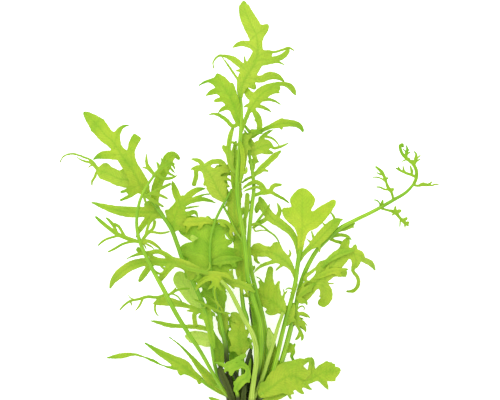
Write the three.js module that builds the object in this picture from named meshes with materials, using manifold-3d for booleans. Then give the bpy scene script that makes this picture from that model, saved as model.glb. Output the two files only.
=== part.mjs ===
// Broadleaf water sprite, picked with its crown and roots, lying on its side on a flat surface.
// Millimetres. X runs across the plant, Y from the crown to the top leaf, Z up from the surface.
// Every leaf and stem is laid out by its own centreline, read from the base outwards.

import * as THREE from 'three';
import Module from 'manifold-3d';

const wasm = await Module();
wasm.setup();

// Driving dimensions
const BLADE_THICKNESS = 0.75; // a broad leaf
const THINNEST = 0.5; // the finest hair-like segment
const THICKNESS_SHARE = 0.55; // of a segment's width, between those two
const FINEST_WIDTH = 0.6;
const TIP_WIDTH = 0.04; // of a segment that ends in a point
const SLAB_MIDDLE = 0.5; // height between the two faces of a slab one unit deep
const OUTLINE_EASE = 0.12; // a margin point nearer than this to a straight run is left out
const PIECE_GAP = 0.3; // between a leaf and the stem it grows from
const STEM_SIDES = 6;
const LIFT_POWER = 1.6; // how late along its length a lobe bends down or up

const CROWN_AXIS = [2, 9.3]; // x and z of the crown's centre
const CROWN_SIDES = 12;
const CROWN_RINGS = [[-16, 5.4], [-14, 8.4], [-11, 9.7], [-4, 9.8], [0, 9.6]]; // y and radius
const ORIGIN = [2, -5.5, 0]; // the middle of the crown's flat underside

const ROOT_TOP = -16.3;
const ROOT_LENGTH = 24; // of the middle strand
const ROOT_STRANDS = 7;
const ROOT_STEPS = [0, 0.3, 0.65, 1]; // where a strand has points, as shares of its length
const ROOT_SIDES = 5;
const ROOT_THICK = 3.4;
const ROOT_FINE = 0.9; // a strand's diameter at its tip
const OUTER_CUT = 0.16; // how much shorter the outermost strands are
const EVERY_OTHER_CUT = 0.1; // how much shorter every other strand is
const ROOT_START = 1.2; // how far aside the outermost strand starts
const ROOT_SPREAD = 9; // how much farther aside it ends
const SPREAD_POWER = 0.8;
const ROOT_SWAY = 1.2; // how far a strand bends to and fro
const SWAY_TURN = 5; // radians of that bend along a strand
const ROOT_DROP = 1.5; // below the crown's axis at the top
const ROOT_FLOOR = 2; // height of a strand's centre where it lies down
const ROOT_LIFTS = [1.8, 4.5]; // how much higher a strand is at its top, by turns
const DROOP_RATE = 1.4; // how soon along its length a strand lies down
const KNOT = [[0, -1.3, 7], [-5, -2.2, 4]]; // y from the root's top, z from the axis, diameter
const KNOT_SIDES = 8;

// Share of a lobe's full width along its length, for each form of lobe
const FORMS = {
  point: [[0, 0.8], [0.45, 1], [0.8, 0.62], [1, 0]],
  round: [[0, 0.75], [0.5, 1], [0.85, 0.8], [1, 0.35]],
  square: [[0, 0.8], [0.5, 0.9], [1, 0.85]],
  tail: [[0, 0.9], [0.35, 1], [0.6, 0.4], [1, 0.12]],
};

const finish = (colour, roughness) => ({ color: colour, roughness, metalness: 0 });
const TONES = {
  fresh: finish(0xa8d237, 0.5),
  deep: finish(0x86c42c, 0.5),
  pale: finish(0xc3e16e, 0.55),
  stem: finish(0x8cc832, 0.45),
  crown: finish(0x464b28, 0.8),
  root: finish(0x3a2c1c, 0.9),
};

// Stems: points of x, y, z and diameter. A twig is a fine segment grown from the stem.
const STEMS = {
  "tall_stem": { "tone": "stem", "line": [
    [4.6, 0.3, 11.5, 2.8], [6.5, 5, 13, 2.8], [9.3, 15, 17, 2.6], [10.8, 28, 20.5, 2.5],
    [9.8, 40, 23.5, 2.4], [6.8, 50, 25.5, 2.4], [4, 61, 27.5, 2.3], [3, 73, 29, 2.3],
    [1.4, 85, 30, 2.2], [-0.8, 97, 31, 2.2], [-1.4, 110, 31.8, 2.1], [-0.6, 122, 32.3, 2],
    [0.3, 133, 32.6, 1.9], [0.7, 145, 32.6, 1.7], [0.2, 151, 32.4, 1.5]] },
  "second_stem": { "tone": "stem", "line": [
    [7.5, 0.3, 8.3, 2.5], [10.5, 6, 10, 2.5], [13.2, 16, 13, 2.4], [13.4, 28, 16, 2.3],
    [11.5, 41, 18.5, 2.2], [8.4, 53, 20.5, 2.1], [5.6, 65, 22.3, 2], [4.4, 76, 23.7, 2],
    [4.9, 87, 25, 1.9], [5.9, 97, 26, 1.9], [6.9, 106, 26.7, 1.8], [6.2, 114, 27.2, 1.7],
    [4.9, 121, 27.5, 1.5], [3.7, 128, 27.6, 1.3], [3.2, 131.5, 27.6, 1.1]] },
  "front_stem": { "tone": "pale", "line": [
    [5.8, 0.3, 17.2, 2.5], [6.2, 5, 19.4, 2.5], [7.2, 12, 23, 2.4], [8.1, 20, 26.4, 2.4],
    [7.9, 27, 29, 2.4], [6.3, 33, 31.3, 2.3], [2.2, 40.5, 33.7, 2.2], [-2, 49, 35.6, 2.1],
    [-5.5, 55.5, 36.8, 1.9], [-9.5, 60, 37.4, 1.7]] },
  "left_fern_stem": { "tone": "stem", "line": [
    [-5.3, 0.3, 14.8, 2.5], [-8, 5, 17, 2.5], [-13.5, 14, 21, 2.4], [-19, 24, 25, 2.3],
    [-25, 33.5, 28.5, 2.3], [-31.5, 44, 31.5, 2.3], [-37, 54, 33.5, 2.2], [-42.2, 63, 34.6, 2],
    [-46.5, 71.5, 35.2, 1.9], [-49.7, 79, 35.6, 1.8], [-51.3, 86.5, 35.8, 1.6], [-51, 94, 35.9, 1.5],
    [-49.3, 101, 36, 1.4], [-46.3, 107, 36.2, 1.3], [-42.8, 112, 36.4, 1.2]], "twigs": [
    { "rib": [[-36.2, 52.3, 33, 1], [-34.3, 53.5, 33, 1.2], [-31, 55.2, 32, 1], [-25, 55.9, 29.5, 0.6]],
      "lobes": [
        [1, [[-32.8, 55], [-31.7, 56.7]], 1.2, 1],
        [0.8, [[-31.5, 52.3], [-29.7, 50.3], [-27.8, 47.4]], 0.8, -5]] }] },
  "left_leaf_stem": { "tone": "stem", "line": [
    [-4, 0.3, 11, 2.7], [-6.5, 6, 12.5, 2.7], [-10.3, 16, 15, 2.6], [-12.6, 27, 17.3, 2.5],
    [-15, 38, 19.5, 2.4], [-18.8, 48.5, 21.3, 2.3], [-23.5, 59, 22.8, 2.2], [-28.3, 69, 24, 2.2],
    [-31.4, 78, 25, 2.1], [-34.6, 86, 26, 2], [-38.3, 91.5, 27, 1.8], [-42, 96.5, 27.8, 1.5]] },
  "centre_leaf_stem": { "tone": "stem", "line": [
    [-2, 0.3, 13.2, 2.5], [-3.8, 6, 14, 2.5], [-6.3, 16, 15.5, 2.4], [-7.2, 26, 17, 2.3],
    [-9.3, 37, 18.5, 2.2], [-11.5, 48, 19.8, 2], [-13.5, 58, 21, 1.7], [-14.8, 67, 22.2, 1.5],
    [-15, 76, 23.4, 1.3], [-14, 84, 24.6, 1.2], [-12, 90.5, 25.6, 1.3], [-9.3, 96, 26.3, 1.4],
    [-6.5, 101, 26.8, 1.2], [-4.2, 105.5, 27, 1]] },
  "right_leaf_stem": { "tone": "stem", "line": [
    [9.2, 0.3, 11.6, 2.5], [11.5, 3, 12.5, 2.5], [15.3, 11, 15.5, 2.4], [18, 20, 18.3, 2.3],
    [20.3, 30, 20.8, 2.2], [23, 41, 23, 2.1], [25.8, 51, 24.8, 2.1], [27.8, 60, 26, 2.1],
    [28.8, 68, 27, 2.2], [30, 75, 27.8, 2.4]] },
  "right_fern_stem": { "tone": "stem", "line": [
    [9.3, 0.3, 5.7, 2.7], [12, 3, 6.8, 2.7], [17.5, 11, 9.7, 2.6], [21.8, 22, 13, 2.5],
    [25, 34, 15.8, 2.4], [27.8, 46, 18.3, 2.3], [30.3, 58, 20.5, 2.2], [33.8, 67, 22.3, 2.2],
    [38.5, 75, 23.8, 2.1], [44.2, 81, 24.8, 2], [50, 86, 25.3, 2], [57, 89.7, 23.8, 2],
    [66.5, 94.3, 20.3, 1.9], [76.8, 100, 15.5, 1.8], [83.8, 104.3, 12, 1.6], [87.4, 108.3, 10, 1.4]],
    "twigs": [
    { "rib": [[70.6, 96.6, 18.4, 1], [71, 98, 18.6, 1.2], [71.4, 100, 18.4, 0.5]],
      "lobes": [] },
    { "rib": [
      [70, 96.3, 18.7, 0.7], [70, 98, 18.9, 0.6], [68.5, 99.8, 18.8, 0.6], [66.7, 100, 18.4, 0.4]],
      "lobes": [] }] },
  "low_right_stem": { "tone": "stem", "line": [
    [10.5, 0.3, 8.7, 2.3], [13.3, 3.5, 10, 2.2], [18.5, 13, 13.3, 2.1], [22, 24, 16.5, 2],
    [24.6, 34, 19.2, 1.9], [27, 43, 21.3, 1.8], [29, 50, 22.6, 1.8]] },
  "pale_stem": { "tone": "pale", "line": [
    [6.7, 0.3, 14.5, 2.2], [8.3, 3.5, 15.4, 2.1], [11.3, 11, 17, 2], [14, 20, 20.4, 1.9],
    [16.7, 29, 24, 1.9], [19.2, 37.5, 25.8, 1.8], [21.5, 44, 27, 1.7]] },
};

// Leaves: the rib has points of x, y, z and width. A lobe leaves the rib at the place given first,
// counted in rib points, then follows its own points, with its width, its rise to the tip and its form.
const LEAVES = {
  "tall_top_leaf": { "stem": "tall_stem", "tone": "fresh",
    "rib": [
      [0.2, 151, 32.4, 1.6], [0.8, 156, 32.6, 4.5], [3.5, 162, 33, 7.5], [7.3, 168, 33, 7],
      [8.9, 174.5, 32, 4.4], [8.9, 180, 30.5, 4.8], [7.6, 185.5, 28.5, 8.6], [4.6, 190.5, 26, 7.6],
      [2.3, 195.3, 23, 5.6], [1.9, 199.4, 20, 1.2]],
    "lobes": [
      [5.3, [[12, 183.5], [14.4, 187.7]], 3.4, -2],
      [3.8, [[5.5, 177], [1, 178], [-4.2, 175.8]], 3.4, -6],
      [2.9, [[12, 171], [17.6, 173.6]], 6.5, -3, "round"],
      [3.2, [[16, 171], [21, 172.3], [25, 175], [27, 174.3]], 2.3, -6],
      [2.95, [[15, 173.5], [20.6, 174.5]], 1.6, -5],
      [2.6, [[13.5, 168.2], [19, 168.8], [22.9, 166.8]], 2, -6],
      [1.8, [[9, 159.5], [15, 161.8], [18.5, 161.8], [22, 159]], 3, -8],
      [1.4, [[5, 158], [7.5, 155]], 4, -2, "round"],
      [2.2, [[0.5, 167], [-4.5, 170.7], [-10.8, 171.6], [-13.3, 168.8],
        [-12.7, 164.8]], 2.8, -4, "tail"],
      [2.3, [[2.8, 168], [2.2, 172.2]], 1.6, 2], [2, [[1, 164.3], [-2.3, 164.2]], 2, 0],
      [1, [[-4.8, 165.5], [-9.8, 172.3]], 1.2, 3]] },
  "tall_left_leaf": { "stem": "tall_stem", "tone": "fresh",
    "rib": [
      [0.4, 137, 32.6, 1.2], [-1.2, 140, 33, 3], [-2.6, 146, 33.5, 5.5], [-5.8, 152.5, 33.5, 8],
      [-9, 158, 32, 6.5], [-11.6, 162.9, 30.5, 2.2]],
    "lobes": [
      [3.6, [[-12, 158.9], [-16.2, 159.2], [-20.6, 157]], 4.6, -5, "tail"],
      [3, [[-11.5, 154.2], [-17.3, 151.9]], 3.4, -6],
      [2.4, [[-8.5, 150], [-13.1, 149.2]], 2.6, -4, "round"],
      [1.8, [[-6.5, 146], [-11, 143.4]], 2.6, -4],
      [0.9, [[-5, 139.5], [-10, 142.3], [-15.9, 142.4]], 2, -7],
      [2.6, [[-4.2, 154], [-4, 158.4]], 3.6, -1, "round"]] },
  "tall_right_leaf": { "stem": "tall_stem", "tone": "fresh",
    "rib": [
      [0.6, 134, 32.6, 1.4], [2.4, 139, 32.8, 1.6], [4.2, 143.5, 33, 1.8], [6.8, 148, 33.2, 4.5],
      [10.5, 152.6, 32.5, 6.2], [15, 155.2, 30.5, 5.6], [20, 155.6, 28.5, 2.6]],
    "lobes": [
      [4.6, [[17.5, 158], [23.5, 158.2], [28, 152.8]], 2.4, -12],
      [5, [[17, 154.3], [20, 153.5]], 2.2, -2],
      [3.2, [[11.5, 149.8], [15, 150], [20.9, 147.1]], 1.3, -8],
      [2.9, [[11, 146.6], [15.8, 143.8]], 1.3, -6], [2.8, [[9, 142], [10, 135]], 2.6, -5, "round"],
      [2.8, [[8.9, 141], [8.7, 138.2], [6, 140.3]], 0.9, -3], [3, [[3.5, 147], [1.5, 146]], 1.6, -1],
      [3.4, [[5, 152], [3, 156]], 4, -3, "round"]] },
  "tall_sprig": { "stem": "tall_stem", "tone": "fresh",
    "rib": [
      [-1.2, 113, 31.9, 1.2], [-4, 116, 31, 1.4], [-5.6, 121, 30.5, 1.5], [-5.6, 127, 30.5, 1.5],
      [-4.8, 132, 30.8, 1.5], [-3.2, 136.8, 31, 1]],
    "lobes": [
      [2.4, [[-7, 126], [-8.9, 128.6]], 2.4, 1, "round"], [3.2, [[-3.5, 128.8], [-1.8, 128.3]], 1.2, 0],
      [1.2, [[-4, 120], [-3.2, 127]], 1.8, -1]] },
  "upper_right_leaf_1": { "stem": "second_stem", "tone": "fresh",
    "rib": [
      [3.4, 130.5, 27.6, 1.4], [6.5, 132.6, 27.5, 3], [10, 134.2, 27, 1.8], [15, 136.6, 26, 2.2],
      [20, 138.1, 24, 4], [25.5, 138.4, 21.5, 3.2], [29.6, 137.2, 18.5, 2.6], [31.7, 134.2, 15.5, 0.9]],
    "lobes": [
      [3.6, [[20, 139.5], [21.9, 140.7]], 2, 0, "round"],
      [4, [[20.5, 136.5], [21, 135.1]], 2, 0, "round"], [1.2, [[6.3, 134.5], [6.8, 135.2]], 2, 1],
      [0.8, [[4.5, 134.8], [2.3, 137.3]], 1.1, 1]] },
  "upper_right_leaf_2": { "stem": "second_stem", "tone": "fresh",
    "rib": [
      [4.4, 123.5, 27.5, 1.4], [6.5, 124.5, 27, 4], [9.5, 126.3, 26.5, 6.5], [13, 127.4, 25, 5.5],
      [16.2, 127, 23, 2.4]],
    "lobes": [
      [1.8, [[12, 132.2], [17.1, 135.4]], 2.2, -3],
      [1.6, [[11, 131.6], [16, 130.8], [20.2, 126.3]], 1.4, -7],
      [3.2, [[17, 126], [20, 126.6], [25, 129]], 1.5, -4], [2, [[12.5, 124.4], [17, 123.6]], 3, -3],
      [1, [[7.5, 121], [9.3, 118.9]], 2.4, -2]] },
  "upper_right_leaf_3": { "stem": "second_stem", "tone": "fresh",
    "rib": [
      [6.5, 111.5, 27.1, 1.3], [9, 114.5, 27, 2], [13, 118, 26.5, 2.8], [17, 121.7, 25, 2.9],
      [20.5, 124.6, 23, 0.8]],
    "lobes": [
      [1, [[12, 115.8], [14.4, 114.6]], 1, -1]] },
  "fork_leaf": { "stem": "second_stem", "tone": "fresh",
    "rib": [
      [6.7, 102, 26.5, 1.3], [9.5, 103.2, 27, 1.6], [12.5, 104, 27.3, 2.6], [14.8, 104.2, 27, 2.4]],
    "lobes": [
      [3, [[16.5, 106.8], [21, 107.5]], 1.8, -3],
      [3, [[17.5, 102.8], [21, 101], [24.5, 98.5]], 1.5, -6],
      [2.2, [[11, 107.3], [8, 109], [3.5, 107.3], [0.6, 104.6]], 2.2, 6],
      [2, [[9, 106.3], [5, 105.6], [1, 103.8]], 1.4, 5]] },
  "side_spray": { "stem": "second_stem", "tone": "fresh",
    "rib": [
      [5, 87, 25, 1], [8, 88.2, 25.5, 1.4], [11, 87, 25, 1], [14.3, 84.4, 23.5, 1],
      [17.5, 82, 21.5, 0.9], [19.9, 78, 19, 0.6]],
    "lobes": [
      [0.6, [[7.5, 84.6], [11, 84.9], [14, 84.3]], 0.8, -2]] },
  "centre_high_leaf": { "stem": "centre_leaf_stem", "tone": "fresh",
    "rib": [
      [-7.5, 99.5, 26.6, 1.4], [-9.5, 102.5, 27.2, 5.5], [-11.5, 106, 27.8, 9], [-13.5, 110, 28.2, 8],
      [-15.5, 113.5, 28, 6], [-18.5, 117, 27, 3]],
    "lobes": [
      [4.6, [[-20, 119.2], [-24.7, 120.5]], 2.4, -3],
      [4.8, [[-13.5, 119.6], [-9, 120], [-6.4, 117.2]], 3.6, -2],
      [4, [[-19.5, 116], [-24.9, 115.1]], 2.8, -5],
      [4, [[-21.5, 115.3], [-22, 111.5], [-23.4, 107]], 2.6, -7, "square"],
      [3.4, [[-9, 115], [-4.5, 113.5]], 4, -2], [2.6, [[-8, 111], [-4.5, 109.8]], 2, -2],
      [2, [[-7.5, 107.8], [-4.8, 106.5]], 1.6, -1],
      [2.4, [[-16, 109], [-18.2, 107.3]], 2.6, -2, "round"],
      [1.6, [[-14, 105.3], [-17, 105.8]], 1.8, -1],
      [4.3, [[-12, 116.5], [-7, 117], [-4.5, 115.5]], 3.2, -2]] },
  "centre_broad_leaf": { "stem": "centre_leaf_stem", "tone": "deep",
    "rib": [
      [-13.8, 61, 19.6, 3], [-14.8, 67, 20.4, 10], [-15, 74, 21.2, 15], [-14.6, 81, 22, 14],
      [-13.5, 87, 22.8, 8], [-12.6, 90.5, 23, 3]],
    "lobes": [
      [3.5, [[-20, 88], [-28, 90.3]], 6, -3, "round"], [3.8, [[-15.5, 90], [-16.6, 92]], 3, 0, "round"],
      [2.4, [[-22, 82], [-31, 86.5]], 7, -3, "round"], [1.6, [[-22, 74], [-30, 76]], 9, -3, "round"],
      [0.8, [[-20, 67], [-26, 70]], 6, -2, "round"],
      [3.2, [[-9.5, 85.5], [-5.5, 84.5]], 5, -2, "round"], [2.2, [[-8, 78.5], [-3.5, 79]], 5, -2],
      [1.2, [[-8, 73.5], [0.8, 72.8]], 6, -4], [0.6, [[-8, 68], [1, 67.5], [7.5, 66.5]], 6, -6],
      [0.2, [[-8, 63], [-3, 58.5]], 6, -4]] },
  "left_long_leaf": { "stem": "left_leaf_stem", "tone": "fresh",
    "rib": [
      [-38.3, 91.5, 27, 2], [-42, 93.6, 25.1, 5], [-48, 94, 25, 5], [-55, 94, 24.3, 5.2],
      [-62, 95, 22, 4.2], [-69, 97, 17, 2.4], [-74.6, 98.9, 11, 0.6]],
    "lobes": [
      [0.9, [[-42.5, 96.5], [-47.8, 98]], 4.5, 0, "round"],
      [1.2, [[-46.5, 90], [-49.5, 86], [-52.4, 80.6]], 3, -7], [0.6, [[-44, 90], [-46, 88]], 2, -2]] },
  "left_strap_leaf": { "stem": "left_leaf_stem", "tone": "fresh",
    "rib": [
      [-40.6, 94.6, 26.8, 1.8], [-41.9, 96.8, 26.2, 2.8], [-42.3, 99, 26.2, 3.6], [-42, 105, 26.2, 4.6],
      [-39.8, 111, 26.5, 5.2], [-37.2, 117, 27, 5.6], [-34.8, 121.8, 26, 5], [-32.5, 122.3, 23.5, 3],
      [-30.2, 120.2, 21, 1.6]],
    "lobes": [] },
  "left_fan_leaf": { "stem": "left_leaf_stem", "tone": "fresh",
    "rib": [
      [-33.6, 84.5, 25.8, 2], [-33, 88, 25, 6], [-32.3, 92, 25.5, 8.5], [-30.5, 96, 26.5, 6],
      [-29, 99.2, 27.5, 4]],
    "lobes": [
      [2, [[-35.5, 93.5], [-37.3, 95]], 3.5, -1, "round"],
      [3.4, [[-32, 103.5], [-33.9, 109.9]], 3.6, 1],
      [3.8, [[-28.8, 101], [-28.2, 102.4]], 2.6, 0, "round"],
      [3.2, [[-31, 98.2], [-33, 97.5]], 2, 0, "round"],
      [3.5, [[-25.5, 102.3], [-21.5, 105], [-16.8, 105.7]], 3.4, -4],
      [3.1, [[-23, 101], [-17.5, 102.7], [-11.8, 103]], 1.1, -4],
      [2.8, [[-24.5, 99.5], [-19, 100.4], [-11.6, 98.3]], 2.6, -5],
      [2.6, [[-25, 96.3], [-19, 97.1]], 1.1, -3], [2.2, [[-26, 93], [-22.5, 94], [-21, 91]], 2.6, -3],
      [1.4, [[-28.5, 91], [-27, 89.8]], 5, -2, "round"], [0.8, [[-29.5, 86.5], [-28, 83.5]], 4, -3],
      [1, [[-28, 85.5], [-26.6, 83]], 1.8, -4, "round"]] },
  "left_top_leaf": { "stem": "left_leaf_stem", "tone": "fresh",
    "stalk": [[-42, 96.5, 27.8, 1.5], [-44.8, 100.5, 28.8, 1.8], [-47, 104.2, 29.6, 2]],
    "rib": [
      [-47, 104.2, 29.6, 4], [-49.8, 108, 30, 8], [-53, 114, 30.3, 7.5], [-56.5, 120, 30, 7],
      [-60.3, 126.5, 29, 5.4], [-65.5, 132.8, 27, 8.4], [-70.3, 137.3, 24.5, 8.8],
      [-74.5, 141, 22, 5.6], [-78.4, 143.9, 19.5, 1.8]],
    "lobes": [
      [4.3, [[-61.2, 132], [-59.8, 135.8], [-55.6, 137.5]], 3.6, -2],
      [2.9, [[-55, 122.5], [-54.2, 127], [-51.4, 132.2]], 5, -3, "square"],
      [3.4, [[-63, 123.8], [-68, 123.6], [-73.4, 120.3]], 4.4, -8],
      [6.3, [[-72, 135.5], [-74.6, 136]], 2.6, 0], [7.2, [[-76, 139.5], [-77, 140.8]], 2, 0],
      [6.5, [[-68.5, 140], [-69.3, 141]], 2.2, 0], [0.9, [[-53.5, 106], [-56, 103]], 5, -2, "round"],
      [0.6, [[-54, 102.6], [-60, 99.7]], 1.8, -4], [0.9, [[-56, 105], [-59.8, 103.8]], 1.5, -3]] },
  "left_tendril_leaf": { "stem": "left_leaf_stem", "tone": "fresh",
    "rib": [
      [-47, 103.8, 27.6, 2.5], [-50.5, 107.5, 27.2, 4], [-55, 110, 26.5, 8.5], [-60, 110.6, 25, 7.2],
      [-65, 112.8, 23, 7.2], [-69.5, 114.5, 21, 7.6], [-71.3, 115, 19.8, 6.5]],
    "lobes": [
      [5.6, [[-74, 119.3], [-79, 121.8], [-85, 123.2], [-89, 121.8], [-90.8, 118.7]], 1.6, -20],
      [5.8, [[-75, 118.6], [-79, 119.8], [-82.5, 122]], 1.2, -6],
      [5.9, [[-73.5, 117.2], [-77, 115]], 0.8, -6],
      [6, [[-73, 111], [-74.2, 109.2], [-73.8, 106.2]], 1.4, -8],
      [2.8, [[-58, 113.5], [-58.3, 115.6]], 3.4, -1, "square"],
      [4.8, [[-67, 116.5], [-68.5, 118]], 4, -1, "round"]] },
  "front_fountain_leaf": { "stem": "front_stem", "tone": "fresh",
    "rib": [
      [-9.5, 60, 37.4, 1.7], [-12, 61.7, 37.4, 3], [-15, 63.2, 37.2, 3]],
    "lobes": [
      [1.2, [[-8, 63.3], [-3.2, 60.3]], 1.8, -3], [1.4, [[-18, 60.5], [-22.3, 54]], 2.2, -8],
      [1, [[-13.5, 57.8], [-16.5, 55.2]], 1.8, -4],
      [0.4, [[-12, 57.5], [-12.5, 52], [-10, 47], [-7, 43.5]], 1, -12],
      [0.8, [[-10.5, 57], [-6, 54]], 1.6, -5]] },
  "front_left_leaf": { "stem": "front_stem", "tone": "fresh",
    "rib": [
      [-16.2, 63.6, 37, 2], [-20, 64.8, 36.5, 2.6], [-25, 66.6, 35.5, 4], [-31, 68.8, 33.5, 6],
      [-38, 69.3, 31, 4.5], [-46, 69.3, 28, 3.6], [-54, 67.3, 24, 4.6], [-60, 63.3, 18.5, 4.4],
      [-64, 58.8, 12.5, 2.4], [-65.3, 55.6, 8, 0.7]],
    "lobes": [
      [3.6, [[-42, 71.5], [-49, 73], [-56.9, 70.5]], 2.4, -5],
      [3.9, [[-47, 73.8], [-51, 75.6]], 2.6, -2, "round"],
      [4.6, [[-46, 65.5], [-50.6, 58.9]], 3.2, -8, "round"],
      [3.2, [[-37, 64], [-41, 58.5]], 3.2, -7, "round"],
      [3.1, [[-37.5, 65.3], [-40.5, 63.6], [-42.6, 65.2]], 1, -2],
      [3.3, [[-37, 66], [-39.4, 67.4]], 1, -1], [2.7, [[-36, 72.2], [-42, 74], [-47.5, 74.6]], 2.2, -2],
      [2.2, [[-24, 63.5], [-26, 60.5]], 5, -5]] },
  "pale_strap_leaf": { "stem": "left_leaf_stem", "tone": "pale",
    "rib": [
      [-18, 46.3, 20.9, 1.4], [-20.6, 47.4, 17, 3.6], [-23.4, 50.6, 14, 6.6], [-26.4, 55.4, 11.5, 8],
      [-29.6, 60, 9.5, 8.2], [-31.4, 64, 8, 5]],
    "lobes": [] },
  "low_left_leaf": { "stem": "left_leaf_stem", "tone": "fresh",
    "rib": [
      [-16.6, 42.5, 20.3, 1.4], [-21, 44.5, 19.3, 2.2], [-26, 46.6, 18, 2.2], [-32, 48.2, 16.5, 3],
      [-38, 49.3, 14.5, 4.2], [-43.5, 47.9, 11.5, 1]],
    "lobes": [
      [4, [[-37, 51.8], [-36.8, 53]], 2.5, 0], [1.2, [[-24.5, 45.3], [-28.3, 44.8]], 1.6, -3],
      [0.7, [[-22, 41.5], [-27, 43.5]], 3, -3],
      [0.9, [[-23.3, 43.5], [-24, 40], [-22, 36.8]], 2.6, -2.5, "square"]] },
  "low_left_blade": { "stem": "left_leaf_stem", "tone": "fresh",
    "rib": [
      [-14.3, 34.6, 18.8, 1.6], [-20, 36.2, 16.5, 2.6], [-28, 36.6, 13.5, 2], [-36, 37.2, 10, 2.4],
      [-41, 38.4, 7, 1.8], [-45.4, 39.3, 4.5, 0.5]],
    "lobes": [] },
  "pale_left_leaf": { "stem": "left_leaf_stem", "tone": "pale",
    "rib": [
      [-12.8, 28, 17.4, 2], [-16.5, 29.5, 14, 6.5], [-21.5, 30.6, 10.5, 6.6], [-25.5, 31.3, 8, 4.4],
      [-27.7, 31.6, 7, 2]],
    "lobes": [] },
  "low_left_frond": { "stem": "", "tone": "fresh",
    "stalk": [[-5.3, 0.5, 6.5, 2.2], [-11, 4.5, 6.5, 2.1], [-16, 8, 6.5, 2.2], [-20, 11, 6.2, 2.2]],
    "rib": [
      [-20, 11, 6.2, 2.4], [-24.5, 14, 6, 4.2], [-29, 17.2, 5.6, 6], [-34, 20.2, 5, 4],
      [-40, 23.8, 4, 2.6], [-48.4, 28.3, 2.4, 0.5]],
    "lobes": [
      [1.8, [[-33, 15.8], [-38.8, 17.3], [-44, 19.6], [-48, 21.3], [-53, 22.6], [-60, 21.9],
        [-67.6, 20.7]], [2, 1.8, 0.7, 1.5, 0.9, 1.4, 2.8, 0.4], -5.4],
      [1.6, [[-28.5, 14], [-30, 12.4]], 3.8, -1, "round"],
      [0.6, [[-20.8, 9.5], [-21, 7.9]], 2, -1, "round"]] },
  "left_needle": { "stem": "", "tone": "fresh",
    "stalk": [[-6, 0.5, 9.7, 1.6], [-12, 7, 10.5, 1.7]],
    "rib": [
      [-12, 7, 10.5, 2], [-17.5, 13.5, 11, 2.8], [-22.5, 19.5, 11.3, 2.2], [-28, 25, 11, 1.1],
      [-32, 28.3, 10.5, 0.9], [-36, 31.5, 10, 0.5]],
    "lobes": [] },
  "left_fern_leaflet_1": { "stem": "left_fern_stem", "tone": "fresh",
    "rib": [
      [-37.2, 53, 33.2, 1], [-41, 51.6, 33, 1.2], [-46, 51.8, 32, 1.3], [-50.5, 50.6, 30.5, 1.1],
      [-55, 49.5, 28, 1], [-58, 47.3, 25.5, 0.9], [-60.2, 44.9, 23, 0.5]],
    "lobes": [
      [2.4, [[-50, 47.5], [-52.6, 44.2]], 1.2, -5], [3.3, [[-55, 51.6], [-56, 53.6]], 0.6, 1],
      [3.9, [[-54.2, 48], [-54.1, 47]], 0.9, -1],
      [0.7, [[-41.3, 50], [-42.4, 46], [-41.6, 43.2], [-39.7, 41.4]], 1.2, -7]] },
  "left_fern_leaflet_2": { "stem": "left_fern_stem", "tone": "fresh",
    "rib": [
      [-49.7, 79, 35.6, 1.2], [-53, 80, 35.8, 1.6], [-57, 81.3, 35.5, 1.8], [-61, 83, 34.5, 1.8],
      [-65.5, 86.2, 32.5, 1.7], [-69, 89, 30, 1.6], [-72.2, 91.8, 27, 0.8]],
    "lobes": [
      [2.9, [[-62.2, 86], [-63.6, 88.2], [-66.7, 91.3]], 1.4, -2],
      [1.9, [[-58.8, 84.5], [-60.5, 87], [-63.3, 88.3]], 1.4, 0],
      [2.6, [[-63, 81.6], [-67.5, 80], [-70.8, 77.2]], 1.1, -7],
      [0.4, [[-54, 79.2], [-58.5, 78], [-62, 76], [-66, 74]], 1.3, -8]] },
  "left_fern_leaflet_3": { "stem": "left_fern_stem", "tone": "fresh",
    "rib": [
      [-49.3, 78.8, 35.6, 1.1], [-47.5, 81.5, 35.8, 1.3], [-45.8, 83.5, 35.5, 1.3],
      [-43.5, 85.5, 34.5, 1.2], [-42.3, 89.8, 33, 0.8]],
    "lobes": [
      [1.2, [[-46, 86], [-44.8, 88.8], [-43.3, 90.3]], 1.2, -1],
      [2.2, [[-43, 84], [-40, 83.5], [-35, 84.3]], 1.1, -4],
      [0.3, [[-45.5, 79.5], [-42, 77.6], [-38.5, 74.5]], 1.8, -6],
      [0.3, [[-46, 77.8], [-44, 76.7], [-42.5, 75]], 1, -5],
      [0.25, [[-47, 76.5], [-46.5, 75]], 0.9, -3]] },
  "left_fern_leaflet_4": { "stem": "left_fern_stem", "tone": "fresh",
    "rib": [
      [-48.6, 101.8, 36, 1], [-46, 102.4, 36, 1.2], [-42.5, 104.2, 35.5, 1.3], [-38.5, 106.2, 34, 1.3],
      [-34.4, 108.2, 31.5, 0.9]],
    "lobes": [
      [2.8, [[-39.6, 107.5], [-40.4, 108.8]], 1, 1], [1.4, [[-41, 102.7], [-36, 100.6]], 1.3, -4],
      [0.5, [[-43.5, 99.8], [-38, 96.6]], 1.5, -5], [0.3, [[-47.3, 99.5], [-46.5, 98]], 1, -2]] },
  "left_fern_tip": { "stem": "left_fern_stem", "tone": "fresh",
    "rib": [
      [-42.8, 112, 36.4, 1.3], [-39.6, 115.2, 36.5, 1.6], [-36.5, 117.3, 36.2, 1.5],
      [-34.2, 118.2, 35, 1.2], [-32.6, 117.8, 33.5, 0.7]],
    "lobes": [
      [0.1, [[-45.5, 115.8], [-46.4, 123.6]], 1.7, 0], [0.1, [[-44.8, 115], [-49, 116.4]], 1.1, -1],
      [0.1, [[-45.8, 117.5], [-47.4, 119.7]], 1, -0.5], [0.8, [[-40.5, 117], [-41.6, 119.2]], 1.3, 1],
      [1.4, [[-38.5, 119], [-39.2, 121.2]], 1.2, 1], [2.2, [[-36.5, 119], [-36.6, 120]], 1.1, 1],
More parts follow.
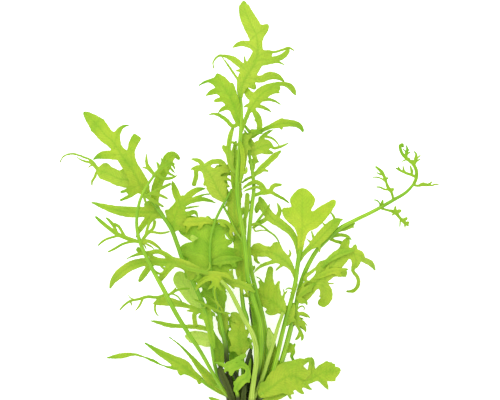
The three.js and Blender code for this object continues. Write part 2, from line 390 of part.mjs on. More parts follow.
      [2.6, [[-34.6, 119.3], [-34.5, 119.8]], 1, 0], [3, [[-33.3, 117.2], [-32.2, 115]], 0.9, -2],
      [2.4, [[-34.2, 115.5], [-32.2, 113.3]], 1, -2], [1.7, [[-35.8, 113.7], [-32.2, 112]], 1.3, -3],
      [0.4, [[-38.5, 110.9], [-34, 111], [-30.6, 112.7]], 1.4, -4]] },
  "right_fan_leaf": { "stem": "right_leaf_stem", "tone": "fresh",
    "rib": [
      [30, 75, 27.8, 2.6], [30.6, 80, 28.2, 3.6], [31, 85, 28.6, 6], [31, 90, 29, 9],
      [31, 95.5, 29, 9.6], [31.2, 100.3, 28, 12.6], [31, 104.6, 26.5, 7]],
    "lobes": [
      [2.6, [[26, 92], [21.2, 95.6]], 7.5, -3],
      [2.2, [[36.5, 90.5], [41.5, 95], [47.3, 100.2]], [4, 7.5, 6, 2.4], -5]] },
  "right_back_leaf": { "stem": "right_leaf_stem", "tone": "fresh",
    "rib": [
      [29.3, 71, 27.2, 1.6], [28.2, 78.5, 25.2, 2.4], [25.5, 83.8, 24.6, 3.2], [20.5, 88, 23.5, 4],
      [16, 91, 22.5, 4.4], [13, 94.8, 22, 4.2], [11, 98.5, 21.5, 3.4], [9.8, 101.6, 21, 1.4]],
    "lobes": [
      [3.6, [[19.8, 94.3], [18.4, 98.8]], 2.2, 1], [5.4, [[9.8, 97.5], [8.2, 93.4]], 2.8, -2, "round"],
      [4.2, [[12, 89.8], [8, 87.2], [6.5, 85.3]], 2.2, -2], [3, [[21.5, 86], [21.2, 85.2]], 1.4, 0],
      [5, [[14.3, 96.4], [15.1, 97.4]], 0.9, 0]] },
  "arch_leaf": { "stem": "right_leaf_stem", "tone": "fresh",
    "rib": [
      [27.8, 61, 26.2, 1.6], [26.2, 65.2, 27, 2], [23.2, 69, 27, 4.5], [19, 72.3, 26, 6.5],
      [14.2, 74.2, 23.5, 5], [9.5, 74, 20.8, 4.4], [5, 74, 18.8, 3]],
    "lobes": [
      [3.2, [[18.3, 75.5], [17.6, 78.8]], 5.5, 1], [4.4, [[9.5, 76], [5.5, 75]], 5, -2, "round"],
      [1.6, [[20, 69.3], [14.5, 68.6], [9.5, 66.3], [6.3, 62.6]], 2, -3],
      [2.2, [[24.5, 71.2], [25.5, 73], [24.6, 75.2]], 1.2, -1],
      [2.5, [[21.6, 73.2], [20.8, 73.8]], 1.8, 0, "round"], [1.2, [[24.5, 66.8], [27, 66.7]], 0.8, -1],
      [5.2, [[7.8, 70.2], [10.2, 68.1]], 2, -3], [1.9, [[20, 66.8], [17.5, 64.3]], 1.4, -3]] },
  "fern_side_leaf": { "stem": "right_leaf_stem", "tone": "fresh",
    "rib": [
      [28.9, 68.5, 27, 1.6], [31.5, 72.8, 27.6, 1.8], [34.5, 76, 28, 2.4], [38, 79, 28.3, 4.6],
      [42, 83.3, 28.5, 5.4], [46, 87.3, 28, 5], [49.8, 90.3, 27, 2.6]],
    "lobes": [
      [4.9, [[47, 89.5], [48.2, 90.9]], 2, 0], [5.6, [[50, 90], [51.6, 90.4]], 1.6, 0],
      [2.6, [[35, 79.2], [32.8, 80.8]], 0.9, 1], [2.7, [[36.9, 81], [36, 85.6]], 1, 1],
      [3.9, [[42.5, 86.5], [41.2, 89.2]], 0.9, 2], [5.2, [[47, 91.5], [45.3, 94.2]], 1.1, 2],
      [3.1, [[39.7, 75.5], [39.6, 73.6]], 1.4, -1]] },
  "fern_curl_leaf": { "stem": "right_fern_stem", "tone": "fresh",
    "rib": [
      [56.5, 89, 23.8, 1], [55.6, 87, 23.5, 2.6], [53, 85.4, 23.8, 2.8], [50.5, 84, 23.5, 1.8],
      [47.5, 82, 22.8, 1.4], [45.2, 80, 22.4, 1]],
    "lobes": [
      [3, [[52.5, 82.8], [54.5, 81.5], [55.2, 80]], 1.5, -2],
      [4.6, [[49.5, 79.9], [52, 78.8], [53.6, 77]], 1.6, -4.5],
      [2, [[54.3, 84], [55, 82.4]], 1.2, -1]] },
  "low_right_leaf": { "stem": "low_right_stem", "tone": "fresh",
    "rib": [
      [29, 50, 22.6, 1.8], [32, 53.2, 23.5, 7], [36.2, 57.2, 24.5, 5.6], [41, 61.5, 25.5, 7.5],
      [45.5, 66.5, 26, 8.6], [49.5, 71, 25.5, 8], [53.5, 73.2, 24.5, 5], [57.2, 73, 23, 4.5]],
    "lobes": [
      [3.2, [[40.5, 66], [42.2, 69.4]], 5.5, 0], [2.6, [[36, 63], [32.8, 61]], 2.2, -0.5],
      [5.2, [[51.8, 76], [54.3, 81.2]], 4.4, -6, "round"], [6.8, [[57.3, 76], [57.9, 78]], 3, 0],
      [6.9, [[59.5, 72.5], [61.3, 70.6], [65, 68.6], [68, 64.4]], [5, 5, 3, 3, 0.6], -16],
      [6.9, [[58, 69], [56.5, 65], [59, 61], [59.2, 57.5], [57, 54.5], [53.3, 54.2]],
        [5, 4.5, 1.8, 1.9, 2, 1.9, 1], -14],
      [3.3, [[48, 63.6], [53.5, 63]], 4, -3, "square"], [2.1, [[43, 58.8], [47.2, 58.2]], 1, -2],
      [2, [[41.5, 57.3], [44, 54], [42.6, 49]], [1.5, 4, 6, 5.6], -9],
      [0.9, [[31, 55.3], [30, 55]], 2.5, -1]] },
  "right_cluster_leaf": { "stem": "low_right_stem", "tone": "fresh",
    "rib": [
      [27.6, 45, 21.7, 1], [29, 43.5, 22, 2.2], [29.5, 41, 21.5, 2.2], [29.8, 38.5, 20.5, 2],
      [30.3, 35.5, 19, 1.2], [31.3, 32.5, 17, 1.2], [31, 29.6, 15.5, 0.6]],
    "lobes": [
      [1.2, [[32, 42.8], [35.2, 40.6]], 2, -3], [2.2, [[32, 39.3], [34.2, 36]], 1.2, -3],
      [2.6, [[31.5, 37.3], [33, 33.6]], 2.4, -4], [4.1, [[29.8, 32], [27.6, 29.9]], [1, 2, 0.6], -3],
      [0.6, [[30.5, 46.5], [32.2, 44.7]], 1.2, -1],
      [0.5, [[31.5, 48.3], [34.2, 47.2]], 2, -2, "round"]] },
  "node_leaf": { "stem": "pale_stem", "tone": "fresh",
    "rib": [
      [21.5, 44, 27, 2], [20, 46.5, 26.5, 6], [17, 49, 22.8, 9], [13, 51, 17.8, 9], [9, 52.5, 15.2, 7],
      [5.5, 54, 14.5, 3]],
    "lobes": [
      [1.4, [[20, 54], [20.4, 59.5]], 3, 0], [2.6, [[15.5, 58.5], [15.3, 66.7]], [4, 4.4, 3.6], -1],
      [2.2, [[17.5, 54], [17, 58]], 3, -1], [3.2, [[11.5, 57], [9, 59.5]], 4, -2],
      [2, [[17, 45], [12.5, 44]], 4.5, -3], [0.9, [[22, 52.5], [21.6, 56.4]], 1, 0],
      [0.8, [[23.5, 54.5], [24.8, 55.5]], 1.1, -1], [3.4, [[10, 60.5], [7, 62]], 0.9, 0],
      [3.6, [[6.5, 55.5], [3.4, 57.6]], 2.6, -1, "round"],
      [4.2, [[5, 52.5], [1.6, 52]], 2.6, -1, "round"], [3.8, [[6, 50], [3, 48.2]], 2.4, -1]] },
  "low_leaf": { "stem": "", "tone": "fresh",
    "stalk": [[9.3, 0.5, 14.3, 2.2], [10.6, 2, 15.8, 2.2], [11.6, 3.6, 17.6, 2.4]],
    "rib": [
      [11.6, 3.6, 17.6, 5], [15.6, 6.2, 18.6, 8.4], [19.8, 8.4, 18.4, 11], [24, 11.5, 16.4, 14],
      [29, 12.5, 13.4, 12], [34, 10.3, 9.6, 4], [38.5, 12.5, 7, 5], [43, 14, 4.6, 10],
      [47, 13.8, 3, 10.2], [50.5, 14.8, 1.6, 2.6]],
    "lobes": [
      [3.6, [[28, 16], [31, 18.5]], 6, 0.5, "round"], [4.1, [[30.5, 17], [34.5, 20]], 5, 0.5, "round"],
      [5.9, [[36.2, 16.5], [35.8, 21]], 4.2, 1, "round"], [3.2, [[24, 16], [24.5, 18]], 6, 0, "round"],
      [7, [[43.2, 17], [43.4, 19]], 4, 0, "round"], [7.8, [[47, 17], [48, 17.4]], 3, 0, "round"],
      [7.7, [[46, 11], [46, 9.6]], 4.5, -0.5, "round"], [5.9, [[41.5, 9.5], [44.4, 4.2]], 3.4, -5],
      [4.2, [[31.5, 7], [36.2, 4.7]], 2.6, -2], [3.8, [[29.5, 5], [32, 2.9]], 2.6, -1.5, "round"],
      [2.6, [[23, 6], [26.5, 3.5]], 5, -1, "round"], [0.5, [[11.6, 7], [10.6, 9]], 4.4, 0.4, "round"]] },
  "pale_back_leaf": { "stem": "", "tone": "fresh",
    "stalk": [[3.5, 0.5, 5, 2], [8, 5.5, 6.5, 2]],
    "rib": [
      [8, 5.5, 6.5, 2.4], [11.5, 12, 8, 4.5], [14, 20, 9.2, 5.6], [15, 28, 10, 5.8],
      [14.8, 34, 10.3, 3.5]],
    "lobes": [] },
  "small_right_leaf": { "stem": "right_fern_stem", "tone": "fresh",
    "rib": [
      [22.4, 24, 13.5, 1], [24.3, 25, 13.8, 2.6], [25.5, 26.8, 13.6, 4], [25, 28.6, 13, 1]],
    "lobes": [
      [2, [[27, 27.5], [27.3, 28.6]], 1.6, 0],
      [1.6, [[27, 25.3], [26.8, 21], [26.6, 20]], [1.4, 1.4, 1, 0.8], -3]] },
  "centre_small_leaf": { "stem": "", "tone": "deep",
    "stalk": [[-1, 0.5, 17.8, 1.8], [-1.4, 6, 20.6, 1.6]],
    "rib": [
      [-1.4, 6, 20.6, 2.4], [0.4, 9.6, 22, 5.4], [0.6, 12.6, 22.2, 4], [-1.2, 15.4, 22.4, 3.6],
      [-1.8, 18, 22.8, 3], [-0.8, 20.6, 23, 3.6], [1.2, 21.8, 22.8, 3.6], [3.4, 21.8, 22.4, 2.4]],
    "lobes": [
      [0.3, [[-2.4, 8.4], [-2.4, 7]], 2.4, -0.5, "round"],
      [1.2, [[3, 11], [4, 12]], 2.6, -0.8, "round"],
      [3, [[-3.8, 14.6], [-4.8, 12.2]], 2.8, -1, "round"],
      [3.3, [[-4.6, 16.8], [-7.2, 16.4]], 2.6, -1, "round"],
      [4, [[0, 17.8], [1.8, 18.4]], 3, -0.5, "round"],
      [4.4, [[-4, 19.2], [-6, 20.4]], 2.4, -0.8, "round"],
      [5, [[-2.6, 22], [-3.4, 24]], 2, -0.5, "round"]] },
  "middle_leaf": { "stem": "", "tone": "fresh",
    "stalk": [[1, 0.5, 8.5, 2], [1.5, 12, 12.5, 2], [1, 22, 15.5, 1.9]],
    "rib": [
      [1, 22, 15.5, 2.2], [0.2, 26, 17, 6.4], [-0.6, 30.5, 18, 8.6], [-0.8, 34.5, 18.6, 7],
      [0.2, 37.6, 19, 4], [1, 40.4, 19, 1.2]],
    "lobes": [
      [1.1, [[-3.6, 25.6], [-5.2, 24]], 3.4, -1, "round"],
      [2, [[-4, 32], [-5.4, 34.4]], 3.6, -1, "round"], [1.4, [[3.2, 27], [4.2, 29]], 3.4, -1, "round"],
      [2.4, [[2.6, 33], [4.4, 35.4]], 2.8, -1, "round"], [3.2, [[-3.2, 37], [-4.4, 39.4]], 3, -1]] },
  "fern_leaflet_1": { "stem": "right_fern_stem", "tone": "fresh",
    "rib": [
      [76.8, 100, 15.5, 0.9], [76.2, 103, 15.8, 1.1], [75, 105.4, 15.8, 1.6], [73.8, 108, 15.3, 0.9],
      [72.9, 110.3, 14.5, 1.4], [71.3, 113.5, 13.2, 1.3], [68, 116.7, 11.5, 0.6]],
    "lobes": [
      [2, [[71.8, 105.6], [68.4, 106.4]], 0.9, -3], [2, [[76.4, 105.4], [77, 105.9]], 1.5, 0, "round"],
      [4, [[73.8, 110.9], [74.2, 110.9]], 1.1, 0], [3.8, [[70.5, 110.7], [66.4, 111.3]], 0.6, -3],
      [5, [[70, 113.1], [68.6, 113.9]], 0.8, -1], [5, [[71.6, 114.2], [71.5, 114.6]], 1, 0]] },
  "fern_leaflet_2": { "stem": "right_fern_stem", "tone": "fresh",
    "rib": [
      [70.2, 95.9, 18.6, 0.8], [74, 94.9, 18, 0.9], [77.5, 93.9, 16.5, 1.6], [80.2, 91, 14.5, 1.2],
      [82.4, 88.8, 12.5, 1.4], [84.6, 87.2, 10.5, 1]],
    "lobes": [
      [2, [[77.9, 95.6], [77.8, 97.2]], 1.2, 1], [2, [[79.3, 94.4], [80.8, 95.1]], 1.6, 0, "round"],
      [3, [[82, 90.9], [83.4, 91.3]], 1.6, 0, "round"], [3, [[80.3, 89], [80.3, 87]], 0.7, -2],
      [4, [[82.8, 87.4], [82.8, 86]], 0.7, -2], [2, [[76.8, 93], [76.3, 92.3]], 0.9, -1]] },
  "fern_leaflet_3": { "stem": "right_fern_stem", "tone": "fresh",
    "rib": [
      [86.9, 107.5, 10.2, 1], [89.5, 107.2, 9.8, 1.3], [92, 107.9, 8.5, 2], [94, 107.6, 7, 1.6],
      [96.7, 109.3, 4, 0.7]],
    "lobes": [
      [3, [[96, 107.3], [98, 107.8], [100.2, 107.9]], 0.9, -6.75]] },
  "fern_tip": { "stem": "right_fern_stem", "tone": "fresh",
    "rib": [
      [87.4, 108.3, 10, 1.4], [88.6, 111.5, 9.6, 1.3], [88.5, 115, 9.2, 1.3], [87, 118, 8.8, 1.3],
      [84.3, 120.4, 8.4, 1.2], [82, 122.6, 8, 1.1], [80.7, 125.3, 7.6, 1.1], [80.6, 127.3, 7.3, 1.2],
      [81.6, 127.9, 7, 1], [81.9, 126.6, 6.8, 0.7]],
    "lobes": [
      [1.1, [[86, 113.2], [82.5, 114.4], [78.2, 116.4]], 1.3, -3],
      [1.1, [[86.3, 113.2], [85.7, 117.4]], 1.3, -1],
      [1.1, [[85, 113.2], [83, 114], [81.9, 117.3]], 1.1, -1],
      [1.1, [[84, 113.6], [80.5, 115], [79.4, 117]], 0.9, -1],
      [2.8, [[88.5, 120.3], [87.6, 124.6]], 1.4, -1], [2.8, [[89, 119], [90.6, 120.8]], 0.8, -1],
      [2.9, [[88.7, 120.5], [90.4, 122.4]], 0.8, -1], [3, [[87.2, 119.2], [86.1, 119.9]], 1, 0],
      [4.3, [[83.6, 123.5], [83.7, 127.6]], 1.3, 0], [4.4, [[84, 122.5], [85.6, 124.2]], 0.9, 0],
      [4.6, [[83.3, 124], [84.9, 125.6]], 0.9, 0], [4, [[82.8, 120], [81.2, 119]], 0.6, -1],
      [3.9, [[85, 121], [84.8, 121.3]], 1.2, 0]] },
};

// Old leaf bases and young leaves that are still part of the crown
const CROWN_SHOOTS = [
  [[-3.4, -1, 16.4, 3.2], [-6.4, 7, 21.6, 3.2], [-10.3, 16, 23.2, 2.4]],
  [[1.2, -1, 13, 3.4], [0.8, 6, 15, 3.2], [0.3, 10.5, 16, 2.6]],
  [[1.5, -1, 17, 2.8], [2, 4, 19.2, 2.4], [2.3, 7.5, 20, 1.6]],
  [[9, -4, 13.5, 2.4], [15, 0, 15, 4.4], [20, 2, 15, 3.6], [25, 3.2, 14.5, 0.6]],
  [[-5, -4.5, 11.5, 2.2], [-12, -1, 12.5, 3], [-16, 1, 12, 0.6]],
];

// A closed loft through rings of points
function loft(rings) {
  const positions = rings.flat().flatMap((p) => [p.x, p.y, p.z]);
  const sides = rings[0].length;
  const last = rings.length - 1;
  const at = (ring, corner) => ring * sides + (corner % sides);
  const index = [];
  for (let i = 0; i < last; i += 1) {
    for (let j = 0; j < sides; j += 1) {
      index.push(at(i, j), at(i, j + 1), at(i + 1, j));
      index.push(at(i, j + 1), at(i + 1, j + 1), at(i + 1, j));
    }
  }
  for (let j = 1; j < sides - 1; j += 1) {
    index.push(at(0, 0), at(0, j + 1), at(0, j));
    index.push(at(last, 0), at(last, j), at(last, j + 1));
  }
  return geometryFrom(positions, index);
}

function geometryFrom(positions, index) {
  const geometry = new THREE.BufferGeometry();
  geometry.setAttribute('position', new THREE.Float32BufferAttribute(positions, 3));
  geometry.setIndex(index);
  return geometry;
}

// The direction of a centreline at one of its points
function directionAt(points, i) {
  const before = new THREE.Vector3(...points[Math.max(i - 1, 0)]);
  const after = new THREE.Vector3(...points[Math.min(i + 1, points.length - 1)]);
  return after.sub(before).normalize();
}

// The level direction across a centreline that runs along the given way
const levelAcross = (along) => new THREE.Vector3(0, 0, 1).cross(along).normalize();

// A round stem or root through points of x, y, z and diameter. squareTo turns its first end that way.
function tube(points, { sides = STEM_SIDES, grow = 0, squareTo = null } = {}) {
  const last = points.length - 1;
  return loft(points.map((point, i) => {
    const along = i === 0 && squareTo ? squareTo : directionAt(points, i);
    const across = levelAcross(along);
    const above = along.clone().cross(across);
    const radius = point[3] / 2 + grow;
    const middle = new THREE.Vector3(...point);
    if (i === 0) middle.addScaledVector(along, -grow);
    if (i === last) middle.addScaledVector(along, grow);
    return Array.from({ length: sides }, (_, j) => {
      const angle = (2 * Math.PI * j) / sides;
      return middle.clone()
        .addScaledVector(across, radius * Math.cos(angle))
        .addScaledVector(above, radius * Math.sin(angle));
    });
  }));
}

// The share of its full width that a lobe of a form has at a place from 0, its root, to 1, its tip
function shareAt(form, place) {
  const profile = FORMS[form];
  const next = Math.max(profile.findIndex((pair) => pair[0] >= place), 1);
  const [fromPlace, fromShare] = profile[next - 1];
  const [toPlace, toShare] = profile[next];
  return THREE.MathUtils.mapLinear(place, fromPlace, toPlace, fromShare, toShare);
}

// A lobe's points of x, y, z and width, from its root on the rib to its tip
function lobePoints(rib, [at, path, width, rise, form = 'point']) {
  const from = Math.min(Math.floor(at), rib.length - 2);
  const root = rib[from].map((value, i) => THREE.MathUtils.lerp(value, rib[from + 1][i], at - from));
  const flat = [[root[0], root[1]], ...path];
  const lengths = [0];
  for (let i = 1; i < flat.length; i += 1) {
    lengths.push(lengths[i - 1] + Math.hypot(flat[i][0] - flat[i - 1][0], flat[i][1] - flat[i - 1][1]));
  }
  return flat.map(([x, y], i) => {
    const place = lengths[i] / lengths[flat.length - 1];
    const full = Array.isArray(width) ? width[i] : width * shareAt(form, place);
    return [x, y, root[2] + rise * place ** LIFT_POWER, full];
  });
}

// A flat slab one unit deep under a segment, from one margin to the other
function slab(points) {
  const last = points.length - 1;
  return loft(points.map((point, i) => {
    const across = levelAcross(directionAt(points, i));
    const pointed = i === last && point[3] < FINEST_WIDTH;
    const half = pointed ? TIP_WIDTH / 2 : Math.max(point[3], FINEST_WIDTH) / 2;
    return [[half, 0], [half, 1], [-half, 1], [-half, 0]].map(([aside, z]) => (
      new THREE.Vector3(point[0] + across.x * aside, point[1] + across.y * aside, z)));
  }));
}

function solidOf(geometry) {
  return new wasm.Manifold(new wasm.Mesh({
    numProp: 3,
    vertProperties: new Float32Array(geometry.attributes.position.array),
    triVerts: new Uint32Array(geometry.index.array),
  }));
}

function geometryOf(solid) {
  const mesh = solid.getMesh();
  return geometryFrom([...mesh.vertProperties], [...mesh.triVerts]);
}

const joined = (geometries) => geometries.map(solidOf).reduce((whole, piece) => whole.add(piece));

// The largest of a geometry's separate pieces, so that a cut leaves no crumbs
function largestPiece(geometry) {
  const index = [...geometry.index.array];
  const parent = Array.from({ length: geometry.attributes.position.count }, (_, i) => i);
  const find = (i) => {
    while (parent[i] !== i) i = parent[i];
    return i;
  };
  for (let i = 0; i < index.length; i += 3) {
    parent[find(index[i + 1])] = find(index[i]);
    parent[find(index[i + 2])] = find(index[i]);
  }
  const counts = new Map();
  index.forEach((corner) => counts.set(find(corner), (counts.get(find(corner)) ?? 0) + 1));
  const largest = [...counts.entries()].reduce((a, b) => (b[1] > a[1] ? b : a))[0];
  const kept = index.filter((_, i) => find(index[i - (i % 3)]) === largest);
  const used = [...new Set(kept)];
  const places = new Map(used.map((corner, i) => [corner, i]));
  const source = geometry.attributes.position.array;
  const positions = used.flatMap((corner) => [...source.slice(corner * 3, corner * 3 + 3)]);
  return geometryFrom(positions, kept.map((corner) => places.get(corner)));
}

// The outer margin of the joined slabs, as points of x and y, counterclockwise from above
function marginOf(flat) {
  const index = flat.index.array;
  const position = flat.attributes.position;
  const edges = new Map();
  for (let i = 0; i < index.length; i += 3) {
    const face = [index[i], index[i + 1], index[i + 2]];
    const onTop = face.every((corner) => position.getZ(corner) > SLAB_MIDDLE);
    if (!onTop) continue;
    face.forEach((corner, j) => {
      const to = face[(j + 1) % 3];
      if (!edges.delete(`${to} ${corner}`)) edges.set(`${corner} ${to}`, [corner, to]);
    });
  }
  const next = new Map(edges.values());
  let margin = [];
  while (next.size > 0) {
    const loop = [];
    let corner = next.keys().next().value;
    while (next.has(corner)) {
      loop.push(new THREE.Vector2(position.getX(corner), position.getY(corner)));
      const to = next.get(corner);
      next.delete(corner);
      corner = to;
    }
    if (THREE.ShapeUtils.area(loop) > (margin.length ? THREE.ShapeUtils.area(margin) : 0)) margin = loop;
  }
  return margin;
}

// A margin of points in space without those that lie on a nearly straight run
function eased(margin) {
  const kept = [...margin];
  for (let i = 0; i < kept.length && kept.length > 3;) {
    const run = new THREE.Line3(kept[(i + kept.length - 1) % kept.length], kept[(i + 1) % kept.length]);
    const nearest = run.closestPointToPoint(kept[i], true, new THREE.Vector3());
    if (nearest.distanceTo(kept[i]) < OUTLINE_EASE) kept.splice(i, 1);
    else i += 1;
  }
  return kept;
}

// Each run of a segment's centreline as seen from a place: how far past its margin, and its height there
function nearestOn(points, x, y) {
  return points.slice(1).map((to, i) => {
    const from = points[i];
    const run = [to[0] - from[0], to[1] - from[1]];
    const along = ((x - from[0]) * run[0] + (y - from[1]) * run[1]) / (run[0] ** 2 + run[1] ** 2);
    const t = THREE.MathUtils.clamp(along, 0, 1);
    const [nearX, nearY, z, width] = from.map((value, k) => THREE.MathUtils.lerp(value, to[k], t));
    return { past: Math.hypot(x - nearX, y - nearY) - width / 2, z, width };
  });
}

// A leaf blade: the joined outline of its segments, bent to their heights
function blade({ rib, lobes }) {
  const paths = [rib, ...lobes.map((lobe) => lobePoints(rib, lobe))];
  const nearestTo = ({ x, y }) => paths.flatMap((points) => nearestOn(points, x, y))
    .reduce((a, b) => (b.past < a.past ? b : a));
  const flat = marginOf(geometryOf(joined(paths.map(slab))));
  const margin = eased(flat.map((point) => new THREE.Vector3(point.x, point.y, nearestTo(point).z)));
  const halves = margin.map((point) => (
    THREE.MathUtils.clamp(nearestTo(point).width * THICKNESS_SHARE, THINNEST, BLADE_THICKNESS) / 2));
  const surface = (side) => margin.flatMap(({ x, y, z }, i) => [x, y, z + side * halves[i]]);
  const count = margin.length;
  const index = THREE.ShapeUtils.triangulateShape(margin, []).flatMap(([a, b, c]) => [
    a, b, c, a + count, c + count, b + count]);
  for (let i = 0; i < count; i += 1) {
    const j = (i + 1) % count;
    index.push(i, i + count, j, j, i + count, j + count);
  }
  return geometryFrom([...surface(1), ...surface(-1)], index);
}

const FROM_CROWN = new THREE.Vector3(0, 1, 0);

function stemGeometry({ line, twigs = [] }) {
  return geometryOf(joined([tube(line, { squareTo: FROM_CROWN }), ...twigs.map(blade)]));
}

function leafGeometry({ rib, lobes, stalk, stem }) {
  let solid = solidOf(blade({ rib, lobes }));
  if (stalk) solid = solid.add(solidOf(tube(stalk, { squareTo: stem ? null : FROM_CROWN })));
  if (stem) solid = solid.subtract(solidOf(tube(STEMS[stem].line, { grow: PIECE_GAP })));
  return largestPiece(geometryOf(solid));
}

// The crown is a short rounded rhizome along Y, flat where it rests on the surface
function crownGeometry() {
  const [middleX, middleZ] = CROWN_AXIS;
  const rings = CROWN_RINGS.map(([y, radius]) => Array.from({ length: CROWN_SIDES }, (_, j) => {
    const angle = (2 * Math.PI * (j + 0.5)) / CROWN_SIDES;
    const x = middleX - radius * Math.cos(angle);
    const z = Math.max(middleZ + radius * Math.sin(angle), 0);
    return new THREE.Vector3(x, y, z);
  }));
  const shoots = CROWN_SHOOTS.map((rib) => blade({ rib, lobes: [] }));
  return geometryOf(joined([loft(rings), ...shoots]));
}

// The roots are a tuft of strands that spread from the crown's end and droop to the surface
function rootGeometry() {
  const [middleX, middleZ] = CROWN_AXIS;
  const down = new THREE.Vector3(0, -1, 0);
  const strands = Array.from({ length: ROOT_STRANDS }, (_, i) => {
    const side = (2 * i) / (ROOT_STRANDS - 1) - 1;
    const length = ROOT_LENGTH * (1 - OUTER_CUT * Math.abs(side) - EVERY_OTHER_CUT * (i % 2));
    const sway = (t) => ROOT_SWAY * Math.sin(SWAY_TURN * t + i);
    const low = (t) => ROOT_FLOOR + ROOT_LIFTS[i % 2] * (1 - t);
    return tube(ROOT_STEPS.map((t) => [
      middleX + side * (ROOT_START + ROOT_SPREAD * t ** SPREAD_POWER) + sway(t),
      ROOT_TOP - length * t,
      THREE.MathUtils.lerp(middleZ - ROOT_DROP, low(t), Math.min(DROOP_RATE * t, 1)),
      THREE.MathUtils.lerp(ROOT_THICK, ROOT_FINE, t),
    ]), { sides: ROOT_SIDES, squareTo: down });
  });
  const knot = KNOT.map(([y, z, thick]) => [middleX, ROOT_TOP + y, middleZ + z, thick]);
  return geometryOf(joined([tube(knot, { sides: KNOT_SIDES, squareTo: down }), ...strands]));
}

const plant = new THREE.Group();
plant.name = 'broadleaf_water_sprite';
const placed = new THREE.Group();
placed.position.set(-ORIGIN[0], -ORIGIN[1], -ORIGIN[2]);
plant.add(placed);

function addPiece(name, geometry, tone) {
  geometry.computeVertexNormals();
  const piece = new THREE.Mesh(geometry, new THREE.MeshStandardMaterial(TONES[tone]));
  piece.name = name;
  placed.add(piece);
}

addPiece('crown', crownGeometry(), 'crown');
addPiece('roots', rootGeometry(), 'root');
for (const [name, stem] of Object.entries(STEMS)) addPiece(name, stemGeometry(stem), stem.tone);
for (const [name, leaf] of Object.entries(LEAVES)) addPiece(name, leafGeometry(leaf), leaf.tone);

export default plant;
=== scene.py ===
# Broadleaf water sprite, an aquarium fern, as picked with its crown and roots and laid on its side.
import math
import bpy
import numpy as np
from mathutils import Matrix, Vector


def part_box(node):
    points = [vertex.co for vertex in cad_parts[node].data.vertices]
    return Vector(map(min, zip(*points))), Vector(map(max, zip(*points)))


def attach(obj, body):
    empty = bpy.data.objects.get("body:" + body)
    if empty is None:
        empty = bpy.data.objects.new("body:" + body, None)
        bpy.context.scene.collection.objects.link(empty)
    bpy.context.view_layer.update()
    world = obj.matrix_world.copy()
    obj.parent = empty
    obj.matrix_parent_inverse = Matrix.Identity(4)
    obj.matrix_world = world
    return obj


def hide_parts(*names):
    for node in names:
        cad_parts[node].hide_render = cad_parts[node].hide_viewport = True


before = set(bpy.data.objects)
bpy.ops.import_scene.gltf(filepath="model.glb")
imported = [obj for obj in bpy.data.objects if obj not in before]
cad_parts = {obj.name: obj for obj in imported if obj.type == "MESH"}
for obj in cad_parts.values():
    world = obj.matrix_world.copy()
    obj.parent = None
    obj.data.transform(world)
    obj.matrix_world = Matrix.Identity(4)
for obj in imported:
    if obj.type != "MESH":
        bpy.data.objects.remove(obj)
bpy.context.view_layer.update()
print("frame loaded,", len(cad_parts), "nodes")

mm = 0.001
toFrame = np.array([-2.0, 5.5, 0.0])  # from the tables' middle, between the stems, to the crown's underside

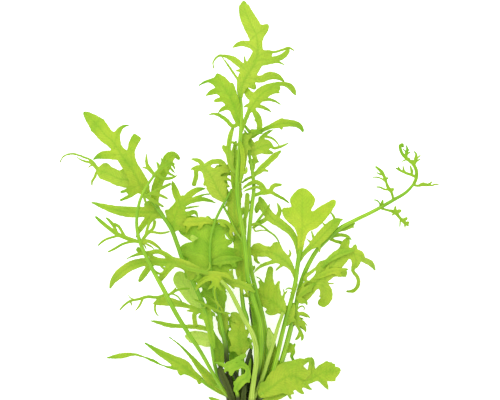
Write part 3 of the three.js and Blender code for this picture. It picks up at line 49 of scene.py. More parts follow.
# The plant, in mm. Stems: a line of points of x, y, z and diameter, and how far up from its foot it is
# brown. A twig is a fine segment grown from it.
# Leaves: the rib has points of x, y, z and width. A lobe leaves the rib at the place given first, counted
# in rib points, then follows its own points. Then come its width, or a list of widths along it, its rise
# to the tip, and its form where that isn't a point. A leaf with a stalk of its own grows from the crown,
# unless it says onStem. A leaf's tone is fresh where none is given.
# The deep tone on a leaf and the dark tone on a stem are cooler, deeper greens: painted shade for the parts
# that lie deeper among the stems
stems = {
    "tall_stem": {"brown": 30,
        "line": [[4.6, 0.3, 11.5, 2.8], [6.5, 5, 13, 2.8], [9.3, 15, 17, 2.6], [10.8, 28, 20.5, 2.5],
        [9.8, 40, 23.5, 2.4], [6.8, 50, 25.5, 2.4], [4, 61, 27.5, 2.3], [3, 73, 29, 2.3], [1.4, 85, 30, 2.2],
        [-0.8, 97, 31, 2.2], [-1.4, 110, 31.8, 2.1], [-0.6, 122, 32.3, 2], [0.3, 133, 32.6, 1.9],
        [0.7, 145, 32.6, 1.7], [0.2, 151, 32.4, 1.5]]},
    "second_stem": {"brown": 14,
        "line": [[7.5, 0.3, 8.3, 2.5], [10.5, 6, 10, 2.5], [13.2, 16, 13, 2.4], [13.4, 28, 16, 2.3],
        [11.5, 41, 18.5, 2.2], [8.4, 53, 20.5, 2.1], [5.6, 65, 22.3, 2], [4.4, 76, 23.7, 2],
        [4.9, 87, 25, 1.9], [5.9, 97, 26, 1.9], [6.9, 106, 26.7, 1.8], [6.2, 114, 27.2, 1.7],
        [4.9, 121, 27.5, 1.5], [3.7, 128, 27.6, 1.3], [3.2, 131.5, 27.6, 1.1]]},
    "front_stem": {"tone": "pale", "brown": 5,
        "line": [[5.8, 0.3, 17.2, 2.5], [6.2, 5, 19.4, 2.5], [7.2, 12, 23, 2.4], [8.1, 20, 26.4, 2.4],
        [7.9, 27, 29, 2.4], [6.3, 33, 31.3, 2.3], [2.2, 40.5, 33.7, 2.2], [-2, 49, 35.6, 2.1],
        [-5.5, 55.5, 36.8, 1.9], [-9.5, 60, 37.4, 1.7]]},
    "left_fern_stem": {"brown": 8,
        "line": [[-5.3, 0.3, 14.8, 2.2], [-8.4, 5, 17, 2], [-14, 14, 21, 1.8], [-19.6, 24, 25, 1.9],
        [-25.8, 33.5, 28.5, 2.1], [-32.2, 44, 31.5, 2.2], [-37.3, 54, 33.5, 2.2], [-42.2, 63, 34.6, 2],
        [-46.5, 71.5, 35.2, 1.9], [-49.7, 79, 35.6, 1.8], [-51.3, 86.5, 35.8, 1.6], [-51, 94, 35.9, 1.5],
        [-49.3, 101, 36, 1.4], [-46.3, 107, 36.2, 1.3], [-42.8, 112, 36.4, 1.2]],
        "twigs": [
            {"rib": [[-36.2, 52.3, 33, 1], [-34.3, 53.5, 33, 1.2], [-31, 55.2, 32, 1],
            [-25, 55.9, 29.5, 0.6]],
            "lobes": [[1, [[-32.8, 55], [-31.7, 56.7]], 1.2, 1],
            [0.8, [[-31.5, 52.3], [-29.7, 50.3], [-27.8, 47.4]], 0.8, -5]]}]},
    "left_leaf_stem": {"tone": "dark", "brown": 12,
        "line": [[-4, 0.3, 11, 2.7], [-7.2, 5.4, 12.5, 2.4], [-11.4, 13, 14.6, 2], [-13.5, 22, 16.6, 1.8],
        [-14.3, 29, 17.8, 1.9], [-15.4, 38, 19.5, 2.2], [-18.8, 48.5, 21.3, 2.3], [-23.5, 59, 22.8, 2.2],
        [-28.3, 69, 24, 2.2], [-31.4, 78, 25, 2.1], [-34.6, 86, 26, 2], [-38.3, 91.5, 27, 1.8],
        [-42, 96.5, 27.8, 1.5]]},
    "centre_leaf_stem": {"tone": "dark", "brown": 46,
        "line": [[-2, 0.3, 13.2, 2.5], [-3.8, 6, 14, 2.5], [-6.3, 16, 15.5, 2.4], [-7.2, 26, 17, 2.3],
        [-9.3, 37, 18.5, 2.2], [-11.5, 48, 19.8, 2], [-13.5, 58, 21, 1.7], [-14.8, 67, 22.2, 1.5],
        [-15, 76, 23.4, 1.3], [-14, 84, 24.6, 1.2], [-12, 90.5, 25.6, 1.3], [-9.3, 96, 26.3, 1.4],
        [-6.5, 101, 26.8, 1.2], [-4.2, 105.5, 27, 1]]},
    "right_leaf_stem": {"brown": 13,
        "line": [[9.2, 0.3, 11.6, 2.5], [11.5, 3, 12.5, 2.5], [15.3, 11, 15.5, 2.4], [18, 20, 18.3, 2.3],
        [20.3, 30, 20.8, 2.2], [23, 41, 23, 2.1], [25.8, 51, 24.8, 2.1], [27.8, 60, 26, 2.1],
        [28.8, 68, 27, 2.2], [30, 75, 27.8, 2.4]]},
    "right_fern_stem": {"brown": 10,
        "line": [[9.3, 0.3, 5.7, 2.7], [12, 3, 6.8, 2.7], [17.5, 11, 9.7, 2.6], [21.8, 22, 13, 2.5],
        [25, 34, 15.8, 2.4], [27.8, 46, 18.3, 2.3], [30.3, 58, 20.5, 2.2], [33.8, 67, 22.3, 2.2],
        [38.5, 75, 23.8, 2.1], [44.2, 81, 24.8, 2], [50, 86, 25.3, 2], [57, 89.7, 23.8, 2],
        [66.5, 94.3, 20.3, 1.9], [76.8, 100, 15.5, 1.8], [83.8, 104.3, 12, 1.6], [87.4, 108.3, 10, 1.4]],
        "twigs": [
            {"rib": [[70.6, 96.6, 18.4, 1.2], [71, 98, 18.6, 1.6], [71.6, 100.2, 18.4, 0.8]]},
            {"rib": [[70, 96.3, 18.7, 0.9], [70, 98, 18.9, 0.8], [68.5, 99.8, 18.8, 0.8],
            [66.7, 100, 18.4, 0.6]]}]},
    "low_right_stem": {"brown": 10,
        "line": [[10.5, 0.3, 8.7, 2.3], [13.3, 3.5, 10, 2.2], [18.5, 13, 13.3, 2.1], [22, 24, 16.5, 2],
        [24.6, 34, 19.2, 1.9], [27, 43, 21.3, 1.8], [29, 50, 22.6, 1.8]]},
    "pale_stem": {"tone": "pale", "brown": 6,
        "line": [[6.7, 0.3, 14.5, 2.2], [8.3, 3.5, 15.4, 2.1], [11.3, 11, 17, 2], [14, 20, 20.4, 1.9],
        [16.7, 29, 24, 1.9], [19.2, 37.5, 25.8, 1.8], [21.5, 44, 27, 1.7]]},
}
leaves = {
    "tall_top_leaf": {
        "rib": [[0.2, 151, 32.4, 1.6], [0.8, 156, 32.6, 4.5], [3.5, 162, 33, 7.5], [7.3, 168, 33, 7],
        [8.9, 174.5, 32, 4.4], [8.7, 178.5, 31, 4.6], [8, 182.4, 29.8, 7], [6.2, 186.4, 28.4, 8],
        [4.2, 190.4, 26, 7.4], [2.6, 194.4, 23.6, 6], [2, 197.4, 21.4, 4.2], [2.1, 199.6, 20, 1.6]],
        "lobes": [[6, [[11.6, 185], [14.2, 187.6]], [7.4, 5, 2], -2],
        [3.8, [[5.5, 177], [1, 178], [-4.2, 175.8]], 3.4, -6],
        [2.9, [[12, 171.4], [16, 173.4]], 6, -3, "round"],
        [3.2, [[16, 170.2], [20.6, 171.3], [23.2, 173.4], [24.6, 175.2]], [3, 2.6, 3, 2.6, 1], -6],
        [3.4, [[13, 173.6], [17.4, 173.8], [21.4, 175], [24.6, 175.9], [27, 174.4]],
          [4, 2.4, 1.2, 1.3, 1.2, 0.6], -6], [2.6, [[13.5, 168.2], [19, 168.8], [22.9, 166.8]], 2, -6],
        [1.8, [[10.5, 160.2], [15, 162], [18.4, 161.6], [22.2, 159]], [3, 3.6, 4, 3.2, 0.6], -8],
        [1.4, [[5, 158], [7.5, 155]], 4, -2, "round"], [2.2, [[0.5, 167], [-4.5, 170.7], [-10.8, 171.6],
          [-13.3, 168.8], [-12.7, 164.8]], 3.4, -4, "tail"], [2.3, [[2.8, 168], [2.2, 172.2]], 1.6, 2],
        [2, [[1, 164.3], [-2.3, 164.2]], 2, 0], [1, [[-4.8, 165.5], [-9.8, 172.3]], 1.2, 3]]},
    "tall_left_leaf": {
        "rib": [[0.4, 137, 32.6, 1.2], [-1.2, 140, 33, 3], [-2.6, 146, 33.5, 5.5], [-5.8, 152.5, 33.5, 8],
        [-9, 158, 32, 6.5], [-11.6, 162.9, 30.5, 2.2]],
        "lobes": [[3.6, [[-12, 158.9], [-16.2, 159.2], [-20.6, 157]], 4.6, -5, "tail"],
        [3, [[-11.5, 154.2], [-17.3, 151.9]], 3.4, -6],
        [2.4, [[-8.5, 150], [-13.1, 149.2]], 2.6, -4, "round"], [1.8, [[-6.5, 146], [-11, 143.4]], 2.6, -4],
        [0.4, [[-3.4, 136.8], [-6.8, 139.9], [-10.4, 142.3], [-13, 143], [-15.9, 142.3]],
          [2.4, 2, 1.9, 1.8, 1.2, 0.4], -7], [2.6, [[-4.2, 154], [-4, 158.4]], 3.6, -1, "round"]]},
    "tall_right_leaf": {
        "rib": [[0.6, 134, 32.6, 1.4], [2.4, 139, 32.8, 1.6], [4.2, 143.5, 33, 1.8], [6.8, 148, 33.2, 4.5],
        [10.5, 152.6, 32.5, 6.2], [15, 155.2, 30.5, 5.6], [20, 155.6, 28.5, 2.6]],
        "lobes": [[4.4, [[17.5, 157.6], [21.6, 157.9], [24.6, 157], [26.6, 154.8], [27.9, 152.2]],
          [3, 2.2, 2.2, 3, 2.6, 0.5], -12], [5, [[17, 154.3], [20, 153.5]], 2.2, -2],
        [3.2, [[11.5, 149.8], [15, 150], [20.9, 147.1]], 1.6, -8],
        [2.9, [[8.6, 146.9], [12, 146], [15.9, 143.6]], 1.9, -6],
        [2.6, [[9.4, 141], [9.8, 138], [9.5, 134.6]], [1.6, 2.4, 2.9, 2.8], -5, "round"],
        [2.6, [[9.2, 137.2], [8, 139.2], [5.9, 140.6]], 1.3, -3], [3, [[3.5, 147], [1.5, 146]], 1.6, -1],
        [3.4, [[5, 152], [3, 156]], 4, -3, "round"]]},
    "tall_sprig": {
        "rib": [[-1.2, 113, 31.9, 1.5], [-4, 116, 31, 2], [-5.6, 121, 30.5, 2.2], [-5.6, 127, 30.5, 2.1],
        [-4.8, 132, 30.8, 2.2], [-3.2, 136.8, 31, 1.1]],
        "lobes": [[2.3, [[-6.6, 124], [-8.6, 127.4]], 2.6, 1, "round"],
        [3.2, [[-3.5, 128.8], [-1.8, 128.3]], 1.2, 0], [1.2, [[-4, 120], [-3.2, 127]], 2.2, -1]]},
    "upper_right_leaf_1": {
        "rib": [[3.4, 130.5, 27.6, 1.4], [6.5, 132.6, 27.5, 3], [10, 134.2, 27, 1.8], [15, 136.6, 26, 2.2],
        [20, 138.1, 24, 4], [25.5, 138.4, 21.5, 3.2], [29.6, 137.2, 18.5, 2.6], [31.7, 134.2, 15.5, 0.9]],
        "lobes": [[3.6, [[20, 139.5], [21.9, 140.7]], 2, 0, "round"],
        [4, [[20.5, 136.5], [21, 135.1]], 2, 0, "round"], [1.2, [[6.3, 134.5], [6.8, 135.2]], 2, 1],
        [0.8, [[4.5, 134.8], [2.3, 137.3]], 1.1, 1]]},
    "upper_right_leaf_2": {
        "rib": [[4.4, 123.5, 27.5, 1.4], [6.5, 124.5, 27, 4], [9.5, 126.3, 26.5, 6.5], [13, 127.4, 25, 5.5],
        [16.2, 127, 23, 2.4]],
        "lobes": [[1.8, [[12, 132.2], [17.1, 135.4]], 2.2, -3],
        [1.6, [[11, 131.6], [16, 130.8], [20.2, 126.3]], 1.4, -7],
        [3.2, [[17, 126], [20, 126.6], [25, 129]], 1.5, -4], [2, [[12.5, 124.4], [17, 123.6]], 3, -3],
        [1, [[7.5, 121], [9.3, 118.9]], 2.4, -2]]},
    "upper_right_leaf_3": {
        "rib": [[6.5, 111.5, 27.1, 1.3], [9, 114.5, 27, 2], [13, 118, 26.5, 2.8], [17, 121.7, 25, 2.9],
        [20.5, 124.6, 23, 0.8]],
        "lobes": [[0.3, [[9.4, 113.4], [12, 114.8], [14.3, 114.4]], [1, 1.3, 1.3, 0.8], -0.6],
        [0.1, [[3.5, 110.5], [0.9, 108.5]], [1.2, 1.4, 0.8], 1.6]]},
    "fork_leaf": {
        "rib": [[6.7, 102, 26.5, 1.3], [9.5, 103.2, 27, 1.6], [12.5, 104, 27.3, 2.6],
        [14.8, 104.2, 27, 2.4]],
        "lobes": [[3, [[16.5, 106.8], [21, 107.5]], [2.2, 2.3, 1.2], -3],
        [3, [[17.5, 102.8], [21, 101], [24.5, 98.5]], [1.8, 1.7, 1.4, 0.6], -6],
        [2.2, [[11, 107.3], [8, 109], [3.5, 107.3], [0.6, 104.6]], 2.2, 6],
        [2, [[9, 106.3], [5, 105.6], [1, 103.8]], 1.4, 5]]},
    "side_spray": {
        "rib": [[5, 87, 25, 1], [8, 88.2, 25.5, 1.4], [11, 87, 25, 1], [14.3, 84.4, 23.5, 1],
        [17.5, 82, 21.5, 0.9], [19.9, 78, 19, 0.6]],
        "lobes": [[0.6, [[7.5, 84.6], [11, 84.9], [14, 84.3]], 0.8, -2]]},
    "centre_high_leaf": {
        "rib": [[-7.5, 99.5, 26.6, 1.4], [-9.5, 102.5, 27.2, 5.5], [-11.5, 106, 27.8, 9],
        [-13.5, 110, 28.2, 8], [-15.5, 113.5, 28, 6], [-18.5, 117, 27, 3]],
        "lobes": [[4.6, [[-20, 119.2], [-24.7, 120.5]], 2.4, -3],
        [4.8, [[-14, 118.9], [-9.6, 119], [-6.6, 116.6]], [2.6, 2.6, 2.8, 1], -2],
        [4, [[-19.5, 116], [-24.9, 115.1]], 2.8, -5],
        [4, [[-21.5, 115.3], [-22, 111.5], [-23.4, 107]], 2.6, -7, "square"],
        [3.4, [[-9, 115], [-4.5, 113.5]], 4, -2], [2.6, [[-8, 111], [-4.5, 109.8]], 2, -2],
        [2, [[-7.5, 107.8], [-4.8, 106.5]], 1.6, -1], [2.4, [[-16, 109], [-18.2, 107.3]], 2.6, -2, "round"],
        [1.6, [[-14, 105.3], [-17, 105.8]], 1.8, -1],
        [4.2, [[-12, 114.8], [-7, 115.8], [-4.5, 114.6]], [3, 2.4, 2.4, 0.8], -2],
        [2.3, [[-7.6, 110.4], [-5.4, 110], [-3.4, 107.4]], 1.3, -2]]},
    "centre_broad_leaf": {"tone": "deep",
        "rib": [[-13.8, 61, 19.6, 3], [-14.8, 67, 20.4, 10], [-15, 74, 21.2, 15], [-14.6, 81, 22, 14],
        [-13.5, 87, 22.8, 8], [-12.6, 90.5, 23, 3]],
        "lobes": [[3.5, [[-20, 88], [-28, 90.3]], 6, -3, "round"],
        [3.8, [[-15.5, 90], [-16.6, 92]], 3, 0, "round"], [2.4, [[-22, 82], [-31, 86.5]], 7, -3, "round"],
        [1.6, [[-22, 74], [-30, 76]], 9, -3, "round"], [0.8, [[-20, 67], [-26, 70]], 6, -2, "round"],
        [3.2, [[-9.5, 85.5], [-5.5, 84.5]], 5, -2, "round"], [2.2, [[-8, 78.5], [-3.5, 79]], 5, -2],
        [1.2, [[-8, 73.5], [0.8, 72.8]], 6, -4], [0.6, [[-8, 68], [1, 67.5], [7.5, 66.5]], 6, -6],
        [0.2, [[-8, 63], [-3, 58.5]], 6, -4]]},
    "left_long_leaf": {
        "rib": [[-38.3, 91.5, 27, 2], [-42, 93.6, 25.1, 5], [-48, 94, 25, 5], [-55, 94, 24.3, 5.2],
        [-62, 95, 22, 4.2], [-69, 97, 17, 2.4], [-74.6, 98.9, 11, 0.6]],
        "lobes": [[0.9, [[-42.5, 96.5], [-47.8, 98]], 4.5, 0, "round"],
        [1.2, [[-46.5, 90], [-49.5, 86], [-52.4, 80.6]], 3, -7], [0.6, [[-44, 90], [-46, 88]], 2, -2]]},
    "left_strap_leaf": {
        "rib": [[-40.6, 94.6, 26.8, 1.8], [-41.9, 96.8, 26.2, 2.8], [-42.3, 99, 26.2, 3.6],
        [-42, 105, 26.2, 4.6], [-39.8, 111, 26.5, 5.2], [-37.2, 117, 27, 5.6], [-34.8, 121.8, 26, 5],
        [-32.5, 122.3, 23.5, 3], [-30.2, 120.2, 21, 1.6]]},
    "left_fan_leaf": {
        "rib": [[-33.6, 84.5, 25.8, 2], [-33, 88, 25, 6], [-32.3, 92, 25.5, 8.5], [-30.5, 96, 26.5, 6],
        [-29, 99.2, 27.5, 4]],
        "lobes": [[2, [[-35.5, 93.5], [-37.3, 95]], 3.5, -1, "round"],
        [3.4, [[-32, 103.5], [-33.9, 109.9]], 3.6, 1],
        [3.8, [[-28.8, 101], [-28.2, 102.4]], 2.6, 0, "round"],
        [3.2, [[-31, 98.2], [-33, 97.5]], 2, 0, "round"],
        [3.5, [[-25.5, 102.3], [-21.5, 105], [-16.8, 105.7]], 3.4, -4],
        [3.1, [[-23, 101], [-17.5, 102.7], [-11.8, 103]], 1.1, -4],
        [2.8, [[-24.5, 99.5], [-19, 100.4], [-11.6, 98.3]], 2.6, -5],
        [2.6, [[-25, 96.3], [-19, 97.1]], 1.1, -3], [2.2, [[-26, 93], [-22.5, 94], [-21, 91]], 2.6, -3],
        [1.4, [[-28.5, 91], [-27, 89.8]], 5, -2, "round"], [0.8, [[-29.5, 86.5], [-28, 83.5]], 4, -3],
        [1, [[-28, 85.5], [-26.6, 83]], 1.8, -4, "round"]]},
    "left_top_leaf": {
        "onStem": True,
        "stalk": [[-42, 96.5, 27.8, 1.5], [-44.8, 100.5, 28.8, 1.8], [-47, 104.2, 29.6, 2]],
        "rib": [[-47, 104.2, 29.6, 4], [-49.8, 108, 30, 8], [-53, 114, 30.3, 7.5], [-57.6, 120.4, 30, 6.2],
        [-61.3, 126, 29, 4.9], [-63.4, 129.2, 28, 6.6], [-66.9, 132.2, 26.6, 7.2], [-70.5, 136.6, 24.5, 7.8],
        [-74.4, 140.6, 22, 5.2], [-78.2, 143.9, 19.5, 1.6]],
        "lobes": [[4.6, [[-61.6, 131.6], [-60.5, 134.4], [-58.7, 136.4], [-55.3, 137.3]],
          [4.4, 3.6, 2.8, 1.9, 0.5], -2], [2.1, [[-54, 119.5], [-54.3, 124], [-53.2, 128.2], [-50.9, 132.2]],
          [5, 4.4, 3.8, 4.6, 4.9], -3, "square"], [3.4, [[-63, 122.4], [-67.6, 122.5], [-71.2, 121.6],
          [-73.4, 120.2]], [5, 4.6, 4.2, 2.4, 0.5], -8], [7.3, [[-72.4, 134.9], [-74.8, 135]], 2.6, 0],
        [8.2, [[-76, 139.5], [-77, 140.4]], 2, 0], [7.6, [[-68.6, 139.8], [-69.6, 140.9]], 2.2, 0],
        [0.9, [[-53.5, 106], [-56, 103]], 5, -2, "round"],
        [0.6, [[-54, 102.6], [-60, 99.7]], [2, 2.1, 1], -4],
        [0.9, [[-56, 105], [-59.8, 103.8]], [1.6, 1.8, 1], -3]]},
    "left_tendril_leaf": {
        "rib": [[-47, 103.8, 27.6, 2.5], [-50.5, 107.5, 27.2, 4], [-55, 110, 26.5, 8.5],
        [-60, 110.6, 25, 7.2], [-65, 112.8, 23, 7.2], [-69.5, 114.5, 21, 7.6], [-71.3, 115, 19.8, 6.5]],
        "lobes": [[5.6, [[-74, 119.3], [-79, 121.8], [-85, 123.2], [-89, 121.8], [-90.8, 118.7]],
          [2.4, 1.3, 1, 1, 0.8, 0.5], -20], [5.8, [[-75, 118.6], [-79, 119.8], [-82.5, 122]], 1.2, -6],
        [5.9, [[-73.5, 117.2], [-77, 115]], 0.8, -6],
        [6, [[-73, 111], [-74.2, 109.2], [-73.8, 106.2]], 1.4, -8],
        [2.8, [[-58, 113.5], [-58.3, 115.6]], 3.4, -1, "square"],
        [4.8, [[-67, 116.5], [-68.5, 118]], 4, -1, "round"]]},
    "front_fountain_leaf": {"tone": "warm",
        "rib": [[-9.5, 60, 37.4, 1.7], [-12, 61.7, 37.4, 3], [-15, 63.2, 37.2, 3]],
        "lobes": [[1.2, [[-8, 63.3], [-3.2, 60.3]], 1.8, -3], [1.4, [[-18, 60.5], [-22.3, 54]], 2.2, -8],
        [1, [[-13.5, 57.8], [-16.5, 55.2]], 1.8, -4],
        [0.4, [[-12, 57.5], [-12.5, 52], [-10, 47], [-7, 43.5]], 1, -12],
        [0.8, [[-10.5, 57], [-6, 54]], 1.6, -5]]},
    "front_left_leaf": {
        "rib": [[-16.2, 63.6, 37, 2], [-20, 64.8, 36.5, 2.6], [-25, 66.6, 35.5, 4], [-31, 68.8, 33.5, 4.4],
        [-38, 69, 31, 3.6], [-46, 69.3, 28, 3.6], [-54, 67.3, 24, 4.6], [-60, 63.3, 18.5, 4.4],
        [-64, 58.8, 12.5, 2.4], [-65.3, 55.6, 8, 0.7]],
        "lobes": [[2.6, [[-33.5, 70.3], [-36.3, 72.5], [-40.8, 74.4], [-45.3, 73.6], [-50.4, 73.1],
          [-56.8, 70.6]], [3, 2.6, 2.4, 2.4, 2.2, 1.6, 0.4], -5],
        [3.9, [[-47.6, 73.8], [-50, 75], [-51.7, 75.9]], [1.4, 1.8, 2.4, 2.7], -2, "round"],
        [4.6, [[-46, 65.5], [-50.6, 58.9]], 3.2, -8, "round"],
        [3.2, [[-37, 64], [-41, 58.5]], 3.2, -7, "round"],
        [3, [[-36.9, 63.9], [-39.3, 63.4], [-41.4, 63.8], [-42.6, 65.1]], [1.6, 1.4, 1.2, 1.2, 0.8], -2],
        [3, [[-36.8, 65.6], [-39.5, 67]], [1.4, 1.3, 0.9], -1], [2.2, [[-24, 63.5], [-26, 60.5]], 5, -5]]},
    "pale_strap_leaf": {"tone": "pale",
        "rib": [[-18, 46.3, 20.9, 1.4], [-20.6, 47.4, 17, 3.6], [-23.4, 50.6, 14, 6.6],
        [-26.4, 55.4, 11.5, 8], [-29.6, 60, 9.5, 8.2], [-31.4, 64, 8, 5]]},
    "low_left_leaf": {
        "rib": [[-16.6, 42.5, 20.3, 1.4], [-21, 45, 19.3, 1.4], [-26, 46.8, 18, 1.9], [-32, 48.3, 16.5, 3.4],
        [-38, 49.3, 14.5, 4.4], [-43.5, 47.9, 11.5, 1]],
        "lobes": [[4, [[-37, 51.8], [-36.8, 53]], 2.5, 0],
        [0.8, [[-22.6, 43], [-22.8, 40], [-22, 36.8]], 2.6, -2.5, "square"],
        [0.6, [[-22.6, 44.4], [-27.2, 44.6]], 1.6, -2]]},
    "low_left_blade": {
        "rib": [[-14.3, 34.6, 18.8, 1.6], [-20, 36.2, 16.5, 2.6], [-28, 36.6, 13.5, 2], [-36, 37.2, 10, 2.4],
        [-41, 38.4, 7, 1.8], [-45.4, 39.3, 4.5, 0.5]]},
    "pale_left_leaf": {"tone": "pale",
        "rib": [[-14, 28.2, 17.4, 2], [-16.8, 29.8, 14, 7], [-21.5, 30.8, 10.5, 7], [-25.5, 31.3, 8, 4.8],
        [-27.7, 31.6, 7, 2.2]]},
    "low_left_frond": {
        "stalk": [[-5.3, 0.5, 6.5, 2.2], [-11, 3.8, 6.5, 2], [-16, 6.8, 6.5, 2], [-19.6, 9.6, 6.2, 2]],
        "rib": [[-19.6, 9.6, 6.2, 2.4], [-24, 12.7, 6, 3.6], [-28.6, 16.4, 5.6, 6.4], [-33.6, 19.4, 5, 4.6],
        [-40, 23, 4, 3], [-48.2, 28.2, 2.4, 0.5]],
        "lobes": [[1.8, [[-33, 15.4], [-38.8, 16.7], [-44, 19.2], [-48, 20.8], [-53, 22.2], [-60, 21.5],
          [-67.6, 20.3]], [2, 1.8, 0.7, 1.5, 0.9, 1.4, 2.8, 0.4], -5.4],
        [1.8, [[-29.4, 14], [-29.8, 11.6]], 3.8, -1, "round"],
        [0.3, [[-20.4, 9], [-20.8, 7.2]], 2.6, -1, "round"]]},
    "left_needle": {
        "stalk": [[-6, 0.5, 9.7, 1.6], [-12, 7, 10.5, 1.7]],
        "rib": [[-12, 7, 10.5, 2.4], [-16.5, 11.8, 11, 4.2], [-20.2, 16, 11.3, 3.2],
        [-24.6, 21.4, 11.2, 1.8], [-29.5, 26.4, 10.8, 1], [-36, 31.5, 10, 0.5]]},
    "left_fern_leaflet_1": {
        "rib": [[-37.2, 53, 33.2, 1], [-41, 51.6, 33, 1.2], [-46, 51.8, 32, 1.3], [-50.5, 50.6, 30.5, 1.1],
        [-55, 49.5, 28, 1], [-58, 47.3, 25.5, 0.9], [-60.2, 44.9, 23, 0.5]],
        "lobes": [[2.4, [[-50, 47.5], [-52.6, 44.2]], 1.2, -5], [3.3, [[-55, 51.6], [-56, 53.6]], 0.6, 1],
        [3.9, [[-54.2, 48], [-54.1, 47]], 0.9, -1],
        [0.7, [[-41.3, 50], [-42.4, 46], [-41.6, 43.2], [-39.7, 41.4]], 1.2, -7]]},
    "left_fern_leaflet_2": {
        "rib": [[-49.7, 79, 35.6, 1.2], [-53, 80, 35.8, 1.6], [-57, 81.3, 35.5, 1.8], [-61, 83, 34.5, 1.8],
        [-65.5, 86.2, 32.5, 1.7], [-69, 89, 30, 1.6], [-72.2, 91.8, 27, 0.8]],
        "lobes": [[2.9, [[-62.2, 86], [-63.6, 88.2], [-66.7, 91.3]], [1.3, 1.4, 1.7, 0.9], -2],
        [1.9, [[-58.8, 84.5], [-60.5, 87], [-63.3, 88.3]], [1.4, 1.4, 1.5, 1.3], 0],
        [2.6, [[-63, 81.6], [-67.5, 80], [-70.8, 77.2]], [1.2, 1.2, 1.2, 0.8], -7],
        [0.4, [[-54, 79.2], [-58.5, 78], [-62, 76], [-66, 74]], [1.3, 1.3, 1.3, 1.3, 0.8], -8]]},
    "left_fern_leaflet_3": {
        "rib": [[-49.3, 78.8, 35.6, 1.1], [-47.5, 81.5, 35.8, 1.3], [-45.8, 83.5, 35.5, 1.3],
        [-43.5, 85.5, 34.5, 1.2], [-42.3, 89.8, 33, 1.2]],
        "lobes": [[1.2, [[-46, 86], [-44.8, 88.8], [-43.3, 90.3]], [1.3, 1.4, 1.4, 0.9], -1],
        [2.2, [[-43, 84], [-40, 83.5], [-35, 84.3]], [1.1, 1.2, 1.2, 0.8], -4],
        [0.3, [[-45.5, 79.5], [-42, 77.6], [-38.5, 74.5]], 1.8, -6],
        [0.3, [[-46, 77.8], [-44, 76.7], [-42.5, 75]], 1, -5], [0.25, [[-47, 76.5], [-46.5, 75]], 0.9, -3]]},
    "left_fern_leaflet_4": {
        "rib": [[-48.6, 101.8, 36, 1], [-46, 102.4, 36, 1.2], [-42.5, 104.2, 35.5, 1.3],
        [-38.5, 106.2, 34, 1.3], [-34.4, 108.2, 31.5, 0.9]],
        "lobes": [[2.8, [[-39.6, 107.5], [-40.4, 108.8]], 1, 1],
        [1.4, [[-41, 102.7], [-36, 100.6]], [1.4, 1.6, 0.9], -4],
        [0.5, [[-43.5, 99.8], [-38, 96.6]], [1.6, 1.8, 0.9], -5],
        [0.3, [[-47, 99.3], [-45.4, 97.6]], [1.2, 1.2, 0.8], -2]]},
    "left_fern_tip": {
        "rib": [[-42.8, 112, 36.4, 1.3], [-39.6, 115.2, 36.5, 1.6], [-36.5, 117.3, 36.2, 1.5],
        [-34.2, 118.2, 35, 1.2], [-32.6, 117.8, 33.5, 0.7]],
        "lobes": [[0.1, [[-45.5, 115.8], [-46.4, 123.6]], 1.7, 0],
        [0.1, [[-44.8, 115], [-49, 116.4]], 1.3, -1], [0.1, [[-45.8, 117.5], [-47.4, 119.7]], 1.18, -0.5],
        [0.8, [[-40.5, 117], [-41.6, 119.2]], 1.53, 1], [1.4, [[-38.5, 119], [-39.2, 121.2]], 1.42, 1],
        [2.2, [[-36.5, 119], [-36.6, 120]], 1.3, 1], [2.6, [[-34.6, 119.3], [-34.5, 119.8]], 1.18, 0],
        [3, [[-33.3, 117.2], [-32.2, 115]], 1.06, -2], [2.4, [[-34.2, 115.5], [-32.2, 113.3]], 1.18, -2],
        [1.7, [[-35.8, 113.7], [-32.2, 112]], 1.53, -3],
        [0.4, [[-38.5, 110.9], [-34, 111], [-30.6, 112.7]], 1.65, -4]]},
    "right_fan_leaf": {"tone": "warm",
        "rib": [[30, 75, 27.8, 2.6], [30.6, 80, 28.2, 3.6], [31, 85, 28.6, 6], [31, 90, 29, 9],
        [31, 95.5, 29, 8.8], [31.2, 101.4, 28, 12.9], [31.2, 105.9, 26.5, 7.6]],
        "lobes": [[2.6, [[26, 92], [21.2, 95.6]], 7.5, -3],
        [2.2, [[36.5, 89.4], [41.3, 93.8], [44.8, 97], [47.6, 100]], [5, 7.6, 6.7, 4.6, 2.6], -5]]},
    "right_back_leaf": {
        "rib": [[29.3, 71, 27.2, 1.6], [28.2, 78.5, 25.2, 2.4], [25.5, 83.8, 24.6, 3.2], [20.5, 88, 23.5, 4],
        [16, 91, 22.5, 4.4], [13, 94.8, 22, 4.2], [11, 98.5, 21.5, 3.4], [9.8, 101.6, 21, 1.4]],
        "lobes": [[3.6, [[19.8, 94.3], [18.4, 98.8]], 2.2, 1],
        [5.4, [[9.8, 97.5], [8.2, 93.4]], 2.8, -2, "round"],
        [4.2, [[12, 89.8], [8, 87.2], [6.5, 85.3]], 2.2, -2], [3, [[21.5, 86], [21.2, 85.2]], 1.4, 0],
        [5, [[14.3, 96.4], [15.1, 97.4]], 0.9, 0]]},
    "arch_leaf": {
        "rib": [[27.8, 61, 26.2, 1.6], [26.2, 65.2, 27, 2], [23.2, 69, 27, 4.5], [19, 72.3, 26, 6.5],
        [14.2, 74.2, 23.5, 5], [9.5, 74, 20.8, 4.4], [5, 74, 18.8, 3]],
        "lobes": [[3.2, [[18.3, 75.5], [17.6, 78.8]], 5.5, 1], [4.4, [[9.5, 76], [5.5, 75]], 5, -2, "round"],
        [1.6, [[20, 69.3], [14.5, 68.6], [9.5, 66.3], [6.3, 62.6]], 2, -3],
        [2.2, [[23.6, 71.2], [24.9, 72.4], [24.6, 75.2]], [1.2, 1.4, 1.3, 0.7], -1],
        [2.5, [[21.6, 73.2], [20.8, 73.8]], 1.8, 0, "round"], [1.2, [[24.5, 66.8], [27, 66.7]], 0.8, -1],
        [5.2, [[7.8, 70.2], [10.2, 68.1]], 2, -3], [1.9, [[20, 66.8], [17.5, 64.3]], 1.4, -3]]},
    "fern_side_leaf": {
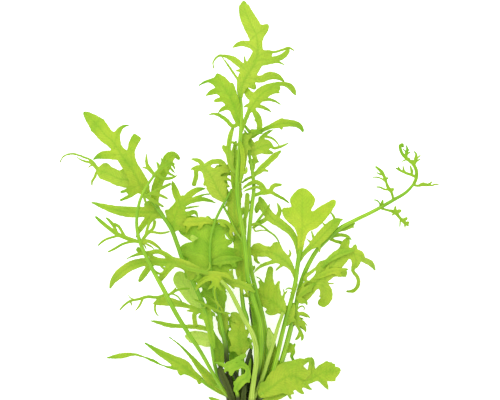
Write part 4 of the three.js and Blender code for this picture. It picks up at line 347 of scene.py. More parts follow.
        "rib": [[28.9, 68.5, 27, 1.6], [31.5, 72.8, 27.6, 1.8], [34.5, 76, 28, 2.4], [38, 79, 28.3, 4.6],
        [42, 83.3, 28.5, 5.4], [46, 87.3, 28, 5], [49.8, 90.3, 27, 2.6]],
        "lobes": [[4.9, [[47, 89.5], [48.2, 90.9]], 2, 0], [5.6, [[50, 90], [51.6, 90.4]], 1.6, 0],
        [2.6, [[35, 79.2], [32.8, 80.8]], 0.9, 1], [2.7, [[36.7, 80.4], [35.7, 84.6]], [1.2, 1.2, 0.8], 1],
        [3.9, [[42.9, 85.7], [41.1, 88.8]], [1.1, 1.1, 0.7], 1],
        [5.2, [[47, 91.2], [45.2, 93.8]], [1.2, 1.2, 0.8], 1.5],
        [3.1, [[39.7, 75.5], [39.6, 73.6]], 1.4, -1]]},
    "fern_curl_leaf": {
        "rib": [[57, 88.3, 23.4, 0.8], [55, 86.9, 23.4, 2.2], [52, 85.9, 23.5, 2.6], [49.4, 85, 23.2, 1.8],
        [47, 83.2, 22.8, 1.4], [45.2, 80, 22.4, 1.2]],
        "lobes": [[4.5, [[49.3, 82.5], [53.4, 81.9], [55.8, 80]], [1.6, 1.8, 1.7, 0.6], -2],
        [4.9, [[47.6, 79.5], [50.7, 78.6], [53.7, 77.8]], [1.4, 1.6, 1.8, 0.8], -4.5],
        [1, [[56.4, 86.6], [56.8, 85.6]], 1.2, -1]]},
    "low_right_leaf": {
        "rib": [[29, 50, 22.6, 1.8], [32, 53.2, 23.5, 7], [36.2, 57.2, 24.5, 5.6], [41, 61.5, 25.5, 6.8],
        [45.5, 66.5, 26, 8.6], [49.5, 71, 25.5, 8], [53.5, 73.2, 24.5, 5], [57.2, 73, 23, 4.5]],
        "lobes": [[3.2, [[40.5, 66], [42.2, 69.4]], 5.5, 0],
        [1.6, [[32.6, 61.2], [36.4, 64.6], [41.4, 68.8]], [1.6, 1.8, 1.6, 0.6], -0.5],
        [5.2, [[51.8, 76], [54.3, 81.2]], 4.4, -6, "round"], [6.8, [[57.3, 76], [57.9, 78]], 3, 0],
        [6.9, [[59.5, 72.5], [61.3, 70.6], [65, 68.6], [68, 64.4]], [5, 5, 3, 3, 0.6], -16], [6.9, [[58, 69],
          [56.5, 65], [59, 61], [59.2, 57.5], [57, 54.5], [53.3, 54.2]], [5, 4.5, 1.8, 1.9, 2, 1.9, 1], -14],
        [3.3, [[48, 63.6], [53.5, 63]], 4, -3, "square"],
        [1.8, [[40, 59.4], [43.6, 58.4], [46.9, 58.2]], [1, 1, 0.9, 0.6], -2], [2, [[40.8, 57.6],
          [42.9, 54.6], [43, 51.6], [41.4, 49.1], [38.9, 48.3]], [1.6, 3.4, 6, 6.6, 5.8, 3], -9],
        [0.9, [[31, 55.3], [30, 55]], 2.5, -1]]},
    "right_cluster_leaf": {
        "rib": [[27.6, 45, 21.7, 1], [28.6, 43, 22, 1.8], [28.6, 40.6, 21.6, 2], [28.6, 38, 20.6, 2],
        [29.4, 35.8, 19.2, 1.1], [30.7, 33.4, 17.6, 1.1], [31.3, 31.4, 16.4, 1.1], [30.9, 29.6, 15.4, 0.5]],
        "lobes": [[0.9, [[31, 43.3], [33.3, 42.4], [35.3, 40.7]], 1.7, -3],
        [1.5, [[30.8, 39.8], [33, 37.9], [34.1, 36.2]], 0.9, -3],
        [2.6, [[30.8, 37.9], [32.1, 36.4], [32.9, 33.5]], 2.2, -4],
        [4.4, [[29.7, 32.6], [28.8, 30.9], [27.5, 29.9]], [0.9, 1.8, 1.5, 0.5], -3],
        [0.4, [[29.4, 46.2], [31.4, 46.9], [32.3, 45.7], [31, 44.6]], 0.8, -1],
        [2.7, [[26.4, 38.6], [24, 37.8]], 1.8, -1], [1.9, [[26.8, 41.8], [25.2, 40.9]], 1.7, -1],
        [1.2, [[26.8, 43.6], [25.3, 42.7]], 1.1, -1], [0.6, [[26.4, 46.6], [25.4, 47.4]], 1, 0]]},
    "node_leaf": {
        "rib": [[21.5, 44, 27, 2], [20, 46.5, 26.5, 6], [17, 49, 22.8, 9], [13, 51, 17.8, 9],
        [9, 52.5, 15.2, 7], [5.5, 54, 14.5, 3]],
        "lobes": [[1.4, [[19, 53.6], [18.7, 56.6], [19.6, 59.6]], [3, 2.8, 2.2, 1], 0],
        [2.6, [[14.6, 57.4], [14.7, 62], [15.5, 66.8]], [5, 5, 3.6, 2.8], -1],
        [2.2, [[17.5, 54], [17, 58]], 3, -1], [3.2, [[11.5, 57], [9, 59.5]], 4, -2],
        [2, [[17, 45], [12.5, 44]], 4.5, -3], [0.9, [[22, 52.5], [21.6, 56.4]], 1, 0],
        [0.8, [[23.5, 54.5], [24.8, 55.5]], 1.1, -1], [3.4, [[10, 60.5], [7, 62]], 0.9, 0],
        [3.6, [[6.5, 55.5], [3.4, 57.6]], 2.6, -1, "round"], [4.2, [[5, 52.5], [1.6, 52]], 2.6, -1, "round"],
        [3.8, [[7, 49], [4, 48]], 2.6, -1]]},
    "low_leaf": {
        "stalk": [[9.3, 0.5, 14.3, 2.2], [10.6, 2, 15.8, 2.2], [11.6, 3.6, 17.6, 2.4]],
        "rib": [[11.6, 3.6, 17.6, 5], [15.6, 6.2, 18.6, 8.4], [19.8, 9.4, 18.4, 12],
        [24.2, 11.6, 16.4, 14.6], [28.2, 11.4, 13.6, 12.4], [31.8, 9.4, 11, 5.6], [35, 9.8, 9, 3.6],
        [38.8, 11.8, 6.8, 4.6], [43, 13.6, 4.6, 8.6], [47, 13.6, 3, 9.4], [50.4, 14.8, 1.6, 2.6]],
        "lobes": [[3.4, [[26.6, 16.6], [29.6, 18.5], [33, 19.2]], 4.6, 0.6, "round"],
        [3.9, [[28.6, 16.6], [32, 18.8], [35.6, 20.8]], 3, 0.8, "round"],
        [6.3, [[35.8, 14.4], [36, 17.6], [35.8, 21.2]], 3.4, 1.4, "round"],
        [3.2, [[24, 16], [24.5, 18]], 5, 0, "round"], [8.1, [[43.4, 17], [43.6, 19]], 3.4, 0, "round"],
        [8.9, [[47, 16.6], [48, 17.2]], 3, 0, "round"], [8.7, [[46.4, 11], [46.4, 9.4]], 4.2, -0.5, "round"],
        [6.9, [[41.2, 9.3], [44.5, 4.2]], 3.2, -4.5], [4.6, [[32.5, 7.2], [36.4, 4.6]], 2.4, -2],
        [3.8, [[29.5, 5], [32, 2.7]], 2.6, -1.5, "round"], [2.6, [[23, 6], [26.5, 3.2]], 5, -1, "round"],
        [0.5, [[11.6, 7], [10.6, 9]], 4.4, 0.4, "round"]]},
    "pale_back_leaf": {
        "stalk": [[3.5, 0.5, 5, 2], [8, 5.5, 6.5, 2]],
        "rib": [[8, 5.5, 6.5, 2.4], [11.5, 12, 8, 4.5], [14, 20, 9.2, 5.6], [15, 28, 10, 5.8],
        [14.8, 34, 10.3, 3.5]]},
    "small_right_leaf": {
        "rib": [[22.4, 24, 13.5, 1], [23.8, 24.8, 13.8, 2.8], [25, 26, 13.8, 4.6], [25.2, 28.4, 13, 1.2]],
        "lobes": [[2.2, [[27, 26.8], [27.5, 28.3]], 1.6, 0],
        [1.7, [[26.6, 24.4], [26, 21.6], [27, 19.2]], [2, 2.2, 1.6, 1], -2.4]]},
    "centre_small_leaf": {"tone": "deep",
        "stalk": [[-1, 0.5, 17.8, 1.8], [-2, 5, 20.4, 1.7]],
        "rib": [[-2, 5, 20.4, 2.2], [0.4, 9.4, 22, 4.6], [3.6, 12, 22.2, 3.4], [3.8, 15.2, 22.4, 2],
        [1.4, 17.4, 22.8, 2.6], [-2.4, 16.4, 23, 3], [-5.6, 15.2, 22.8, 2.4]],
        "lobes": [[0.6, [[-2.2, 8.4], [-3, 7.4]], 2.2, -0.5, "round"],
        [1.4, [[4, 9.8], [4.8, 8.6]], 2, -0.6, "round"],
        [5.2, [[-4.4, 13.8], [-4.2, 12]], 2.6, -0.6, "round"],
        [4.6, [[0.2, 18.4], [2.4, 19]], 2, -0.4, "round"],
        [6, [[-6.8, 17.2], [-3.4, 19.3], [-0.4, 20.8], [3.2, 22.8]], [1.6, 2, 1.9, 2.6, 2], 0.6],
        [6, [[-8, 17.4], [-10.4, 18.4], [-13, 18.8]], [1.4, 1.8, 1.4, 0.6], -1],
        [5.7, [[-7, 15.4], [-7.6, 13.6]], 1.8, -0.5, "round"]]},
    "middle_leaf": {
        "stalk": [[1, 0.5, 8.5, 2], [1.5, 12, 12.5, 2], [1, 22, 15.5, 1.9]],
        "rib": [[1, 22, 15.5, 2.2], [0.2, 26, 17, 6.4], [-0.6, 30.5, 18, 8.6], [-0.8, 34.5, 18.6, 7],
        [0.2, 37.6, 19, 4], [1, 40.4, 19, 1.2]],
        "lobes": [[1.1, [[-3.6, 25.6], [-5.2, 24]], 3.4, -1, "round"],
        [2, [[-4, 32], [-5.4, 34.4]], 3.6, -1, "round"], [1.4, [[3.2, 27], [4.2, 29]], 3.4, -1, "round"],
        [2.4, [[2.6, 33], [4.4, 35.4]], 2.8, -1, "round"], [3.2, [[-3.2, 37], [-4.4, 39.4]], 3, -1]]},
    "fern_leaflet_1": {
        "rib": [[76.8, 100, 15.5, 0.9], [75.9, 103.8, 15.8, 1.1], [74.4, 106, 15.7, 1.4],
        [73.3, 108.8, 15.1, 1], [72.6, 111, 14.3, 1.2], [71.3, 113.7, 13.2, 1.4], [68, 116.8, 11.5, 0.7]],
        "lobes": [[1.6, [[72.6, 105.3], [70.2, 106.4], [68.3, 106.5]], [1, 1, 0.9, 0.7], -3],
        [1.7, [[76.2, 105.2], [77, 106]], [1.6, 1.8, 1.6], 0, "round"],
        [3, [[69.8, 111.2], [66.4, 111.4]], [0.8, 0.8, 0.6], -3],
        [3.9, [[73.7, 110.9], [74.4, 111.1]], [1.2, 1.2, 1], 0],
        [4.6, [[70.4, 112.9], [68.4, 113.9]], [0.9, 0.9, 0.6], -1],
        [5, [[71.4, 114.2], [71.5, 114.8]], [1.2, 1.2, 1], 0]]},
    "fern_leaflet_2": {
        "rib": [[70.2, 95.9, 18.6, 0.8], [74, 94.9, 18, 0.9], [77.5, 93.9, 16.5, 1.6], [80.2, 91, 14.5, 1.2],
        [82.4, 88.8, 12.5, 1.4], [84.6, 87.2, 10.5, 1]],
        "lobes": [[2, [[77.7, 95.2], [77.8, 97.1]], [1.3, 1.4, 0.9], 1],
        [2, [[79.2, 94.3], [80.9, 94.9]], [1.8, 2, 1.7], 0, "round"],
        [3.4, [[82.4, 90.2], [84, 91.3]], [1.4, 1.6, 1.4], 0, "round"],
        [4.4, [[84.2, 88.6], [85.1, 88.6]], [1.4, 1.5, 1.3], 0, "round"],
        [3.1, [[80.3, 88.8], [80.2, 86.4]], [0.8, 0.8, 0.6], -2],
        [4.1, [[82.7, 87.6], [82.9, 85.9]], [0.8, 0.9, 0.6], -2],
        [2.2, [[77, 93], [76.2, 92.2]], [0.9, 0.9, 0.9], -1]]},
    "fern_leaflet_3": {
        "rib": [[86.9, 107.5, 10.2, 1], [89.5, 107.2, 9.8, 1.3], [92, 107.9, 8.5, 2], [94, 107.6, 7, 1.6],
        [96.7, 109.3, 4, 0.7]],
        "lobes": [[3, [[96, 107.3], [98, 107.8], [100.2, 107.9]], [1, 0.9, 0.9, 0.6], -6.75]]},
    "fern_tip": {
        "rib": [[87.4, 108.3, 10, 1.4], [88.6, 111.5, 9.6, 1.3], [88.5, 115, 9.2, 1.3], [87, 118, 8.8, 1.3],
        [84.3, 120.4, 8.4, 1.2], [82, 122.6, 8, 1.1], [80.7, 125.3, 7.6, 1.1], [80.6, 127.3, 7.3, 1.2],
        [81.6, 127.9, 7, 1], [81.9, 126.6, 6.8, 0.7]],
        "lobes": [
        [1, [[86.5, 112.4], [83.1, 113.8], [80.2, 115], [78.2, 116.2]], [1.3, 1.2, 1.2, 1.1, 0.7], -3],
        [1, [[86.5, 112.4], [86.3, 114.5], [85.4, 117.5]], [1.2, 1.1, 1.5, 0.5], -1],
        [1, [[86.3, 112.5], [82.8, 113.9], [81.9, 117.2]], [1.1, 1, 1.2, 0.6], -1],
        [1, [[84, 113.4], [80.6, 114.9], [79.5, 117]], [1, 1, 1, 0.6], -1],
        [2.8, [[87.9, 118.6], [88.1, 120.9], [88.6, 122.6], [87.4, 124.6]], [1, 1.1, 1.4, 1.3, 0.6], -1],
        [2.7, [[88.1, 118.6], [90.8, 120.7]], [0.9, 0.9, 0.7], -1],
        [2.8, [[88.1, 119.8], [90.8, 122.5]], [0.9, 0.9, 0.7], -1],
        [2.9, [[87.6, 119.3], [85.9, 119.9]], [1, 1, 0.7], 0],
        [4.2, [[83.5, 122.8], [84, 125.2], [83.6, 127.6]], [1.3, 1.5, 1.3, 0.6], 0],
        [4.3, [[83.7, 122.6], [85.7, 124.1]], [0.9, 0.9, 0.7], 0],
        [4.3, [[83.9, 124.2], [85, 125.5]], [0.9, 0.9, 0.7], 0],
        [4.4, [[83.4, 123.8], [81.8, 125.8]], [0.7, 0.6, 0.6], 0],
        [3.9, [[84.9, 120.9], [85.2, 121.3]], [1.2, 1.2, 1], 0],
        [4, [[82.8, 120], [81.3, 119.3]], [0.7, 0.7, 0.5], -1]]},
}
crownShoots = [
    [[-3.4, -1, 16.4, 3.2], [-6.4, 7, 21.6, 3.2], [-10.3, 16, 23.2, 2.4]],
    [[1.2, -1, 13, 3.4], [0.8, 6, 15, 3.2], [0.3, 10.5, 16, 2.6]],
    [[1.5, -1, 17, 2.8], [2, 4, 19.2, 2.4], [2.3, 7.5, 20, 1.6]],
    [[9, -4, 13.5, 2.4], [15, 0, 15, 4.4], [20, 2, 15, 3.6], [25, 3.2, 14.5, 0.6]],
    [[-5, -4.5, 11.5, 2.2], [-12, -1, 12.5, 3], [-16, 1, 12, 0.6]],
]
# Leaves and old stalks between the stems, in the same form
innerLeaves = {
    "tall_strap": {
        "rib": [[-1.4, 106, 30, 1.4], [-0.8, 110, 30.4, 3.6], [0.4, 117, 30.7, 4.8], [1.3, 124, 30.9, 5],
        [1.8, 129.5, 30.6, 4.6], [2.4, 133.4, 30, 1.6]],
        "lobes": [[1, [[-3.4, 114], [-3.9, 119.4], [-3, 126.6]], 2.2, 0],
        [3.2, [[3.6, 126.6], [5.6, 124.6]], 2, -2], [3.6, [[-1.6, 127.8], [-4.4, 128.9]], 1.6, -1],
        [4.2, [[4.2, 131.5], [6.4, 133.4]], 2.4, -1]]},
    "stem_column": {
        "rib": [[-1.2, 82, 20.6, 2.6], [-2, 88, 21.6, 4.8], [-2.8, 94.5, 22.4, 6.6], [-2.6, 100.5, 23, 6.2],
        [-1.4, 106, 23.4, 4.4], [-0.6, 112, 23.4, 0.8]],
        "lobes": [[2.3, [[-5.6, 98.2], [-7.6, 96.6]], 2.6, -1], [1.6, [[0.4, 93], [1.6, 97]], 2.2, -1],
        [1.2, [[-4.4, 92.4], [-4.4, 94.6]], 2, -1], [3.4, [[0.2, 101.5], [0.9, 103.6]], 1.6, -1]]},
    "column_side": {
        "rib": [[2.6, 83, 25.6, 1.2], [2.4, 88, 26.2, 1.8], [2.7, 93, 26.6, 1.8], [3.5, 98.5, 27.2, 2.4],
        [3.7, 103.6, 27.4, 2.2]],
        "lobes": [[1.4, [[4, 94.4], [4.6, 98.2]], 1.2, 0]]},
    "high_back": {
        "rib": [[-5.6, 100.5, 24.6, 2], [-7.6, 103.5, 25, 4], [-9.6, 107.5, 25.2, 4.4], [-10, 112, 25.2, 7],
        [-9.4, 116.4, 25, 4.6], [-8.8, 118.4, 24.8, 1.4]],
        "lobes": [[1.5, [[-6.6, 106.8], [-4.9, 106.2]], 1.3, -1], [2.2, [[-7, 109], [-6, 107.8]], 1.4, -1],
        [3, [[-5.4, 113.4], [-3.2, 111.8]], 2.6, -1], [3.6, [[-6, 116.8], [-3.6, 115]], 2.2, -1],
        [2.2, [[-13, 109.6], [-16.9, 110.4]], 3, -1], [1.3, [[-10.6, 104], [-14, 105.6]], 2.4, -1],
        [3.2, [[-13.6, 114.6], [-16, 115]], 3, -1]]},
    "upper_knot": {
        "rib": [[2.8, 130.6, 28.4, 1.4], [5.2, 132.6, 29, 2.4], [8, 134, 29, 2.4], [11.2, 133.2, 28.4, 0.8]],
        "lobes": [[1.2, [[5.6, 134.4], [7, 135.3]], 1.4, 0.5], [2, [[9.4, 135.2], [10.2, 136.4]], 1.2, 0],
        [0.8, [[3, 133.4], [2.2, 135.4]], 1.2, 0]]},
    "column_strip": {
        "rib": [[-3.4, 107, 29, 1.8], [-3.2, 113, 29.4, 3], [-3, 120, 29.8, 3.2], [-2.6, 126, 29.8, 2.4],
        [-2, 129.6, 29.6, 0.8]]},
    "stem_strip": {"tone": "warm",
        "rib": [[0.2, 129, 33.8, 1], [1.2, 124, 34, 2.2], [1.4, 118, 33.8, 2.2], [0.6, 112, 33.4, 1.4],
        [0, 108, 33, 0.6]],
        "lobes": [[2.6, [[2.4, 113.6], [3.4, 117]], 1.5, 0]]},
    "fork_fill": {
        "rib": [[3.4, 131.6, 26.6, 1.4], [5.4, 128.4, 26.8, 3.2], [6.4, 125, 26.6, 2.6],
        [6.6, 122, 26.2, 0.8]]},
    "knot_strip": {"tone": "deep",
        "rib": [[1.8, 138.2, 30, 0.6], [3.2, 136, 30, 1.4], [4.8, 133.6, 29.6, 1.2]]},
    "side_knot": {
        "rib": [[6.2, 113.5, 26, 1.2], [6.2, 116.6, 26.4, 2.8], [6.6, 119, 26.2, 3.2],
        [8.4, 119.3, 25.6, 1.8], [9.5, 118.8, 25, 0.6]],
        "lobes": [[1.6, [[4.8, 118.8], [4.7, 120.4]], 1.4, 0]]},
    "node_left": {"tone": "warm",
        "rib": [[-13, 88.3, 24.2, 1.6], [-17, 89.7, 24.6, 3], [-22, 89.2, 24.6, 4.2], [-27, 89, 24.2, 4],
        [-31.8, 88.4, 23.4, 1]],
        "lobes": [[1.1, [[-16.4, 91.2], [-16.2, 92]], 1.8, 0], [2.4, [[-25.6, 87], [-26.8, 83.2]], 1.8, -3],
        [1.4, [[-19.4, 87.4], [-21.6, 85]], 1.8, -2]]},
    "node_right": {"tone": "warm",
        "rib": [[-12.6, 88.8, 24.6, 1.2], [-9.6, 89.7, 25, 1.5], [-6.8, 88.8, 24.8, 1.8],
        [-4.2, 86.2, 24.2, 1.7], [-1.6, 82.6, 23.4, 0.6]],
        "lobes": [[0.7, [[-9, 87.8], [-6.4, 86.4]], 1.6, -1], [3, [[-4.6, 83.2], [-3.2, 80.8]], 1.6, -2]]},
    "middle_column": {
        "rib": [[1.4, 57, 16.2, 2.6], [0.9, 63, 17, 5.4], [0.4, 70, 17.6, 6.6], [0, 77, 18.2, 6.2],
        [-0.4, 83.5, 18.6, 4.4], [-0.9, 89, 18.8, 1]],
        "lobes": [[2.2, [[3.6, 72.4], [5, 75]], 2.4, 0], [1, [[4, 64.8], [6.8, 65.6], [7.4, 67.4]], 2.4, 0],
        [3, [[-2.6, 80], [-4, 82.6]], 2.6, 0], [1.6, [[-2.4, 67.4], [-3.6, 65.4]], 2.4, 0]]},
    "deep_left": {"tone": "deep",
        "rib": [[-15.6, 56, 17.4, 2.4], [-19, 61.5, 17.8, 8], [-22.6, 66.5, 17.8, 11],
        [-25.4, 71.4, 17.4, 9], [-27, 75, 17, 4.4], [-27.8, 77, 16.6, 0.8]],
        "lobes": [[2.4, [[-28.4, 69.4], [-31.6, 68.6]], 4, -1], [1.8, [[-25.6, 63.4], [-27, 60.4]], 4, -1],
        [3.2, [[-29.2, 74], [-31, 75]], 3, -1], [1.2, [[-20, 57.4], [-22.4, 55.6]], 3, -1]]},
    "pale_flap": {"tone": "pale",
        "rib": [[-20.9, 80.9, 24.4, 0.6], [-22.6, 80.9, 24.2, 2.2], [-24.8, 80.7, 23.4, 4.4]]},
    "fold_leaf": {"tone": "deep",
        "rib": [[1, 70.4, 20.6, 1.2], [-3.6, 70.4, 21.6, 3.4], [-8.6, 69.8, 22, 4.2], [-13, 68.6, 21.6, 2.6],
        [-14.6, 67.8, 21.2, 0.8]],
        "lobes": [[1.4, [[-3, 67.6], [-1.2, 65.8]], 2.4, -1], [2.4, [[-10, 67], [-9.6, 65.4]], 2, -1]]},
    "deep_middle": {"tone": "deep",
        "rib": [[-9, 43, 15.2, 2.2], [-11.2, 47.4, 15.6, 7.4], [-12.4, 52.6, 16, 10.4],
        [-13.6, 58, 16.2, 11.4], [-14.8, 63.5, 16.2, 8], [-15.4, 68, 16, 1.4]],
        "lobes": [[1.2, [[-15.4, 47.6], [-17.6, 46.4]], 3.4, -1], [2, [[-17.8, 53], [-20.4, 52.2]], 4, -1],
        [1.8, [[-8.4, 51.6], [-7.2, 50]], 4, -1], [2.9, [[-9, 57], [-7.2, 56.2]], 4, -1],
        [3, [[-18, 58.6], [-20.8, 58.6]], 4, -1]]},
    "centre_band": {
        "rib": [[-9.5, 60.4, 31.5, 1.4], [-6, 59.6, 30.6, 2.6], [-2, 58.6, 30, 3.6], [1.8, 57.4, 29.6, 3.4],
        [5.2, 55.6, 29, 2], [7.4, 54, 28.4, 0.6]],
        "lobes": [[1.2, [[-3.8, 57.2], [-2.6, 55.4]], 1.8, -2], [2.1, [[-0.4, 60.6], [0.6, 62.6]], 1.6, -1],
        [2.5, [[1, 54.6], [0.2, 51.6]], 1.4, -3], [3.1, [[5.6, 57.8], [7.4, 58.4]], 1.4, -1],
        [2.9, [[3.4, 54], [4.4, 51.4]], 1.2, -2], [1.4, [[-4.8, 62.4], [-3.6, 65.6]], 2.8, -1]]},
    "high_arc": {
        "rib": [[-31, 69.2, 36.6, 1], [-27.4, 66.6, 37.2, 1.8], [-23, 65.2, 37.6, 2], [-19, 64.4, 37.6, 1.8],
        [-15.4, 63.2, 37.4, 1.2]],
        "lobes": [[3.4, [[-15, 66.4], [-15.4, 69.6]], 1, -0.5],
        [2.2, [[-20.6, 62], [-23.4, 59.8]], 1.2, -2]]},
    "cross_stalk": {
        "rib": [[14.8, 97.8, 24.6, 0.6], [11.6, 93.2, 24.4, 1.2], [8.8, 89.4, 23.8, 1.3],
        [6.2, 85.8, 23, 0.8]]},
    "broad_side": {"tone": "deep",
        "rib": [[-9.4, 88, 20.6, 1.6], [-6.8, 85.4, 21, 3.8], [-5, 82.4, 21, 3.4], [-3.4, 79.4, 20.4, 1.2]]},
    "gap_leaf": {"tone": "deep",
        "rib": [[-6.4, 35.5, 12.4, 1.2], [-6, 31, 12.8, 3], [-5.6, 26.6, 12.8, 3.2], [-5.2, 23, 12.4, 1.4]]},
    "cluster_spray": {
        "rib": [[25.6, 45, 18.6, 0.9], [27.2, 42.2, 18.8, 1.8], [28.8, 39.4, 18.6, 2], [30.8, 36.8, 18, 1.6],
        [32.6, 34.8, 17.2, 0.6]],
        "lobes": [[0.8, [[29, 43], [31.4, 42.6], [33.8, 41.2]], [0.9, 1.5, 1.5, 0.5], -0.6],
        [1.4, [[30.2, 40.8], [32.2, 40.2]], 1.1, -0.5], [2.2, [[31.2, 39.4], [33, 37.6]], 1, -0.5],
        [1.2, [[26, 40.8], [24.6, 40]], 1.2, -0.5], [2, [[27.4, 38], [26.2, 36.4]], 1.4, -0.5]]},
    "fountain_arc": {"tone": "warm",
        "rib": [[-15.5, 63.6, 37.3, 1.8], [-12, 63.6, 37.6, 1.8], [-8.6, 62.9, 37.4, 1.6],
        [-5.6, 61.6, 36.8, 1.4], [-3.6, 59.8, 36, 0.5]],
        "lobes": [[1.6, [[-9.6, 61], [-7.4, 59.8]], 1, -2],
        [0.8, [[-13.6, 61], [-16.6, 60.2], [-19.6, 58.2], [-21.8, 54.6]], 1.6, -4],
        [0.6, [[-13, 58.8], [-10, 57.4], [-6.6, 55.8]], 1.1, -4]]},
    "fountain_sprig": {
        "rib": [[-22.4, 50, 23.4, 0.5], [-19, 48.6, 24, 0.9], [-15.6, 46.8, 24.2, 1], [-12, 45, 24, 1],
        [-8.4, 43.8, 23.4, 0.9], [-5, 43.2, 22.6, 0.5]],
        "lobes": [[1.4, [[-17.4, 46.6], [-19.4, 46.2]], 0.7, 0],
        [2.2, [[-14.6, 43.8], [-13.6, 41.4]], 0.9, -1],
        [3.2, [[-11, 46.8], [-14, 50.4], [-18.4, 53.4]], 0.9, 1],
        [4, [[-9.6, 46.4], [-12.2, 50], [-12.6, 55]], 0.8, 2], [4.4, [[-6, 42.2], [-5.4, 40.8]], 0.7, -1]]},
    "stem_side_leaf": {"tone": "deep",
        "rib": [[-17.6, 46.8, 20.6, 1.4], [-16.6, 43.4, 21, 5.2], [-15.6, 39, 20.8, 4],
        [-14.8, 34.4, 20.4, 3.2], [-13.8, 29.6, 20, 2.8], [-12.8, 25.4, 19.6, 0.8]],
        "lobes": [[0.9, [[-19, 44.6], [-20.8, 44]], 2.6, -1], [1.1, [[-19, 41.8], [-21, 41.4]], 3.2, -1],
        [1.2, [[-13.4, 43], [-12.4, 41.6]], 2, 0]]},
    "low_deep_leaf": {"tone": "deep",
        "rib": [[-9.6, 16.5, 11.6, 2.4], [-10.2, 20.4, 12.2, 4.8], [-10.8, 24.8, 13, 6.2],
        [-12.2, 28.8, 13.6, 4.4], [-13.2, 32.4, 14, 2], [-13.7, 35, 14, 0.7]],
        "lobes": [[1.8, [[-8.4, 26.4], [-7.4, 27.4]], 2.4, 0], [0.7, [[-12, 18.6], [-13, 18.2]], 1.6, 0]]},
    "inner_leaf_left": {
        "rib": [[-7.6, 30, 15.4, 1.2], [-8.6, 34, 15.8, 4], [-8.6, 38, 16.2, 5.2], [-7.8, 41.4, 16.4, 4],
        [-6.6, 44, 16.4, 1]],
        "lobes": [[2, [[-11, 40.4], [-12.2, 42.2]], 2.2, 0], [1.5, [[-6.2, 36], [-5.4, 37.6]], 2, 0]]},
    "inner_leaf_right": {"tone": "deep",
        "rib": [[-1.6, 33.5, 14.4, 1.6], [-3, 37, 15, 4.2], [-3.6, 40.4, 15.4, 4.4], [-3.4, 43, 15.4, 1.4]],
        "lobes": [[1.6, [[-5.4, 40.4], [-5.8, 41.4]], 1.6, 0], [1.2, [[-0.6, 39.4], [0.8, 41.4]], 2.2, 0]]},
    "foot_curl": {"tone": "deep",
        "rib": [[0.6, 23.2, 14.8, 1], [2.2, 25.4, 15.8, 3], [3.8, 28, 16.2, 3.8], [4.4, 31, 16, 1]],
        "lobes": [[1.4, [[1.6, 28], [1, 29.6]], 2.2, 0], [1.8, [[5.6, 26.4], [6.2, 25]], 2, -0.5],
        [2.3, [[5.8, 29.4], [6.4, 30.6]], 1.6, 0]]},
    "foot_hook": {
        "rib": [[3.2, 9.4, 15, 1], [3.8, 12, 15.8, 1.8], [4.6, 15, 16.2, 1.7], [5, 18, 16.2, 1.3],
        [5.3, 20.6, 16, 0.5]],
        "lobes": [[1.4, [[5.4, 11.6], [6, 10]], 1, -0.5]]},
    "lap_leaf": {
        "rib": [[1.6, 37.6, 18.6, 1.4], [-0.4, 40, 19.2, 4.4], [-2.4, 42, 19.4, 4], [-4.6, 43.4, 19.2, 1.4]],
        "lobes": [[1.4, [[-3.2, 39.8], [-4.6, 40.6]], 1.8, -0.5], [1, [[1.6, 41.6], [2.4, 43]], 1.6, -0.5]]},
    "olive_leaf": {"tone": "deep",
        "rib": [[9, 24, 11.4, 1.6], [8.6, 29, 12, 3.6], [8, 35, 12.6, 4.6], [7.2, 41, 13, 4],
        [6.5, 46.5, 13.2, 3.6], [5.8, 51.5, 13.4, 3.6], [4.8, 56, 13.4, 1.2]],
        "lobes": [[2.6, [[10.4, 38.4], [11.2, 40.4]], 2.4, 0]]},
    "foot_back": {"tone": "warm",
        "rib": [[12, 1, 4.6, 4], [14, 7, 5.4, 8], [15, 14, 6, 9.6], [15.2, 21, 6.6, 8], [15, 28, 8.4, 5.6],
        [14.6, 32, 9, 4], [14.3, 36, 9, 1.4]]},
    "left_foot": {
        "rib": [[-8, 3.4, 9, 3], [-11.6, 7.2, 9.2, 5], [-15, 10, 9, 5], [-18, 12.2, 8.8, 3],
        [-19.8, 13, 8.6, 0.8]]},
    "node_foot": {
        "rib": [[26.8, 48, 23.6, 1.2], [25.8, 45, 23.8, 3.6], [24.8, 42, 23.4, 4.4], [24, 39, 22.8, 2.8],
        [23.4, 37, 22, 0.8]],
        "lobes": [[1.6, [[21.6, 44.2], [19.4, 43.4]], 2.6, -1], [2.3, [[26.6, 40], [28.4, 38.6]], 2, -1],
        [1.2, [[22.6, 46.4], [20.6, 46]], 2.4, -1]]},
    "right_loop": {
        "rib": [[28.2, 58, 26, 1.2], [27.4, 55, 26.4, 1.2], [26.4, 52.4, 26.2, 1], [25.4, 49.8, 25.6, 0.6]],
        "lobes": [[0.9, [[26, 55.6], [24, 56], [22.4, 54.8]], 0.9, 0],
        [1.6, [[25.4, 53.8], [24.4, 54]], 0.6, 0]]},
    "right_spray": {
        "rib": [[28.4, 50.5, 24.2, 0.9], [30.2, 52.4, 25.4, 2], [32.4, 54.6, 26, 3], [35, 56.6, 26, 2.4],
        [37.4, 58.6, 25.4, 0.8]],
        "lobes": [[0.8, [[31, 55.6], [31.8, 57]], 1.6, 0.5],
        [1.4, [[31.6, 57.6], [33.4, 59.4], [36.2, 59]], 1.3, 0], [0.5, [[30.4, 50.6], [33, 50]], 1.8, -1],
        [0.4, [[30, 49.4], [32.8, 49], [33.6, 47]], 2, -2], [2.2, [[35.2, 54.6], [36.6, 54.4]], 1.4, -1]]},
    "right_fold": {"tone": "deep",
        "rib": [[41.4, 66.6, 27, 1], [44.6, 70.2, 27.6, 2.6], [48.8, 73, 27.4, 3.8], [53, 74.3, 26.6, 3.2],
        [57.2, 75, 25.6, 1]]},
    "right_lap": {"tone": "warm",
